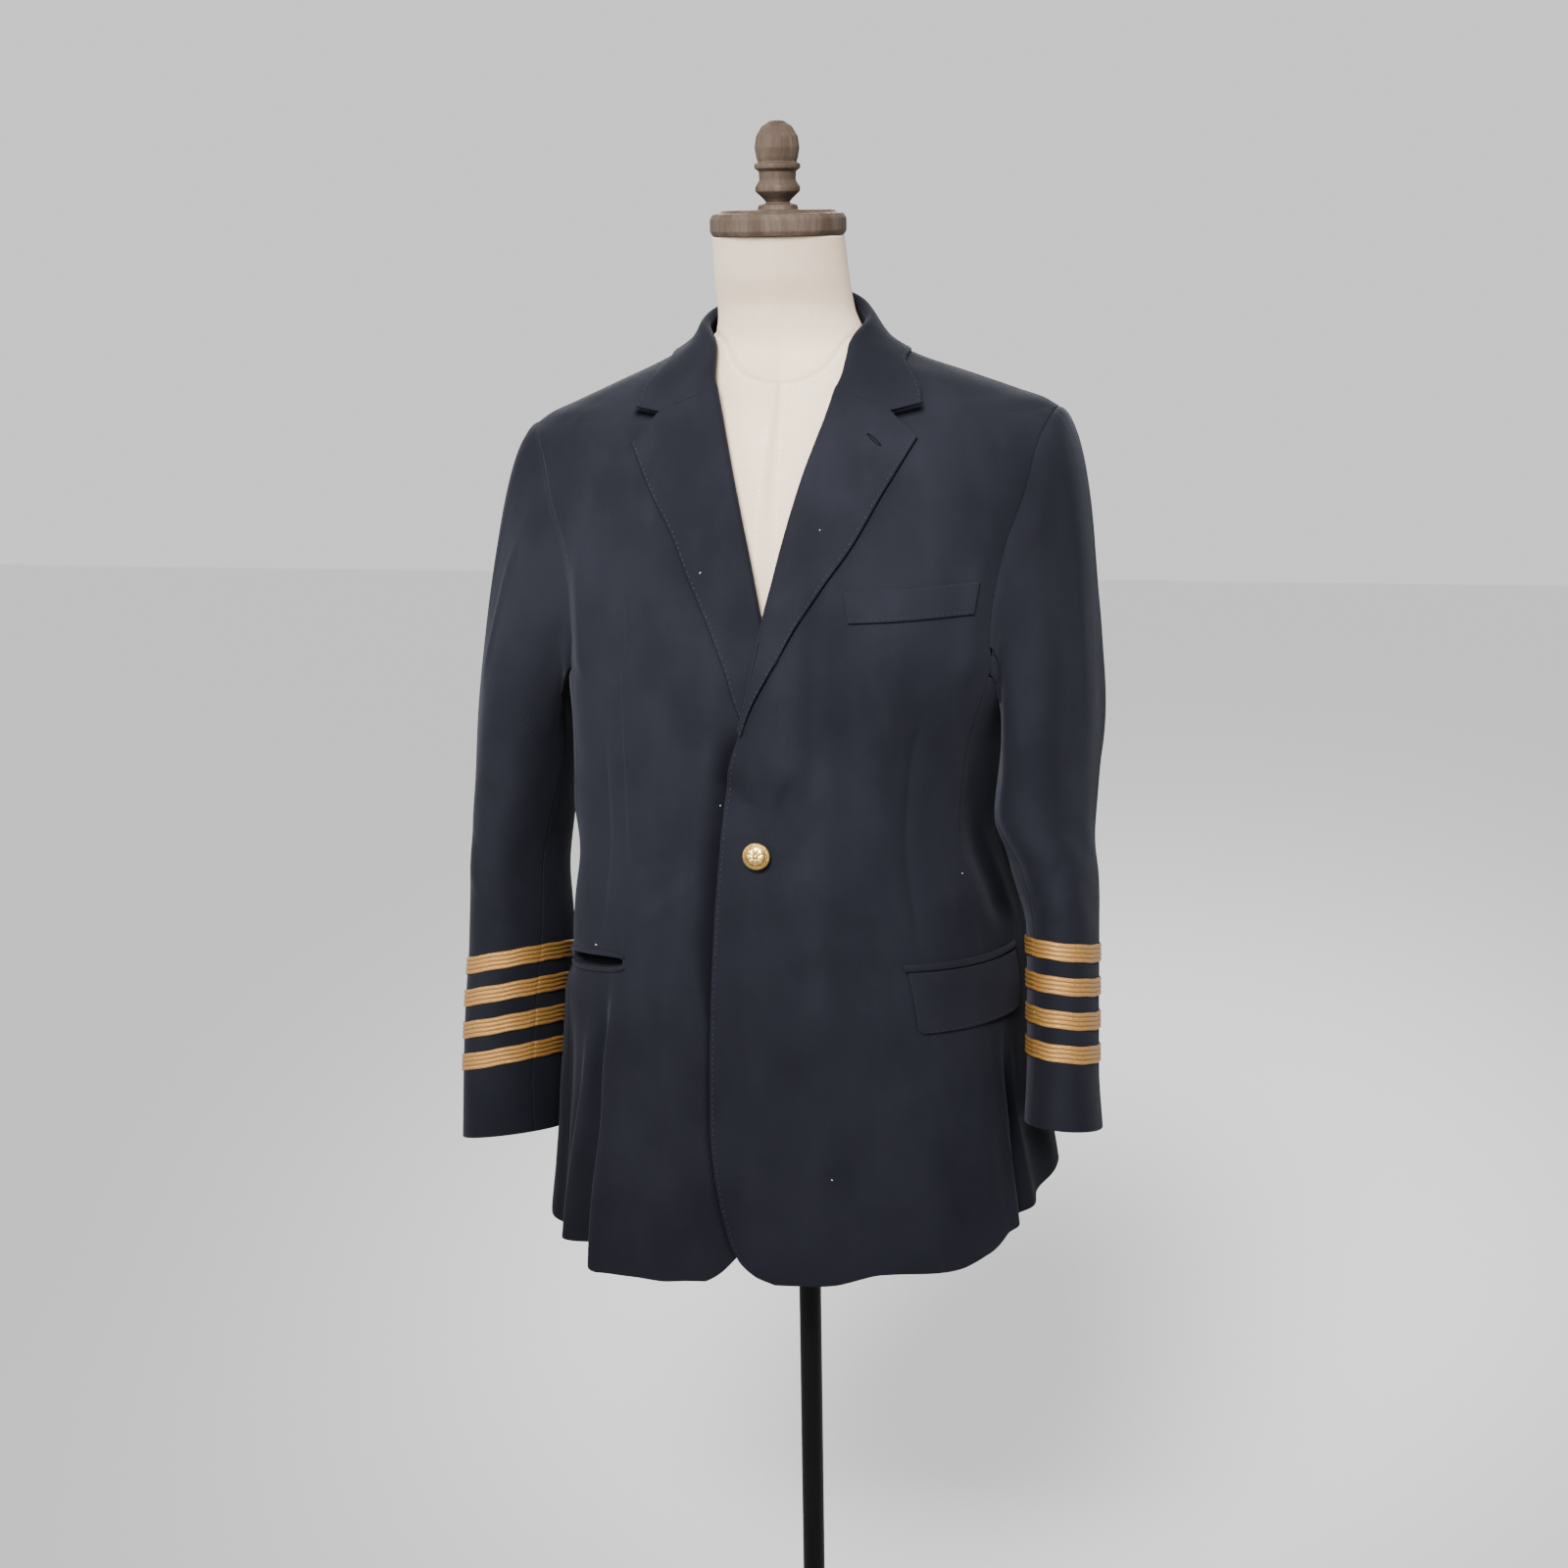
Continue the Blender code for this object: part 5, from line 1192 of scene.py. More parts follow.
@dataclass
class Panels:
    """The six panels of the body: two fronts, two sides and two backs."""

    split: int = 6
    front_columns: int = 104
    side_columns: int = 46
    back_columns: int = 76
    mouth_depth: float = 0.0080

    def outer_angle(self, height: Array, armhole: Table, seam: float, face: int, side: Side) -> Array:
        """Return the angle of a panel's outer side, seam gap taken off: seam, armhole, then shoulder."""
        gap = 0.5 * PANEL_SEAM_GAP * face
        half, shift = read_table(height, BODY.sections, 1), read_table(height, BODY.sections, 5)
        hole_x = np.minimum(read_table(height, armhole), half) * side + shift
        at_hole = np.abs(BODY.angle_at(hole_x, height, face))
        at_seam = math.radians(seam) - gap / 0.19
        at_shoulder = math.pi / 2 - gap / 0.05
        share = np.clip((height - ARMHOLE_LOW) / (ROW_HEIGHTS[16] - ARMHOLE_LOW), 0.0, 1.0)
        angle = at_seam * (1 - share) + at_hole * share
        return np.where(height > SHOULDER_TIP - 0.0005, at_shoulder, angle)

    def front(self, side: Side) -> Grid:
        """Lay out one front: from its open edge or roll line to the side seam, armhole and shoulder."""
        rows = panel_rows(self.split, pocket=side < 0)
        edge_x = read_table(rows, LEFT_EDGE if side > 0 else RIGHT_EDGE)
        start = BODY.angle_at(edge_x + 0.0006 * side, rows)
        end = side * self.outer_angle(rows, FRONT_ARMHOLE, SIDE_FRONT_SEAM, 1, side)
        share = packed(self.front_columns, 0.26)[None, :]
        angle = start[:, None] * (1 - share) + end[:, None] * share
        height = row_height(rows[:, None], angle)
        lift = overlap_lift(BODY.plain(angle, height)[..., 0], height) if side > 0 else 0.0 * angle
        depth = 0.0 * angle
        if side < 0:
            depth = pocket_mouth(angle, height)
            lift = lift - self.mouth_depth * depth
            # Painted shade: the pocket's mouth darkens, as does the strip beside the lapped edge.
            depth = np.maximum(0.62 * depth, self.lapped_shade(angle, height))
        shade = 0.80 * notch_shade(BODY.plain(angle, height)[..., 0], height, side)
        # Painted shade under the collar's end and beside the sleeve.
        depth = np.maximum(np.maximum(depth, shade), self.painted_side_shade(angle, height) / 1.3)
        return Grid(BODY.point(angle, height, lift), BODY.normal(angle, height), depth=np.minimum(depth * 1.3, 1.0))

    def side(self, side: Side) -> Grid:
        """Lay out one side panel: from hem to the underside of the armhole."""
        rows = panel_rows(self.split, ARMHOLE_LOW)
        first = math.radians(SIDE_FRONT_SEAM) + 0.5 * PANEL_SEAM_GAP / 0.19
        last = math.radians(SIDE_BACK_SEAM) - 0.5 * PANEL_SEAM_GAP / 0.19
        share = packed(self.side_columns, 0.15)[None, :]
        angle = side * (first * (1 - share) + last * share) + 0.0 * rows[:, None]
        height = row_height(rows[:, None], angle)
        dip = ARMHOLE_DIP * np.sin(math.pi * share) * ease(height, 1.12, ARMHOLE_LOW)
        # Painted shade beside the sleeve.
        depth = self.painted_side_shade(angle, height)
        return Grid(BODY.point(angle, height - dip), BODY.normal(angle, height), depth=depth)

    def back(self, side: Side) -> Grid:
        """Lay out one back: from the centre back seam to the side seam, armhole and shoulder."""
        rows = panel_rows(self.split)
        middle = math.pi - 0.5 * SEAM_GAP / 0.10
        outer = self.outer_angle(rows, BACK_ARMHOLE, SIDE_BACK_SEAM, -1, side)
        share = packed(self.back_columns, 0.20)[None, :]
        angle = side * (outer[:, None] * (1 - share) + middle * share)
        height = row_height(rows[:, None], angle)
        # Painted shade beside the sleeve, where the back meets the side.
        depth = self.painted_side_shade(angle, height)
        return Grid(BODY.point(angle, height), BODY.normal(angle, height), depth=depth)

    def lapped_shade(self, angle: Array, height: Array) -> Array:
        """Return the painted shade on the strip of the under front beside the edge that laps over it, wider at the
        waist.
        """
        beside = read_table(height, LEFT_EDGE) - BODY.plain(angle, height)[..., 0]
        reach = 0.006 + 0.018 * ease(height, 0.92, 1.01)
        return 0.46 * ease(beside / reach, 1.0, 0.05) * ease(height, 1.195, 1.165)

    def painted_side_shade(self, angle: Array, height: Array) -> Array:
        """Return the painted shade on the cloth beside the sleeves, below the armholes; on the wearer's right it grows
        lower down.
        """
        degrees = np.mod(np.degrees(angle) + 180.0, 360.0) - 180.0
        right_shade_strength = 0.34 + 0.24 * ease(height, 0.97, 0.90)
        rub_wear_and_shade = 0.52 * bell(degrees, 86.0, 19.0) + right_shade_strength * bell(degrees, -76.0, 20.0)
        return rub_wear_and_shade * ease(height, 1.22, 1.10)

    def edge_sewing(self, grid: Grid) -> bpy.types.Object:
        """Sew the row of pick stitches up the left front's open edge to where the lapel breaks."""
        path, normals = border_row(grid, Border.FIRST_COLUMN, 0.0028, 0.5 * WALL)
        keep = (path[:, 2] > 0.716) & (path[:, 2] < 1.172)
        row = stitches("pick_stitches_front", path[keep], normals[keep], NAVY_THREAD, 0.0052, 0.0011, 0.00040)
        return trimming(row, NAVY_THREAD)

    def allowance(self, name: str, degrees: float, low: float, top: float) -> bpy.types.Object:
        """Lay the pressed-open seam allowance behind one seam, between two of the panels' rows."""
        rows = np.linspace(low, top, 150)[:, None]
        reach = 0.0075 / np.maximum(read_table(rows, BODY.sections, 1 if abs(degrees) < 170 else 3), 0.05)
        across = np.linspace(-1.0, 1.0, 9)[None, :]
        angle = math.radians(degrees) + reach * across
        height = row_height(rows + 0 * across, np.mod(angle + math.pi, math.tau) - math.pi)
        grid = Grid(BODY.point(angle, height, -LAYER - 0.0001), BODY.normal(angle, height))
        item = cloth_shell(f"allowance_{name}", grid, NAVY, wall=0.0012)
        return trimming(item, NAVY)

    def allowances(self, word: str, side: Side) -> list[bpy.types.Object]:
        """Return the seam allowances that are pressed back behind one panel's seams."""
        if word == "front":
            return [
                self.allowance(f"shoulder_{side.word}", 90.0 * side, SHOULDER_TIP + 0.002, NECK_ROW - 0.001),
                self.allowance(f"front_{side.word}", SIDE_FRONT_SEAM * side, HEM_ROW + 0.001, ARMHOLE_LOW - 0.004),
            ]
        if word == "side":
            return [self.allowance(f"side_{side.word}", SIDE_BACK_SEAM * side, HEM_ROW + 0.001, ARMHOLE_LOW - 0.004)]
        if side is Side.LEFT:
            return [self.allowance("centre_back", 180.0, HEM_ROW + 0.001, NECK_ROW - 0.001)]
        return []

    def build(self) -> None:
        """Build the six panels, their seam allowances and their sewing."""
        for side in Side:
            for word, grid in (("front", self.front(side)), ("side", self.side(side)), ("back", self.back(side))):
                name = f"{word}_{side.word}"
                item = cloth_shell(f"wool_{name}", grid, NAVY)
                on_it = self.allowances(word, side)
                if name == "front_left":
                    on_it.append(self.edge_sewing(grid))
                Piece(item, NAVY, (name,), grid, Hold.HUNG, on_it=on_it).settle()


@dataclass
class Leaf:
    """A leaf that rolls round an edge: behind it, round the fold, and out over the panel."""

    angles: Array
    heights: Array
    behind: Array
    radius: Array
    lift: Array
    soft: Array
    edge: float
    edge_shade: float
    turn_steps: int = 14

    def place(self, share: Array, lift: Array) -> Array:
        """Read the leaf's rows at one share each, going on straight before the fold, and lift them."""
        columns = self.angles.shape[1]
        at = np.clip(share * (columns - 1), -3.0 * (columns - 1) / 8.0, columns - 1.0)
        low = np.clip(np.floor(at).astype(int), 0, columns - 2)
        part = at - low
        row = np.arange(self.angles.shape[0])
        angle = self.angles[row, low] * (1 - part) + self.angles[row, low + 1] * part
        height = self.heights[row, low] * (1 - part) + self.heights[row, low + 1] * part
        return BODY.point(angle, height, lift)

    def grid(self) -> Grid:
        """Lay out the leaf's middle surface.

        Behind the edge it lies one radius inside, at the fold it follows a half circle, and over the
        panel it lies one radius outside, with a soft bulge next to the fold, and its edge is pressed down.
        """
        flat = BODY.point(self.angles, self.heights)
        length = np.linalg.norm(flat[:, 1:] - flat[:, :-1], axis=-1).sum(axis=1)
        radius, behind = self.radius, self.behind
        edge = LAYER + self.edge
        steps = [(behind * k, -radius) for k in (1.0, 0.97, 0.9, 0.8, 0.66, 0.4)]
        steps.append((radius * 0.4, -radius))
        for turn in np.linspace(0.0, math.pi, self.turn_steps)[1:-1]:
            steps.append((radius * (0.4 - math.sin(turn)), -radius * math.cos(turn)))
        columns = [self.place(distance / length, self.lift[:, 0] + rise) for distance, rise in steps]
        for column, share in enumerate(np.linspace(0.0, 1.0, self.angles.shape[1])):
            at = np.full(len(length), share)
            if column == 0:
                at = at + radius * 0.4 / length
            bulge = self.soft * np.exp(-at * length / 0.012) * (1.0 - np.exp(-at * length / 0.004))
            rise = radius + (edge - radius) * share**1.5
            columns.append(self.place(at, self.lift[:, column] + rise + bulge))
        rim = []
        for drop in (0.0009, 0.0005, 0.0002):
            at = 1.0 - drop / length
            rim.append(self.place(at, self.lift[:, -1] + edge))
        columns = columns[:-1] + rim + columns[-1:]
        outward = BODY.normal(self.angles[:, -1:], self.heights[:, -1:])
        points = np.stack(columns, axis=1)
        shape = (len(length), len(columns), 3)
        depth = np.zeros(shape[:2])
        # Painted shade along the free edge, strongest at the border, where the leaf meets the panel.
        depth[:, -4:] = self.edge_shade * np.array([0.15, 0.5, 0.9, 1.0])
        return Grid(points, np.broadcast_to(outward, shape), depth=depth)


@dataclass
class Lapels:
    """The two lapels, from the gorge and notch down to where the fronts break."""

    rows: int = 110
    columns: int = 44
    notch_left: tuple[float, float] = (0.0921, 1.4292)
    notch_right: tuple[float, float] = (-0.0997, 1.4280)
    hole_at: tuple[float, float] = (0.0835, 1.4090)

    def grid(self, side: Side) -> Grid:
        """Lay out one lapel."""
        roll_table = LEFT_EDGE if side > 0 else RIGHT_EDGE
        edge_table = LEFT_LAPEL_EDGE if side > 0 else RIGHT_LAPEL_EDGE
        down = packed(self.rows, 0.27)
        roll_low, edge_low = (1.180, 1.177) if side > 0 else (1.170, 1.167)
        roll_height = GORGE_TOP + 0.0006 + (roll_low - GORGE_TOP) * down
        edge_height = edge_table[-1][0] + (edge_low - edge_table[-1][0]) * down
        roll_x, edge_x = read_table(roll_height, roll_table), read_table(edge_height, edge_table)
        share = np.linspace(0.0, 1.0, self.columns)
        x = roll_x[:, None] * (1 - share) + edge_x[:, None] * share
        height = roll_height[:, None] * (1 - share) + edge_height[:, None] * share
        notch_x, notch_height = self.notch_left if side > 0 else self.notch_right
        tent = np.minimum(share / NOTCH_SHARE, (1 - share) / (1 - NOTCH_SHARE))
        chord_x = roll_x[0] * (1 - NOTCH_SHARE) + edge_x[0] * NOTCH_SHARE
        chord_height = roll_height[0] * (1 - NOTCH_SHARE) + edge_height[0] * NOTCH_SHARE
        fade = np.exp(-down * 6.0)[:, None] * (1 - down)[:, None]
        x = x + (notch_x - chord_x) * tent * fade
        height = height + (notch_height + 0.0006 - chord_height) * tent * fade
        lift = overlap_lift(x, height) if side > 0 else 0.0 * x
        leaf = Leaf(
            BODY.angle_at(x, height),
            height,
            0.006 - 0.003 * down,
            LAYER + 0.0001 + 0.0013 * (1 - down) ** 1.5,
            lift,
            (0.0016 if side > 0 else 0.0012) * (1 - 0.8 * down),
            0.0014,
            0.95,
        )
        return leaf.grid()

    def buttonhole(self, grid: Grid) -> bpy.types.Object:
        """Work the short buttonhole near the notch: a flat ring of thread round a slit.

        The ring's line is a stretched circle, (L cos a, W sin a), on the lapel's outer surface, and its
        section is a small circle whose radius swells at each turn of thread.
        """
        normals = grid.oriented()
        flat = grid.points + normals * 0.5 * WALL
        x, height = self.hole_at
        away = np.hypot(flat[..., 0] - x, flat[..., 2] - height) + 0.5 * (normals[..., 1] > 0)
        row, column = np.unravel_index(np.argmin(away), away.shape)
        centre, normal = flat[row, column], normals[row, column]
        along = unit(np.cross(normal, unit(np.array([0.62, 0.0, 0.78]))))
        across = np.cross(normal, along)
        turn = np.linspace(0.0, math.tau, 97)[:-1][:, None, None]
        section = np.linspace(0.0, math.tau, 9)[:-1][None, :, None]
        spine = along * 0.0075 * np.cos(turn) + across * 0.0011 * np.sin(turn)
        outward = unit(along * 0.2 * np.cos(turn) + across * np.sin(turn))
        thick = 0.00052 * (1 + 0.22 * np.sin(turn * 24))
        points = centre + spine + (outward * np.cos(section) + normal * np.sin(section)) * thick
        index = np.arange(96 * 8).reshape(96, 8)
        index = close_ring(np.concatenate([index, index[:1]], axis=0))
        # The whole ring takes 0.6 of the wool's painted shade, so that it reads dark.
        item = make_mesh("lapel_buttonhole", points, [corners_of(index)[:, ::-1]], NAVY, depth=np.full(96 * 8, 0.6))
        return trimming(item, NAVY)

    def build(self) -> None:
        """Build both lapels, their pick stitches and the buttonhole."""
        for side in Side:
            grid = self.grid(side)
            name = f"lapel_{side.word}"
            item = cloth_shell(f"wool_{name}", grid, NAVY)
            path, normals = border_row(grid, Border.LAST_COLUMN, 0.0028, 0.5 * WALL)
            row = stitches(f"pick_stitches_{name}", path[2:-2], normals[2:-2], NAVY_THREAD, 0.0052, 0.0011, 0.00040)
            sewing = [trimming(row, NAVY_THREAD)]
            if side > 0:
                sewing.append(self.buttonhole(grid))
            Piece(item, NAVY, (name,), grid, Hold.FOLDED, (f"wool_front_{side.word}",), sewing).settle()


@dataclass
class Collar:
    """The collar: a stand round the neck, its fold, and the fall down to the free edge."""

    rows: int = 75
    columns: int = 40
    point_left: tuple[float, float] = (0.1176, 1.4343)
    point_right: tuple[float, float] = (-0.1229, 1.4331)

    def gorge(self, side: Side, share: Array) -> tuple[Array, Array]:
        """Return the collar's front end: roll line, notch, collar point, as x and height."""
        lapels = Lapels()
        notch = lapels.notch_left if side > 0 else lapels.notch_right
        point = self.point_left if side > 0 else self.point_right
        roll_x = float(read_table(GORGE_TOP, LEFT_EDGE if side > 0 else RIGHT_EDGE))
        keys = (0.0, 0.66, 1.0)
        x = np.interp(share, keys, (roll_x, notch[0], point[0]))
        return x, np.interp(share, keys, (GORGE_TOP, notch[1], point[1]))

    def half(self, side: Side) -> tuple[Array, Array, Array]:
        """Return one half's angles, heights and stand depths, from its front end to the centre back."""
        stations = np.array(COLLAR_STATIONS)
        share = np.linspace(0.0, 1.0, self.columns)
        dense = np.linspace(0.0, len(stations) - 1.0, self.rows)
        dense = np.unique(np.concatenate([dense, [0.004, 0.012, 0.025, 0.045]]))
        keys = np.arange(len(stations), dtype=float)
        fold_angle, fold_height, edge_angle, edge_height, behind = (
            smoothed(read_table(dense, np.stack([keys, stations[:, k]], axis=1))) for k in range(5)
        )
        angle = np.radians(fold_angle[:, None] * (1 - share) + edge_angle[:, None] * share) * side
        height = fold_height[:, None] * (1 - share) + edge_height[:, None] * share
        end_x, end_height = self.gorge(side, share)
        blend = np.exp(-dense * 2.2)[:, None]
        angle = angle * (1 - blend) + BODY.angle_at(end_x, end_height)[None, :] * blend
        return angle, height * (1 - blend) + end_height[None, :] * blend, behind

    def grid(self) -> Grid:
        """Lay out the whole collar from the left front end round the back to the right one."""
        left, right = self.half(Side.LEFT), self.half(Side.RIGHT)
        angles = np.concatenate([left[0], (math.tau + right[0])[-2::-1]])
        heights = np.concatenate([left[1], right[1][-2::-1]])
        behind = np.concatenate([left[2], right[2][-2::-1]])
        share = np.linspace(0.0, 1.0, self.columns)
        radius = np.full(len(behind), LAYER + 0.0014)
        bulge = 0.0008 * np.sin(math.pi * share)[None, :] + 0.0 * angles
        return Leaf(angles, heights, behind, radius, bulge, np.full(len(behind), 0.001), 0.0001, 0.45).grid()

    def build(self) -> None:
        """Build the collar and the pick stitches along its fall."""
        grid = self.grid()
        item = cloth_shell("wool_collar", grid, NAVY)
        path, normals = border_row(grid, Border.LAST_COLUMN, 0.0028, 0.5 * WALL)
        row = stitches("pick_stitches_collar", path[3:-3], normals[3:-3], NAVY_THREAD, 0.0052, 0.0011, 0.00040)
        rests_on = ("wool_back_left", "wool_back_right")
        Piece(item, NAVY, ("collar",), grid, Hold.FOLDED, rests_on, [trimming(row, NAVY_THREAD)]).settle()


# Creases of the sleeves: height and degrees round the sleeve at the top, then at the bottom, half
# width, rise. 0 degrees is the outer side, 90 the front, 180 the side next to the body, 270 the back.
SLEEVE_FOLDS: dict[int, tuple[Fold, ...]] = {
    1: (
        Fold("front light", 1.330, 62.0, 0.985, 70.0, 0.016, 0.0016),
        Fold("front shade", 1.340, 88.0, 1.060, 96.0, 0.018, -0.0016),
        Fold("outer rim", 1.300, 20.0, 0.960, 14.0, 0.020, 0.0012),
        Fold("inner hollow", 1.230, 132.0, 1.000, 128.0, 0.016, -0.0016),
        Fold("elbow crease", 1.075, 55.0, 1.015, 128.0, 0.010, -0.0016),
        Fold("elbow crease below", 1.045, 62.0, 0.985, 132.0, 0.011, 0.0018),
        Fold("elbow crease lowest", 1.020, 60.0, 0.970, 120.0, 0.008, -0.0012),
        Fold("cap crease", 1.395, 30.0, 1.320, 66.0, 0.010, 0.0010),
        Fold("back light", 1.320, 286.0, 1.010, 296.0, 0.018, 0.0022),
        Fold("back shade", 1.300, 255.0, 1.030, 262.0, 0.020, -0.0024),
        Fold("back elbow", 1.110, 230.0, 1.030, 305.0, 0.011, 0.0022),
        Fold("back elbow below", 1.080, 228.0, 1.000, 300.0, 0.010, -0.0018),
    ),
    -1: (
        Fold("front crease", 1.345, 50.0, 1.180, 44.0, 0.006, 0.0016),
        Fold("front light", 1.300, 60.0, 0.980, 66.0, 0.020, 0.0014),
        Fold("front shade", 1.330, 92.0, 1.050, 100.0, 0.018, -0.0009),
        Fold("outer light", 1.280, 18.0, 0.990, 20.0, 0.018, 0.0010),
        Fold("inner hollow", 1.220, 138.0, 1.010, 134.0, 0.016, -0.0012),
        Fold("elbow crease", 1.070, 60.0, 1.010, 130.0, 0.011, -0.0014),
        Fold("elbow crease below", 1.040, 66.0, 0.980, 128.0, 0.010, 0.0015),
        Fold("cap crease", 1.385, 36.0, 1.310, 70.0, 0.010, 0.0009),
        Fold("back light", 1.310, 284.0, 1.010, 292.0, 0.018, 0.0022),
        Fold("back shade", 1.290, 256.0, 1.030, 260.0, 0.020, -0.0024),
        Fold("back elbow", 1.100, 232.0, 1.020, 306.0, 0.011, 0.0021),
        Fold("back elbow below", 1.070, 230.0, 0.990, 298.0, 0.010, -0.0017),
    ),
}
CAP_STEPS = (0.0, 0.06, 0.14, 0.25, 0.38, 0.54, 0.70, 0.86, 1.0)
# The seam allowance turned in behind the armhole's edge: steps before 0, how far it lies under the panel
# and how far below the panel's middle
TUCK = (
    ((-1.0, -0.55, -0.25, -0.1, 0.0), (0.0085, 0.0050, 0.0018, 0.0004, 0.0)),
    ((-1.0, -0.55, -0.25, -0.1, 0.0), (0.0040, 0.0036, 0.0030, 0.0016, 0.0)),
)


@dataclass
class Sleeve:
    """One sleeve's surface: the armhole's loop, a cap eased in, then tilted rings down to the cuff."""

    side: Side
    count: int = 480
    forearm_seam: float = 0.36
    hindarm_seam: float = 0.695
    tilt_side: float = 0.08
    tilt_front: float = 0.24
    plain_cuff: float = LAST_BRAID_ABOVE_CUFF
    lower_rings: int = 9

    @property
    def table(self) -> Table:
        """Return the sleeve's own table, from the top down."""
        return LEFT_SLEEVE if self.side > 0 else RIGHT_SLEEVE

    def hole(self) -> tuple[Array, Array]:
        """Return the armhole's points, evenly spaced from the shoulder tip round the front, and normals."""
        up = np.linspace(ARMHOLE_LOW, SHOULDER_TIP, 60)
        half, shift = read_table(up, BODY.sections, 1), read_table(up, BODY.sections, 5)
        angles = []
        for armhole, face in ((FRONT_ARMHOLE, 1), (BACK_ARMHOLE, -1)):
            hole_x = np.minimum(read_table(up, armhole), half) * self.side + shift
            angles.append(np.abs(BODY.angle_at(hole_x, up, face)))
        across = np.linspace(0.0, 1.0, 30)[1:-1]
        under = np.radians(SIDE_FRONT_SEAM + (SIDE_BACK_SEAM - SIDE_FRONT_SEAM) * across)
        angle = self.side * np.concatenate([angles[0][::-1], under, angles[1]])
        dip = ARMHOLE_LOW - ARMHOLE_DIP * np.sin(math.pi * across)
        height = np.concatenate([up[::-1], dip, up])
        points, normals = BODY.point(angle, height), BODY.normal(angle, height)
        run = np.concatenate([[0.0], np.cumsum(np.linalg.norm(np.diff(points, axis=0), axis=1))])
        at = np.linspace(0.0, run[-1], self.count + 1)[:-1]
        points = np.stack([np.interp(at, run, points[:, k]) for k in range(3)], axis=1)
        normals = np.stack([np.interp(at, run, normals[:, k]) for k in range(3)], axis=1)
        return points, unit(normals)

    def ring(self, height: float) -> Array:
        """Return one plain ring below the cap, evenly spaced from its outer side to the front.

        The ring is an ellipse turned about Z, tilted so that its front and inner side stand higher.
        """
        table = self.table[::-1]
        centre_x, centre_y, wide, deep, turn = (float(read_table(height, table, k)) for k in range(1, 6))
        fine = np.linspace(0.0, math.tau, 1441)
        out, ahead = wide * np.cos(fine), deep * np.sin(fine)
        run = np.concatenate([[0.0], np.cumsum(np.hypot(np.diff(out), np.diff(ahead)))])
        at = np.linspace(0.0, run[-1], self.count + 1)[:-1]
        out, ahead = np.interp(at, run, out), np.interp(at, run, ahead)
        toe = math.radians(turn)
        across = out * math.cos(toe) - ahead * math.sin(toe)
        along = out * math.sin(toe) + ahead * math.cos(toe)
        slope = float(ease(height, table[-1][0], table[-1][0] - 0.12))
        low = table[0][0]
        side_tilt = self.tilt_side * (1 - 0.45 * float(ease(height, low + 0.060, low)))
        rise = -side_tilt * across + self.tilt_front * along
        return np.stack([centre_x + self.side * across, centre_y - along, height + slope * rise], axis=1)

    def plain(self, steps: Array) -> Array:
        """Return plain rings from armhole to cuff, one for each step.

        Steps 0 to 8 follow cubic curves from the armhole to the table's top ring, which start along
        the cloth's own way out of the seam, and further steps follow the table.
        """
        loop, normals = self.hole()
        share = np.arange(self.count) / self.count
        top, low = self.table[0][0], self.table[-1][0]
        first, below = self.ring(top), self.ring(top - 0.01)
        inward = unit(np.cross(normals, np.roll(loop, -1, axis=0) - np.roll(loop, 1, axis=0)))
        inward *= np.sign(np.sum(inward * (loop.mean(axis=0) - loop), axis=1, keepdims=True))
        above = np.cos(math.tau * share)
        under = ease(above, -0.35, -0.95)
        loop = loop + inward * (0.0012 + 0.0010 * under)[:, None]
        along_body = 0.72 + 0.20 * ease(above, 0.2, 1.0) - 0.72 * under
        off_body = 0.70 - 0.25 * ease(above, 0.2, 1.0) + 0.30 * under
        out = inward * along_body[:, None] + normals * off_body[:, None]
        out[:, 2] -= 0.25 * under
        start = unit(out) * (0.030 + 0.058 * ease(above, -0.9, 0.6))[:, None]
        end = unit(below - first) * (0.95 * np.linalg.norm(first - loop, axis=1))[:, None]
        rows = []
        for step in steps:
            if step < 0:
                under_panel, below_panel = (float(np.interp(step, *pair)) for pair in TUCK)
                row = loop - inward * under_panel - normals * below_panel
            elif step < len(CAP_STEPS) - 1:
                t = float(np.interp(step, np.arange(len(CAP_STEPS)), CAP_STEPS))
                rise = (3 - 2 * t) * t * t
                row = (1 - rise) * loop + rise * first + t * (1 - t) ** 2 * start + (t - 1) * t * t * end
            else:
                row = self.ring(top + (low - top) * (step - len(CAP_STEPS) + 1) / self.lower_rings)
            rows.append(row)
        return np.stack(rows)

    def relief(self, points: Array, steps: Array) -> Array:
        """Return how far folds and waves move the rings' points, fading at the armhole and the braids."""
        count = points.shape[1]
        degrees = np.arange(count) * 360.0 / count
        around = np.linalg.norm(np.diff(points, axis=1), axis=-1).sum(axis=1, keepdims=True) / 360.0
        height = points.mean(axis=1)[:, 2:] + 0.0 * degrees
        total = np.zeros(points.shape[:-1])
        for fold in SLEEVE_FOLDS[int(self.side)]:
            along = np.clip((points[..., 2] - fold.bottom) / (fold.top - fold.bottom), 0.0, 1.0)
            at = fold.bottom_angle + (fold.top_angle - fold.bottom_angle) * along
            away = (np.mod(degrees - at + 180.0, 360.0) - 180.0) * around
            fade = ease(along, 0.0, 0.25) * ease(along, 1.0, 0.70)
            total += fold.rise * fade * np.exp(-((away / fold.width) ** 2))
        for pitch, waves, phase, rise in CLOTH_WAVES:
            level = np.sin(height * math.tau / pitch + phase * 1.7 * self.side)
            total += 1.1 * rise * level * np.sin(np.radians(degrees) * round(waves * 0.6 + 1) + phase)
        top_braid = self.table[-1][0] + self.plain_cuff + (CUFF_BRAIDS - 1) * BRAID_PITCH
        calm = ease(height, top_braid + 0.012, top_braid + 0.050) * ease(steps[:, None], 0.6, 3.5)
        return total * calm

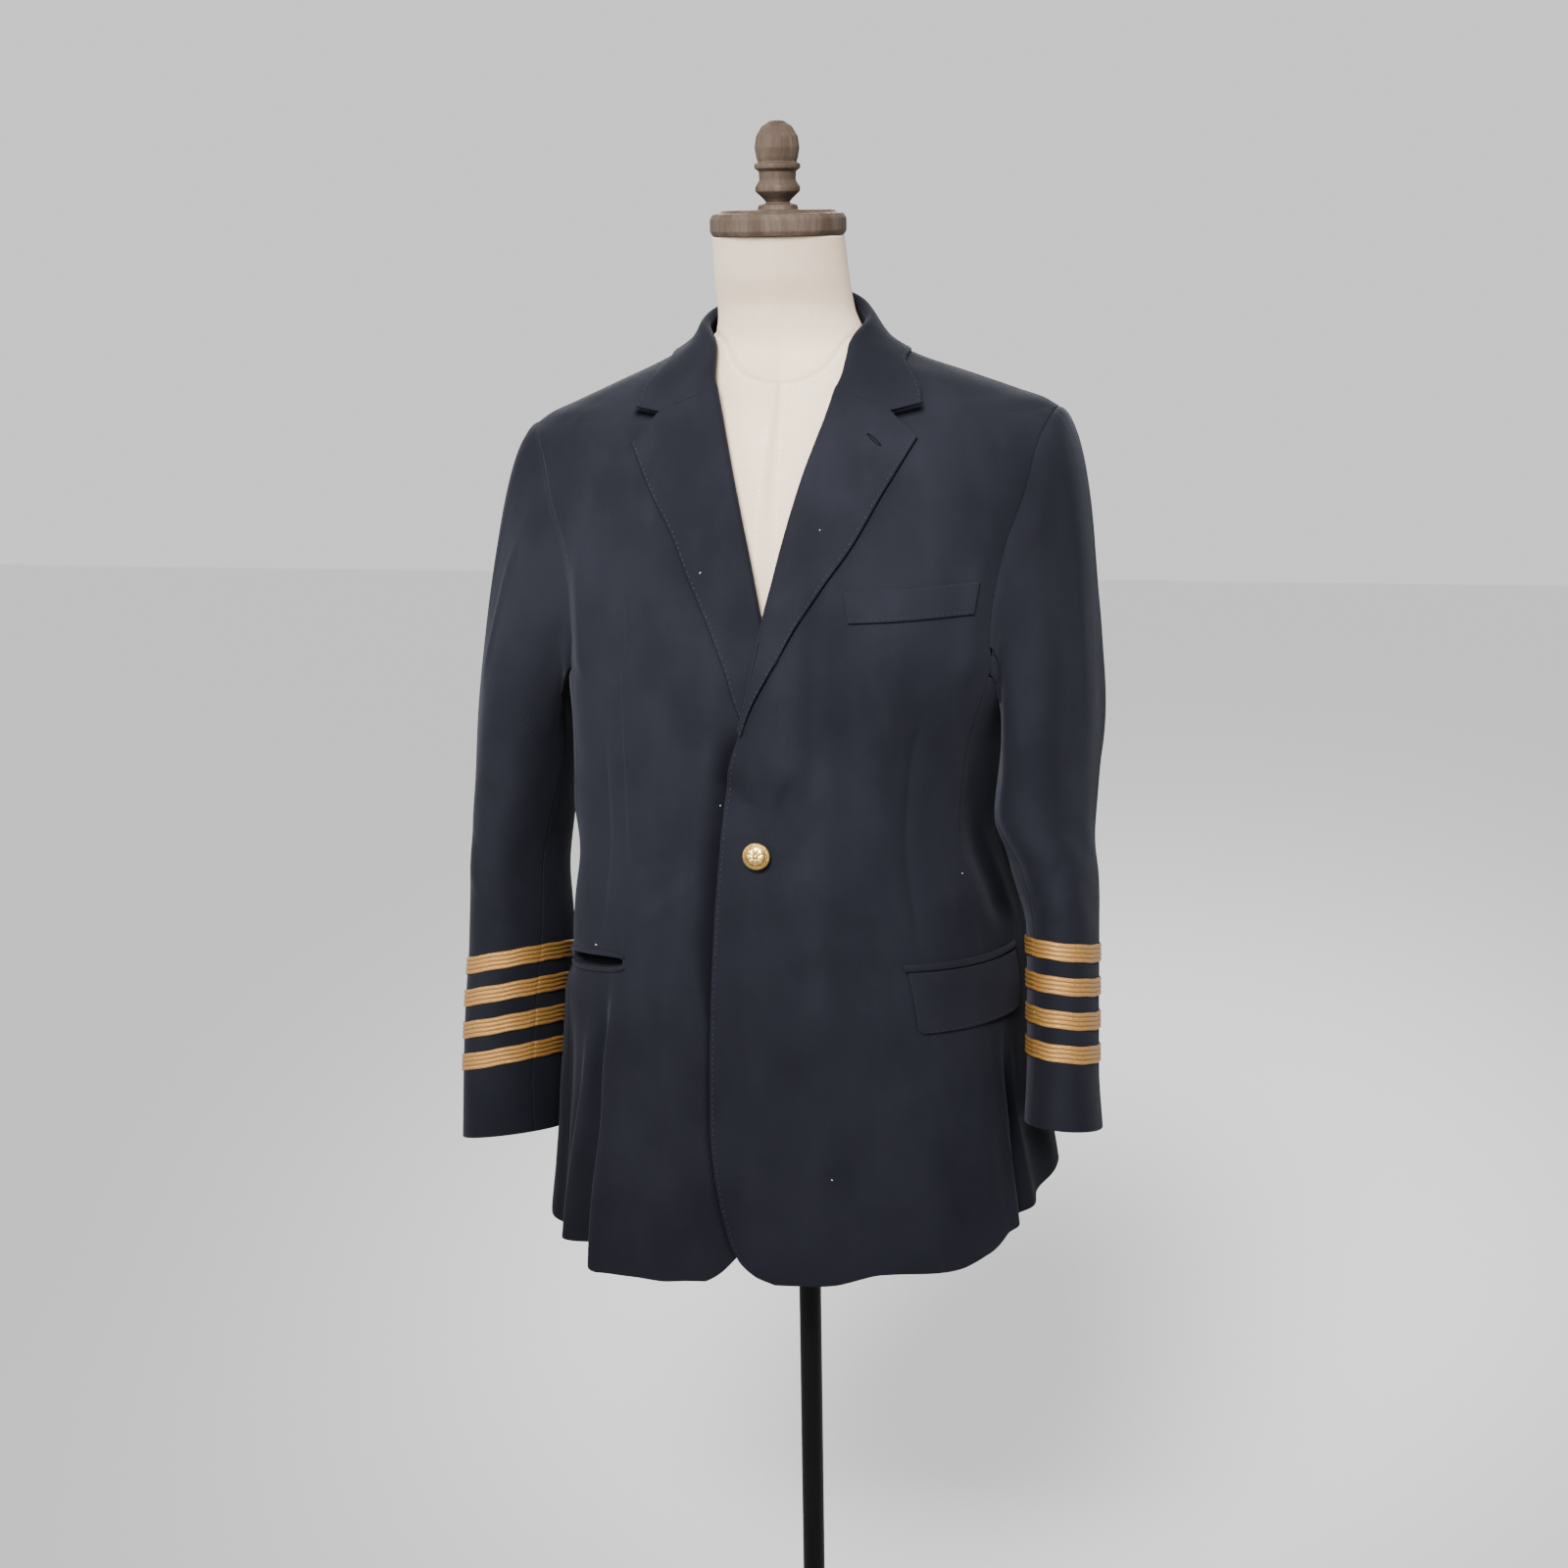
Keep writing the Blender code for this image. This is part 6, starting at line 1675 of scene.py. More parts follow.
    def steps(self) -> Array:
        """Return the steps of the finished surface: close at the armhole, even below, close at the cuff."""
        last = len(CAP_STEPS) - 1 + self.lower_rings
        rim = np.array([0.0006, 0.002, 0.005, 0.010]) * 2.5
        even = np.concatenate([np.arange(0.06, 8.0, 0.125), np.arange(8.0, last - 0.05, 0.10)])
        tuck = np.array([-1.0, -0.97, -0.9, -0.75, -0.55, -0.4, -0.25, -0.17, -0.1, -0.05])
        return np.concatenate([tuck, [0.0], rim, even, last - rim[::-1] * 1.3, [last]])

    def surface(self) -> tuple[Array, Array]:
        """Return the finished rings and their steps."""
        steps = self.steps()
        rings = self.plain(steps)
        normals = grid_normals(rings, ring=True)
        outward = rings[len(rings) // 2, 0] - rings[len(rings) // 2].mean(axis=0)
        normals *= np.sign(np.dot(normals[len(rings) // 2, 0], outward))
        return rings + normals * self.relief(rings, steps)[..., None], steps

    def cut(self, rings: Array, steps: Array, first: float, last: float, columns: int) -> Grid:
        """Cut one sleeve piece out of the rings between two shares round, each seam gap taken off."""
        middle = len(steps) // 2
        closed = np.concatenate([rings[middle], rings[middle][:1]])
        around = np.linalg.norm(np.diff(closed, axis=0), axis=1).sum()
        wide = 0.0020 * np.exp(-np.maximum(steps[:, None], 0.0) / 3.0)
        trim = (0.5 * SLEEVE_SEAM_GAP + wide) / around
        share = packed(columns, (last - first) * around)[None, :]
        at = (first + trim) * (1 - share) + (last - trim) * share
        points = read_rings(rings, at)
        outward = points[middle, columns // 2] - rings[middle].mean(axis=0)
        return Grid(points, outward)

    def cuff_band(self, number: int, rows: int) -> Array:
        """Return rings of the braid's own band, counted from the top one, from its top to its bottom."""
        centre = self.table[-1][0] + self.plain_cuff + (CUFF_BRAIDS - number) * BRAID_PITCH
        return np.stack([self.ring(centre + BRAID_WIDTH * (0.5 - k)) for k in np.linspace(0.0, 1.0, rows)])


def read_rings(rings: Array, shares: Array) -> Array:
    """Read closed rings of evenly spaced points, each at its own shares of the way round."""
    count = rings.shape[1]
    at = np.broadcast_to(shares, (len(rings), np.shape(shares)[-1])) * count
    low = np.floor(at).astype(int)
    part = (at - low)[..., None]
    row = np.arange(len(rings))[:, None]
    return rings[row, low % count] * (1 - part) + rings[row, (low + 1) % count] * part


SLEEVES = {
    Side.LEFT: Sleeve(Side.LEFT),
    Side.RIGHT: Sleeve(Side.RIGHT, forearm_seam=0.425, tilt_side=0.23, plain_cuff=0.0725),
}


@dataclass
class Braid:
    """A band of gilt lace round a cuff: wound cords side by side on a flat backing."""

    sleeve: Sleeve
    number: int
    rows: int = 41
    back_rows: int = 3
    cords: int = 4
    base: float = 0.0005
    height: float = 0.0011

    def build(self) -> bpy.types.Object:
        """Build the band as a closed ring, its cords outside and its backing on the cloth.

        A cord's rise over the backing is the square root of |sin(4 pi v)| across the band, with a
        ripple of 3 mm along the cord and slow unevenness, and it dips in the sleeve's two seams.
        """
        sleeve = self.sleeve
        across = np.linspace(0.0, 1.0, self.rows)
        band = sleeve.cuff_band(self.number, self.rows)
        count = band.shape[1]
        round_way = np.arange(count)[None, :] / count
        normals = self.outward(band)
        girth = np.linalg.norm(np.diff(band, axis=1), axis=-1).sum(axis=1).mean()
        run = round_way * girth
        v = across[:, None]
        cord = np.sqrt(np.abs(np.sin(math.pi * self.cords * v)))
        which = np.minimum(np.floor(v * self.cords), self.cords - 1)
        ripple = 1 + 0.07 * np.sin(math.tau * run / 0.0031 + which * 1.9 + self.number)
        ripple = ripple + 0.06 * np.sin(math.tau * run / 0.0117 + which * 2.6) + 0.05 * np.sin(which * 4.1)
        seams = np.zeros_like(run)
        for seam in (sleeve.forearm_seam, sleeve.hindarm_seam):
            away = (np.mod(round_way - seam + 0.5, 1.0) - 0.5) * girth
            seams = seams - 0.0009 * np.exp(-((away / 0.0014) ** 2))
        lift = 0.5 * WALL + self.base + 0.6 * seams + self.height * cord * ripple
        lift[[0, -1]] = 0.5 * WALL + 0.0004
        wobble = 0.00025 * np.sin(math.tau * run / 0.031 + self.number * 1.3)
        band[..., 2] += wobble
        outer = band + normals * lift[..., None]
        behind = sleeve.cuff_band(self.number, self.back_rows + 2)[::-1][1:-1]
        inner = behind + self.outward(behind) * (0.5 * WALL + 0.0002)
        points = np.concatenate([outer, inner])
        # Painted shade: the gaps between the cords and the band's edges darken towards the lace's gap colour, and the
        # backing behind is fully darkened.
        dark = np.clip(1.1 - 1.35 * cord, 0.0, 0.9) * np.ones_like(run)
        dark[[0, -1]] = 0.7
        depth = np.concatenate([dark, np.ones(inner.shape[:2])])
        index = np.arange(len(points) * count).reshape(len(points), count)
        index = close_ring(np.concatenate([index, index[:1]]))
        laid = np.concatenate([points, points[:1]])
        place = np.stack([close_ring(run + 0 * laid[..., 0]), close_ring(lengths_along(laid, 0))], axis=-1)
        place[:, -1, 0] = girth
        faces, uv = corners_of(index), corners_of(place)
        centre = band.mean(axis=(0, 1))
        a, b, c = points.reshape(-1, 3)[faces[0][:3]]
        if np.dot(np.cross(b - a, c - a), a - centre) < 0:
            faces, uv = faces[:, ::-1], uv[:, ::-1]
        name = f"lace_{sleeve.side.word}_{self.number}"
        item = make_mesh(name, points, [faces], GOLD_LACE, [uv], depth)
        return Piece(item, GOLD_LACE, (f"braid_{sleeve.side.word}_{self.number}",)).settle()

    def outward(self, band: Array) -> Array:
        """Return level outward normals of rings."""
        way = np.roll(band, -1, axis=1) - np.roll(band, 1, axis=1)
        normals = unit(np.stack([way[..., 1], -way[..., 0], 0.0 * way[..., 0]], axis=-1))
        side = np.sum(normals * (band - band.mean(axis=1, keepdims=True)), axis=-1, keepdims=True)
        return normals * np.sign(side)


@dataclass
class Sleeves:
    """Both sleeves, each a top sleeve and an under sleeve, with the braids round their cuffs."""

    top_columns: int = 150
    under_columns: int = 70

    def allowances(self, sleeve: Sleeve, rings: Array, steps: Array) -> list[bpy.types.Object]:
        """Lay the pressed-open seam allowance inside each of a sleeve's two seams."""
        strips = []
        keep = steps > 0.4
        for word, seam in (("forearm", sleeve.forearm_seam), ("hindarm", sleeve.hindarm_seam)):
            grid = sleeve.cut(rings[keep], steps[keep], seam - 0.026, seam + 0.026, 5)
            grid.points = grid.points - grid.oriented() * (LAYER + 0.0001)
            item = cloth_shell(f"allowance_{word}_{sleeve.side.word}", grid, NAVY, 0.0012)
            strips.append(trimming(item, NAVY))
        return strips

    def build(self) -> None:
        """Build four sleeve pieces and eight braids; the braids go with the top sleeves."""
        for side, sleeve in SLEEVES.items():
            rings, steps = sleeve.surface()
            word = side.word
            braids = [Braid(sleeve, number).build() for number in range(1, CUFF_BRAIDS + 1)]
            top = sleeve.cut(rings, steps, sleeve.hindarm_seam - 1.0, sleeve.forearm_seam, self.top_columns)
            under = sleeve.cut(rings, steps, sleeve.forearm_seam, sleeve.hindarm_seam, self.under_columns)
            for name, grid, on_it in (("top", top, braids), ("under", under, [])):
                node = f"{name}_sleeve_{word}"
                item = cloth_shell(f"wool_{node}", grid, NAVY)
                on_it = on_it + (self.allowances(sleeve, rings, steps) if name == "under" else [])
                rests_on = (f"wool_front_{word}", f"wool_back_{word}")
                Piece(item, NAVY, (node,), grid, Hold.HUNG, rests_on, on_it).settle()


@dataclass
class Patch:
    """A flat piece that lies on the body: corners as degrees and height, top edge then bottom edge."""

    name: str
    corners: Table
    round_off: float = 0.0
    crown: float = 0.0
    rows: int = 34
    columns: int = 90
    lift: float = LAYER + EASE_OVER_PANEL
    wall: float = WALL
    narrowing: float = 0.0
    bow: float = 0.0

    def grid(self) -> Grid:
        """Lay out the piece on the body; a rounded lower corner draws its rows in as a circle does.

        The crown adds crown * sin(pi v)^0.6 over the rows, so a narrow jet reads as a rolled edge. The
        narrowing draws both ends together, and the bow lifts the middle.
        """
        (a0, h0), (a1, h1), (a2, h2), (a3, h3) = self.corners
        down = packed(self.rows, abs(h0 - h3))[:, None] + 0.0 * packed(self.columns, 0.19)
        drop = (h0 - h3) * (1 - down)
        reach = np.maximum(self.round_off - drop, 0.0)
        inset = self.round_off - np.sqrt(np.maximum(self.round_off**2 - reach**2, 0.0))
        width = abs(a1 - a0) * math.pi / 180 * 0.19
        across = inset / width + packed(self.columns, width)[None, :] * (1 - 2 * inset / width)
        angle = np.radians((a0 + (a1 - a0) * across) * (1 - down) + (a3 + (a2 - a3) * across) * down)
        ends = 1 - self.narrowing * np.abs(2 * across - 1) ** 8
        part = 0.5 + (down - 0.5) * ends
        height = (h0 + (h1 - h0) * across) * (1 - part) + (h3 + (h2 - h3) * across) * part
        height = height + self.bow * (1 - (2 * across - 1) ** 4)
        lift = self.lift + self.crown * np.sin(math.pi * down) ** 0.6 + 0.0 * across
        return Grid(BODY.point(angle, height, lift), BODY.normal(angle, height))


@dataclass
class Pockets:
    """The breast welt, the flap with its jet, and the two jets of the pocket whose flap is inside."""

    def patches(self) -> list[Patch]:
        """Return the five pieces."""
        welt = [(0.0658, 1.2917), (0.1665, 1.2942), (0.1628, 1.2690), (0.0698, 1.2669)]
        turned = [(math.degrees(float(BODY.angle_at(x, height))), height) for x, height in welt]
        return [
            Patch("breast_welt", turned),
            Patch("pocket_flap", [(34.3, 0.9790), (80.0, 0.9705), (81.0, 0.9205), (35.8, 0.9268)], 0.005, 0.0006),
            Patch("flap_jet", [(33.0, 0.9858), (80.0, 0.9780), (80.0, 0.9722), (33.4, 0.9802)], 0.0, 0.0009, 10),
            self.jet("jet_upper", 0.0076, 0.0024),
            self.jet("jet_lower", -0.0068, -0.0024),
        ]

    def jet(self, name: str, above: float, bow: float) -> Patch:
        """Return one jet of the open pocket: a narrow roll above or below the mouth's middle."""
        high, low = above + 0.0019, above - 0.0019
        front, side = float(mouth_middle(0.0)), float(mouth_middle(1.0))
        corners = [(-29.6, front + high - bow), (-59.8, side + high - bow), (-59.8, side + low - bow),
                   (-29.6, front + low - bow)]
        return Patch(name, corners, 0.0, 0.0006, 12, lift=0.0018, wall=0.0012, narrowing=0.70, bow=bow)

    def build(self) -> None:
        """Build the pieces and the stitches on the welt and the flap."""
        for patch in self.patches():
            grid = patch.grid()
            item = cloth_shell(f"wool_{patch.name}", grid, NAVY, patch.wall, 0.0012)
            front = "wool_front_right" if patch.name in ("jet_upper", "jet_lower") else "wool_front_left"
            sewing = []
            if patch.name in ("breast_welt", "pocket_flap"):
                path, normals = border_row(grid, Border.LAST_ROW, 0.0026, 0.5 * WALL)
                row = stitches(f"pick_stitches_{patch.name}", path[3:-3], normals[3:-3], NAVY_THREAD, 0.005, 0.001, 0.0003)
                sewing.append(trimming(row, NAVY_THREAD))
            width, length, area = grid.flat_size()
            if min(width, length) < 0.010:
                Piece(item, NAVY, (patch.name,)).settle()
                continue
            Piece(item, NAVY, (patch.name,), grid, Hold.LAID, (front,), sewing).settle()


def loft(name: str, rings: Array, finish: Finish, depth: Array | None = None) -> bpy.types.Object:
    """Make a closed solid from rings, lowest or highest first, with a point closing each end.

    Args:
        name: The piece's name.
        rings: Points as (ring, place round, xyz), all rings with as many points.
        finish: The finish.
        depth: How deep in a groove each point lies, or None.

    Returns:
        The object, its faces turned outwards.
    """
    count, around = rings.shape[:2]
    index = close_ring(np.arange(count * around).reshape(count, around))
    laid = close_ring(rings)
    place = np.stack([lengths_along(laid, 1), lengths_along(laid, 0)], axis=-1)
    walls, uv = corners_of(index), corners_of(place)
    ends = rings[[0, -1]].mean(axis=1)
    tips = count * around + np.arange(2)
    lid = np.stack([np.full(around, tips[0]), index[0, 1:], index[0, :-1]], axis=-1)
    floor = np.stack([np.full(around, tips[1]), index[-1, :-1], index[-1, 1:]], axis=-1)
    caps = np.concatenate([lid, floor])
    points = np.concatenate([rings.reshape(-1, 3), ends])
    middle = count // 2
    one = rings[middle, 1] - rings[middle, 0]
    two = rings[min(middle + 1, count - 1), 0] - rings[middle, 0]
    if np.dot(np.cross(one, two), rings[middle, 0] - rings[middle].mean(axis=0)) < 0:
        walls, uv, caps = walls[:, ::-1], uv[:, ::-1], caps[:, ::-1]
    flat = points[caps][..., :2]
    values = np.zeros((count, around)) if depth is None else np.broadcast_to(depth, (count, around))
    values = np.concatenate([values.ravel(), np.zeros(2)])
    return make_mesh(name, points, [walls, caps], finish, [uv, flat], values)


def dense_profile(profile: Table, step: float, soft: float) -> Array:
    """Cut a turned profile into short steps, with its corners rounded.

    Args:
        profile: Rows of radius and height, top to bottom.
        step: The longest step.
        soft: How far each corner is rounded, as the width of a moving average.

    Returns:
        Rows of radius and height.
    """
    rows = np.array([tuple(row) for row in profile], dtype=float)
    run = np.concatenate([[0.0], np.cumsum(np.linalg.norm(np.diff(rows, axis=0), axis=1))])
    bends = (run[1:-1, None] + soft * np.linspace(-1.6, 1.6, 7)[None, :]).ravel()
    at = np.unique(np.clip(np.concatenate([np.arange(0.0, run[-1], step), bends]), 0.0, run[-1]))
    at = np.append(at[:-1][np.diff(at) > 0.15 * soft], run[-1])
    shifts = np.linspace(-soft, soft, 9)
    places = np.clip(at[:, None] + shifts[None, :], 0.0, run[-1])
    smooth = np.stack([np.interp(places, run, rows[:, k]).mean(axis=1) for k in range(2)], axis=1)
    smooth[0], smooth[-1] = rows[0], rows[-1]
    smooth[:, 0] = np.maximum(smooth[:, 0], 1e-5)
    return smooth


@dataclass
class Button:
    """A gilt button: a domed face with a beaded border and a plain eight-leaved rosette, on a shank."""

    place: tuple[float, float] = (-0.001, 1.081)
    radius: float = 0.0115
    around: int = 192

    def seat(self) -> tuple[Array, Array]:
        """Return the point on the left front where the shank stands and the cloth's normal there."""
        x, height = (np.array([value]) for value in self.place)
        angle = BODY.angle_at(x, height)
        lift = overlap_lift(x, height) + 0.5 * WALL + SEAM_GAP
        return BODY.point(angle, height, lift)[0], BODY.normal(angle, height)[0]

    def relief(self, share: Array, turn: Array) -> Array:
        """Return the face's relief over the dome, for the share of the radius and the angle.

        Beads run round the rim, a cord lies inside them, and eight leaves rise round a boss.
        """
        beads_rise = 0.00032 * bell(share, 0.900, 0.045) * np.abs(np.sin(turn * 24)) ** 0.7
        cord = 0.00026 * bell(share, 0.775, 0.030) * (1 + 0.35 * np.sin(turn * 40))
        leaf = np.abs(np.cos(turn * 4)) ** 0.8 * ease(share, 0.16, 0.24) * ease(share, 0.70, 0.44)
        vein = 1 - 0.35 * bell(np.mod(turn * 4 / math.pi + 0.5, 1.0), 0.5, 0.05)
        boss = 0.00045 * ease(share, 0.17, 0.06)
        return beads_rise + cord + 0.00050 * leaf * vein + boss - 0.00015 * bell(share, 0.83, 0.025)

    def build(self) -> None:
        """Build the button: face rows from its middle out, then its rim, back and shank."""
        turn = np.linspace(0.0, math.tau, self.around + 1)[:-1][None, :]
        share = np.linspace(0.012, 1.0, 70)[:, None]
        dome = 0.0055 + 0.0036 * np.sqrt(np.maximum(1 - share**2, 0.0))
        rise = self.relief(share, turn)
        fall = ease(share, 1.0, 0.93)
        radius = self.radius * share + 0 * turn
        top = dome + rise * fall
        rim = [(1.0, 0.0052), (0.995, 0.0046), (0.965, 0.0041), (0.9, 0.0038), (0.5, 0.0034), (0.28, 0.0031)]
        under = [(self.radius * k, level) for k, level in rim] + [(0.0032, 0.0026), (0.0030, 0.0008), (0.0029, 0.0)]
        levels = np.array(under)
        radius = np.concatenate([radius, levels[:, :1] + 0 * turn])
        level = np.concatenate([top, levels[:, 1:] + 0 * turn])
        deep = np.clip(1.0 - rise / 0.00026, 0.0, 1.0) * ease(share, 0.97, 0.93)
        depth = np.concatenate([deep, 0.8 + 0 * levels[:, :1] + 0 * turn])
        seat, normal = self.seat()
        level_way = unit(np.array([-normal[1], normal[0], 0.0]))
        upright = np.cross(normal, level_way)
        rings = seat + radius[..., None] * (np.cos(turn)[..., None] * level_way + np.sin(turn)[..., None] * upright)
        rings = rings + level[..., None] * normal
        item = loft("gilt_button", rings, GILT, depth)
        Piece(item, GILT, ("button",)).settle()
        self.sew(seat, normal, level_way, upright)

    def sew(self, seat: Array, normal: Array, level_way: Array, upright: Array) -> None:
        """Wind a short thread neck round the shank's foot."""
        turns = np.linspace(0.0, math.tau * 5, 121)[:-1]
        centre = seat + 0.0033 * (np.cos(turns)[:, None] * level_way + np.sin(turns)[:, None] * upright)
        centre = centre + normal * (0.0004 + 0.00035 * turns / math.tau)[:, None]
        out = unit(centre - seat - normal * np.sum((centre - seat) * normal, axis=1, keepdims=True))
        along = np.cross(normal, out) * 0.0007
        item = beads("button_thread", centre, along, out * 0.00025, np.broadcast_to(normal, out.shape) * 0.00025,
                     NAVY_THREAD)
        trimming(item, NAVY_THREAD)


@dataclass
class DressForm:
    """The linen-covered torso and neck, with a centre front seam and a seam round the neck's foot."""

    around: int = 200
    rows: int = 240
    sections: Table = FORM_SECTIONS

    def point(self, angle: Array, height: Array) -> Array:
        """Return points of the form: rounded sections like the body surface's, on their own centres."""
        half, front, back, power, centre_x, centre_y = (
            read_table(height, self.sections, k) for k in range(1, 7)
        )
        sine, cosine = np.sin(angle), np.cos(angle)
        x = centre_x + half * np.sign(sine) * np.abs(sine) ** (2 / power)
        y = centre_y + np.where(cosine > 0, -front, back) * np.abs(cosine) ** (2 / power)
        return np.stack([x, y, height + BODY.lean(x, height)], axis=-1)

    def neck_seam(self, angle: Array) -> Array:
        """Return the height of the seam round the neck's foot: lowest in front, higher behind."""
        turn = np.mod(angle + math.pi, math.tau) - math.pi
        return 1.4930 - 0.0400 * bell(turn, 0.0, 0.62)

    def build(self) -> None:
        """Build the form and the stitches beside its two seams."""
        rise = np.linspace(0.0, 1.0, self.rows)
        low, top = self.sections[0][0], self.sections[-1][0]
        keys = np.array([low, 0.8015, 0.8045, 0.83, 1.38, 1.43, 1.50, top])
        heights = np.interp(rise, [0.0, 0.02, 0.05, 0.10, 0.50, 0.62, 0.84, 1.0], keys)[:, None]
        angle = np.linspace(0.0, math.tau, self.around + 1)[:-1][None, :]
        squeeze = 0.012 * np.sin(angle)
        angle = angle - squeeze * 4
        rings = self.point(angle, heights + 0 * angle)
        normals = grid_normals(rings, ring=True)
        normals *= np.sign(np.dot(normals[120, 0], rings[120, 0] - rings[120].mean(axis=0)))
        across = np.abs(rings[..., 0] + 0.003)
        front = np.cos(angle) > 0
        middle = np.where(front, bell(across, 0.0, 0.0011), bell(across, 0.0, 0.0011)) * ease(heights, 0.80, 0.84)
        middle = middle * ease(heights, self.neck_seam(angle) + 0.004, self.neck_seam(angle) - 0.002)
        round_neck = bell(heights - self.neck_seam(angle), 0.0, 0.0011)
        groove = np.maximum(middle, round_neck)
        puff = 0.0005 * bell(across, 0.0, 0.006) * (1 - middle)
        rings = rings + normals * (puff - 0.0008 * groove)[..., None]
        item = loft("linen_form", rings, LINEN, groove)
        Piece(item, LINEN, ("dress_form",)).settle()
        self.sew()

    def sew(self) -> None:
        """Sew a row of stitches on each side of the centre front seam and under the neck's seam."""
        heights = np.linspace(1.1, 1.446, 200)
        rows = []
        for shift in (-0.0032, 0.0032):
            angle = np.full(200, shift / 0.10)
            rows.append((f"form_stitches_{'left' if shift > 0 else 'right'}", angle, heights))
        around = np.linspace(-1.4, 1.4, 200)
        rows.append(("form_stitches_neck", around, self.neck_seam(around) - 0.0032))
        for name, angle, height in rows:
            path = self.point(angle, height)
            across = self.point(angle + 0.01, height) - self.point(angle - 0.01, height)
            upward = self.point(angle, height + 0.001) - self.point(angle, height - 0.001)
            normals = unit(np.cross(across, upward))
            normals *= np.sign(np.dot(normals[100], path[100] - np.array([0.0, 0.0, path[100][2]])))
            trimming(stitches(name, path, normals, LINEN_THREAD, 0.0048, 0.0013, 0.00032), LINEN_THREAD)


@dataclass
class Stand:
    """The wooden neck cap with its finial, and the black pole on its round base."""

    around: int = 96
    pole_radius: float = 0.010
    base_radius: float = 0.165
    base_thick: float = 0.010

    def turn(self, name: str, profile: Array, centre: tuple[float, float], finish: Finish, node: str) -> None:
        """Turn a profile about an upright axis and settle the piece."""
        angle = np.linspace(0.0, math.tau, self.around + 1)[:-1][None, :]
        radius, height = profile[:, :1], profile[:, 1:] + 0 * angle
        rings = np.stack([centre[0] + radius * np.sin(angle), centre[1] - radius * np.cos(angle), height], axis=-1)
        turned_way = np.gradient(profile[:, 0])
        bend = np.abs(np.gradient(np.unwrap(np.arctan2(np.gradient(profile[:, 1]), turned_way))))
        inward = np.convolve(bend, np.ones(5) / 5, mode="same")
        depth = np.clip(inward * 1.4 - 0.08, 0.0, 0.7)[:, None] if finish is WOOD else None
        Piece(loft(name, rings, finish, depth), finish, (node,)).settle()

    def build(self) -> None:
        """Build both turned pieces."""
        cap_top = NECK_TOP + SEAM_GAP + 0.021
        finial = [(0.0, 0.0720), (0.006, 0.0712), (0.0125, 0.0670), (0.0172, 0.0590), (0.0185, 0.0500),
                  (0.0172, 0.0420), (0.0160, 0.0385), (0.0190, 0.0370), (0.0190, 0.0335),
                  (0.0155, 0.0310), (0.0150, 0.0240), (0.0185, 0.0185), (0.0185, 0.0150),
                  (0.0120, 0.0090), (0.0095, 0.0060), (0.0160, 0.0040), (0.0170, 0.0)]
        cap = [(0.046, 0.0), (0.049, -0.0025), (0.054, -0.003), (0.0565, -0.007), (0.0565, -0.017),
               (0.054, -0.021), (0.0, -0.021)]
        profile = dense_profile([(r, cap_top + h) for r, h in finial + cap], 0.003, 0.0009)
        self.turn("turned_cap_and_finial", profile, NECK_CENTRE, WOOD, "neck_cap")
        pole_top, socket_top = FORM_BOTTOM - SEAM_GAP, self.base_thick + 0.040
        steel = [(0.0, pole_top), (self.pole_radius, pole_top), (self.pole_radius, socket_top), (0.018, socket_top),
                 (0.019, socket_top - 0.001), (0.019, 0.022), (0.024, 0.014),
                 (self.base_radius - 0.006, self.base_thick), (self.base_radius, self.base_thick - 0.004),
                 (self.base_radius, 0.0), (0.0, 0.0)]
        self.turn("painted_pole_and_base", dense_profile(steel, 0.03, 0.0010), (0.0, 0.0), PAINT, "pole_and_base")


@dataclass
class Lint:
    """Pale specks of lint on the cloth: x, height and length."""

    specks: Table = (
        (-0.150, 0.988, 0.0030), (0.045, 1.339, 0.0014), (-0.051, 1.305, 0.0018), (0.057, 0.805, 0.0018),
        (-0.155, 0.834, 0.0015), (-0.033, 1.1196, 0.0012), (0.155, 1.051, 0.0011),
    )

    def build(self) -> None:
        """Lay each speck on the outermost cloth, turned its own way."""
        table = np.array(self.specks)
        x, height, size = table.T
        angle = BODY.angle_at(x, height)
        normal = BODY.normal(angle, height)
        lift = overlap_lift(x, height) * (x > -0.03) + 0.5 * WALL + 0.0002
        lapel = (height > 1.25) & (np.abs(x) < 0.10)
        centre = BODY.point(angle, height, lift + np.where(lapel, 2 * LAYER + 0.0002, 0.0))
        turn = np.arange(len(x)) * 1.9
        level = unit(np.stack([-normal[:, 1], normal[:, 0], 0 * x], axis=1))
        upright = np.cross(normal, level)
        along = np.cos(turn)[:, None] * level + np.sin(turn)[:, None] * upright
        across = np.cross(normal, along)
        item = beads("lint_specks", centre, along * size[:, None] * 0.5, across * 0.00035, normal * 0.0003, LINT)
        trimming(item, LINT)


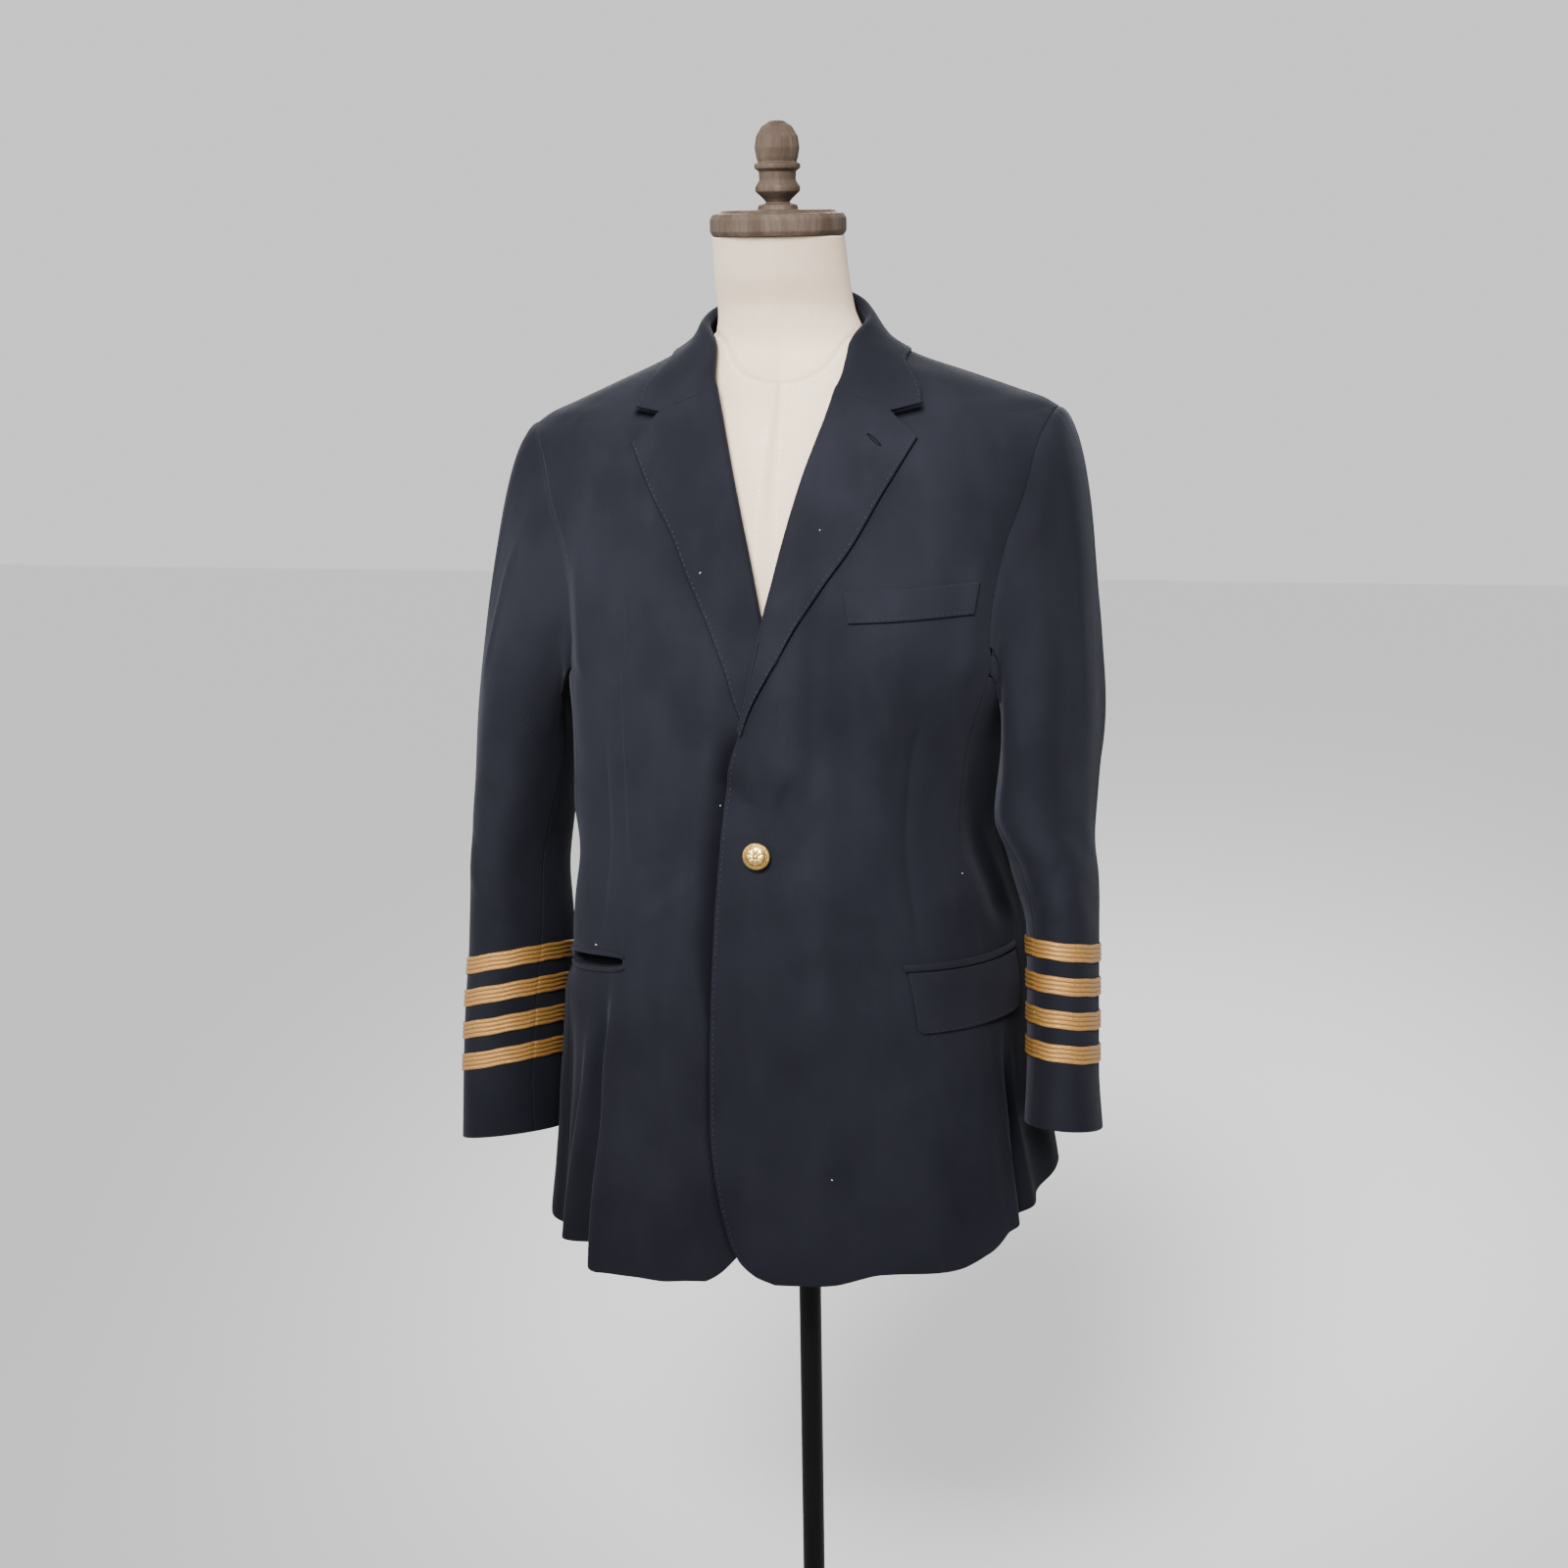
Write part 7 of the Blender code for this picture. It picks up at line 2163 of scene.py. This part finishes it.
@dataclass
class Studio:
    """A plain pale floor, soft lights and the photograph's camera."""

    azimuth: float = 12.0
    elevation: float = 12.5
    distance: float = 2.3
    target_height: float = 1.10
    metres_per_pixel: float = 0.00086
    shift_pixels: float = 19.5
    roll: float = 0.9

    def floor(self) -> None:
        """Lay a large pale floor just under the base."""
        mesh = bpy.data.meshes.new("studio_floor")
        corners = [(-9.0, -9.0, -0.0006), (9.0, -9.0, -0.0006), (9.0, 9.0, -0.0006), (-9.0, 9.0, -0.0006)]
        mesh.from_pydata(corners, [], [(0, 1, 2, 3)])
        pale = bpy.data.materials.new("pale floor")
        pale.use_nodes = True
        shader = pale.node_tree.nodes["Principled BSDF"]
        shader.inputs["Base Color"].default_value = (0.86, 0.86, 0.865, 1.0)
        shader.inputs["Roughness"].default_value = 0.85
        mesh.materials.append(pale)
        item = bpy.data.objects.new("studio_floor", mesh)
        bpy.context.scene.collection.objects.link(item)

    def light(
        self, name: str, place: tuple[float, float, float], size: float, power: float, spread: float
    ) -> None:
        """Hang one square soft light that looks at the jacket's chest and spreads by this angle."""
        lamp = bpy.data.lights.new(name, "AREA")
        lamp.shape = "SQUARE"
        lamp.size = size
        lamp.energy = power
        lamp.spread = spread
        item = bpy.data.objects.new(name, lamp)
        toward = Vector((0.0, 0.0, 1.40)) - Vector(place)
        item.location = place
        item.rotation_euler = toward.to_track_quat("-Z", "Y").to_euler()
        bpy.context.scene.collection.objects.link(item)

    def camera(self) -> None:
        """Set the camera at the photograph's angle, rolled as it was held."""
        azimuth, elevation, roll = (math.radians(v) for v in (self.azimuth, self.elevation, self.roll))
        back = np.array([math.sin(azimuth) * math.cos(elevation), -math.cos(azimuth) * math.cos(elevation),
                         math.sin(elevation)])
        right = np.array([math.cos(azimuth), math.sin(azimuth), 0.0])
        upward = np.cross(back, right)
        shift = self.shift_pixels * self.metres_per_pixel
        target = -shift * right + np.array([0.0, 0.0, self.target_height])
        place = target + self.distance * back
        rolled_right = math.cos(roll) * right - math.sin(roll) * upward
        rolled_up = math.sin(roll) * right + math.cos(roll) * upward
        matrix = np.eye(4)
        matrix[:3, 0], matrix[:3, 1], matrix[:3, 2], matrix[:3, 3] = rolled_right, rolled_up, back, place
        lens = bpy.data.cameras.new("photo_camera")
        lens.sensor_width = 36.0
        lens.lens = self.distance / (self.metres_per_pixel * 1600.0) * 36.0
        item = bpy.data.objects.new("photo_camera", lens)
        item.matrix_world = Matrix(matrix.tolist())
        bpy.context.scene.collection.objects.link(item)
        bpy.context.scene.camera = item

    def build(self) -> None:
        """Set up the floor, the white surround, the lights and the camera."""
        self.floor()
        world = bpy.data.worlds.new("white surround")
        world.use_nodes = True
        world.node_tree.nodes["Background"].inputs["Color"].default_value = (1.0, 1.0, 1.0, 1.0)
        world.node_tree.nodes["Background"].inputs["Strength"].default_value = 1.0
        bpy.context.scene.world = world
        self.light("key light", (-0.05, -2.20, 2.80), 1.2, 19.0, 0.50)
        self.light("left light", (-2.3, -1.7, 2.2), 1.5, 5.6, 0.6)
        self.light("right light", (2.3, -2.0, 2.2), 1.5, 2.2, 0.6)
        self.light("back light", (-0.6, 2.8, 2.3), 1.5, 9.0, 0.7)
        self.camera()


def main() -> None:
    """Build every piece in order, then the studio."""
    logging.basicConfig(level=logging.INFO, format="%(name)s: %(message)s")
    DressForm().build()
    Stand().build()
    Panels().build()
    Sleeves().build()
    Lapels().build()
    Collar().build()
    Pockets().build()
    Button().build()
    Lint().build()
    Studio().build()


if __name__ == "__main__":
    main()
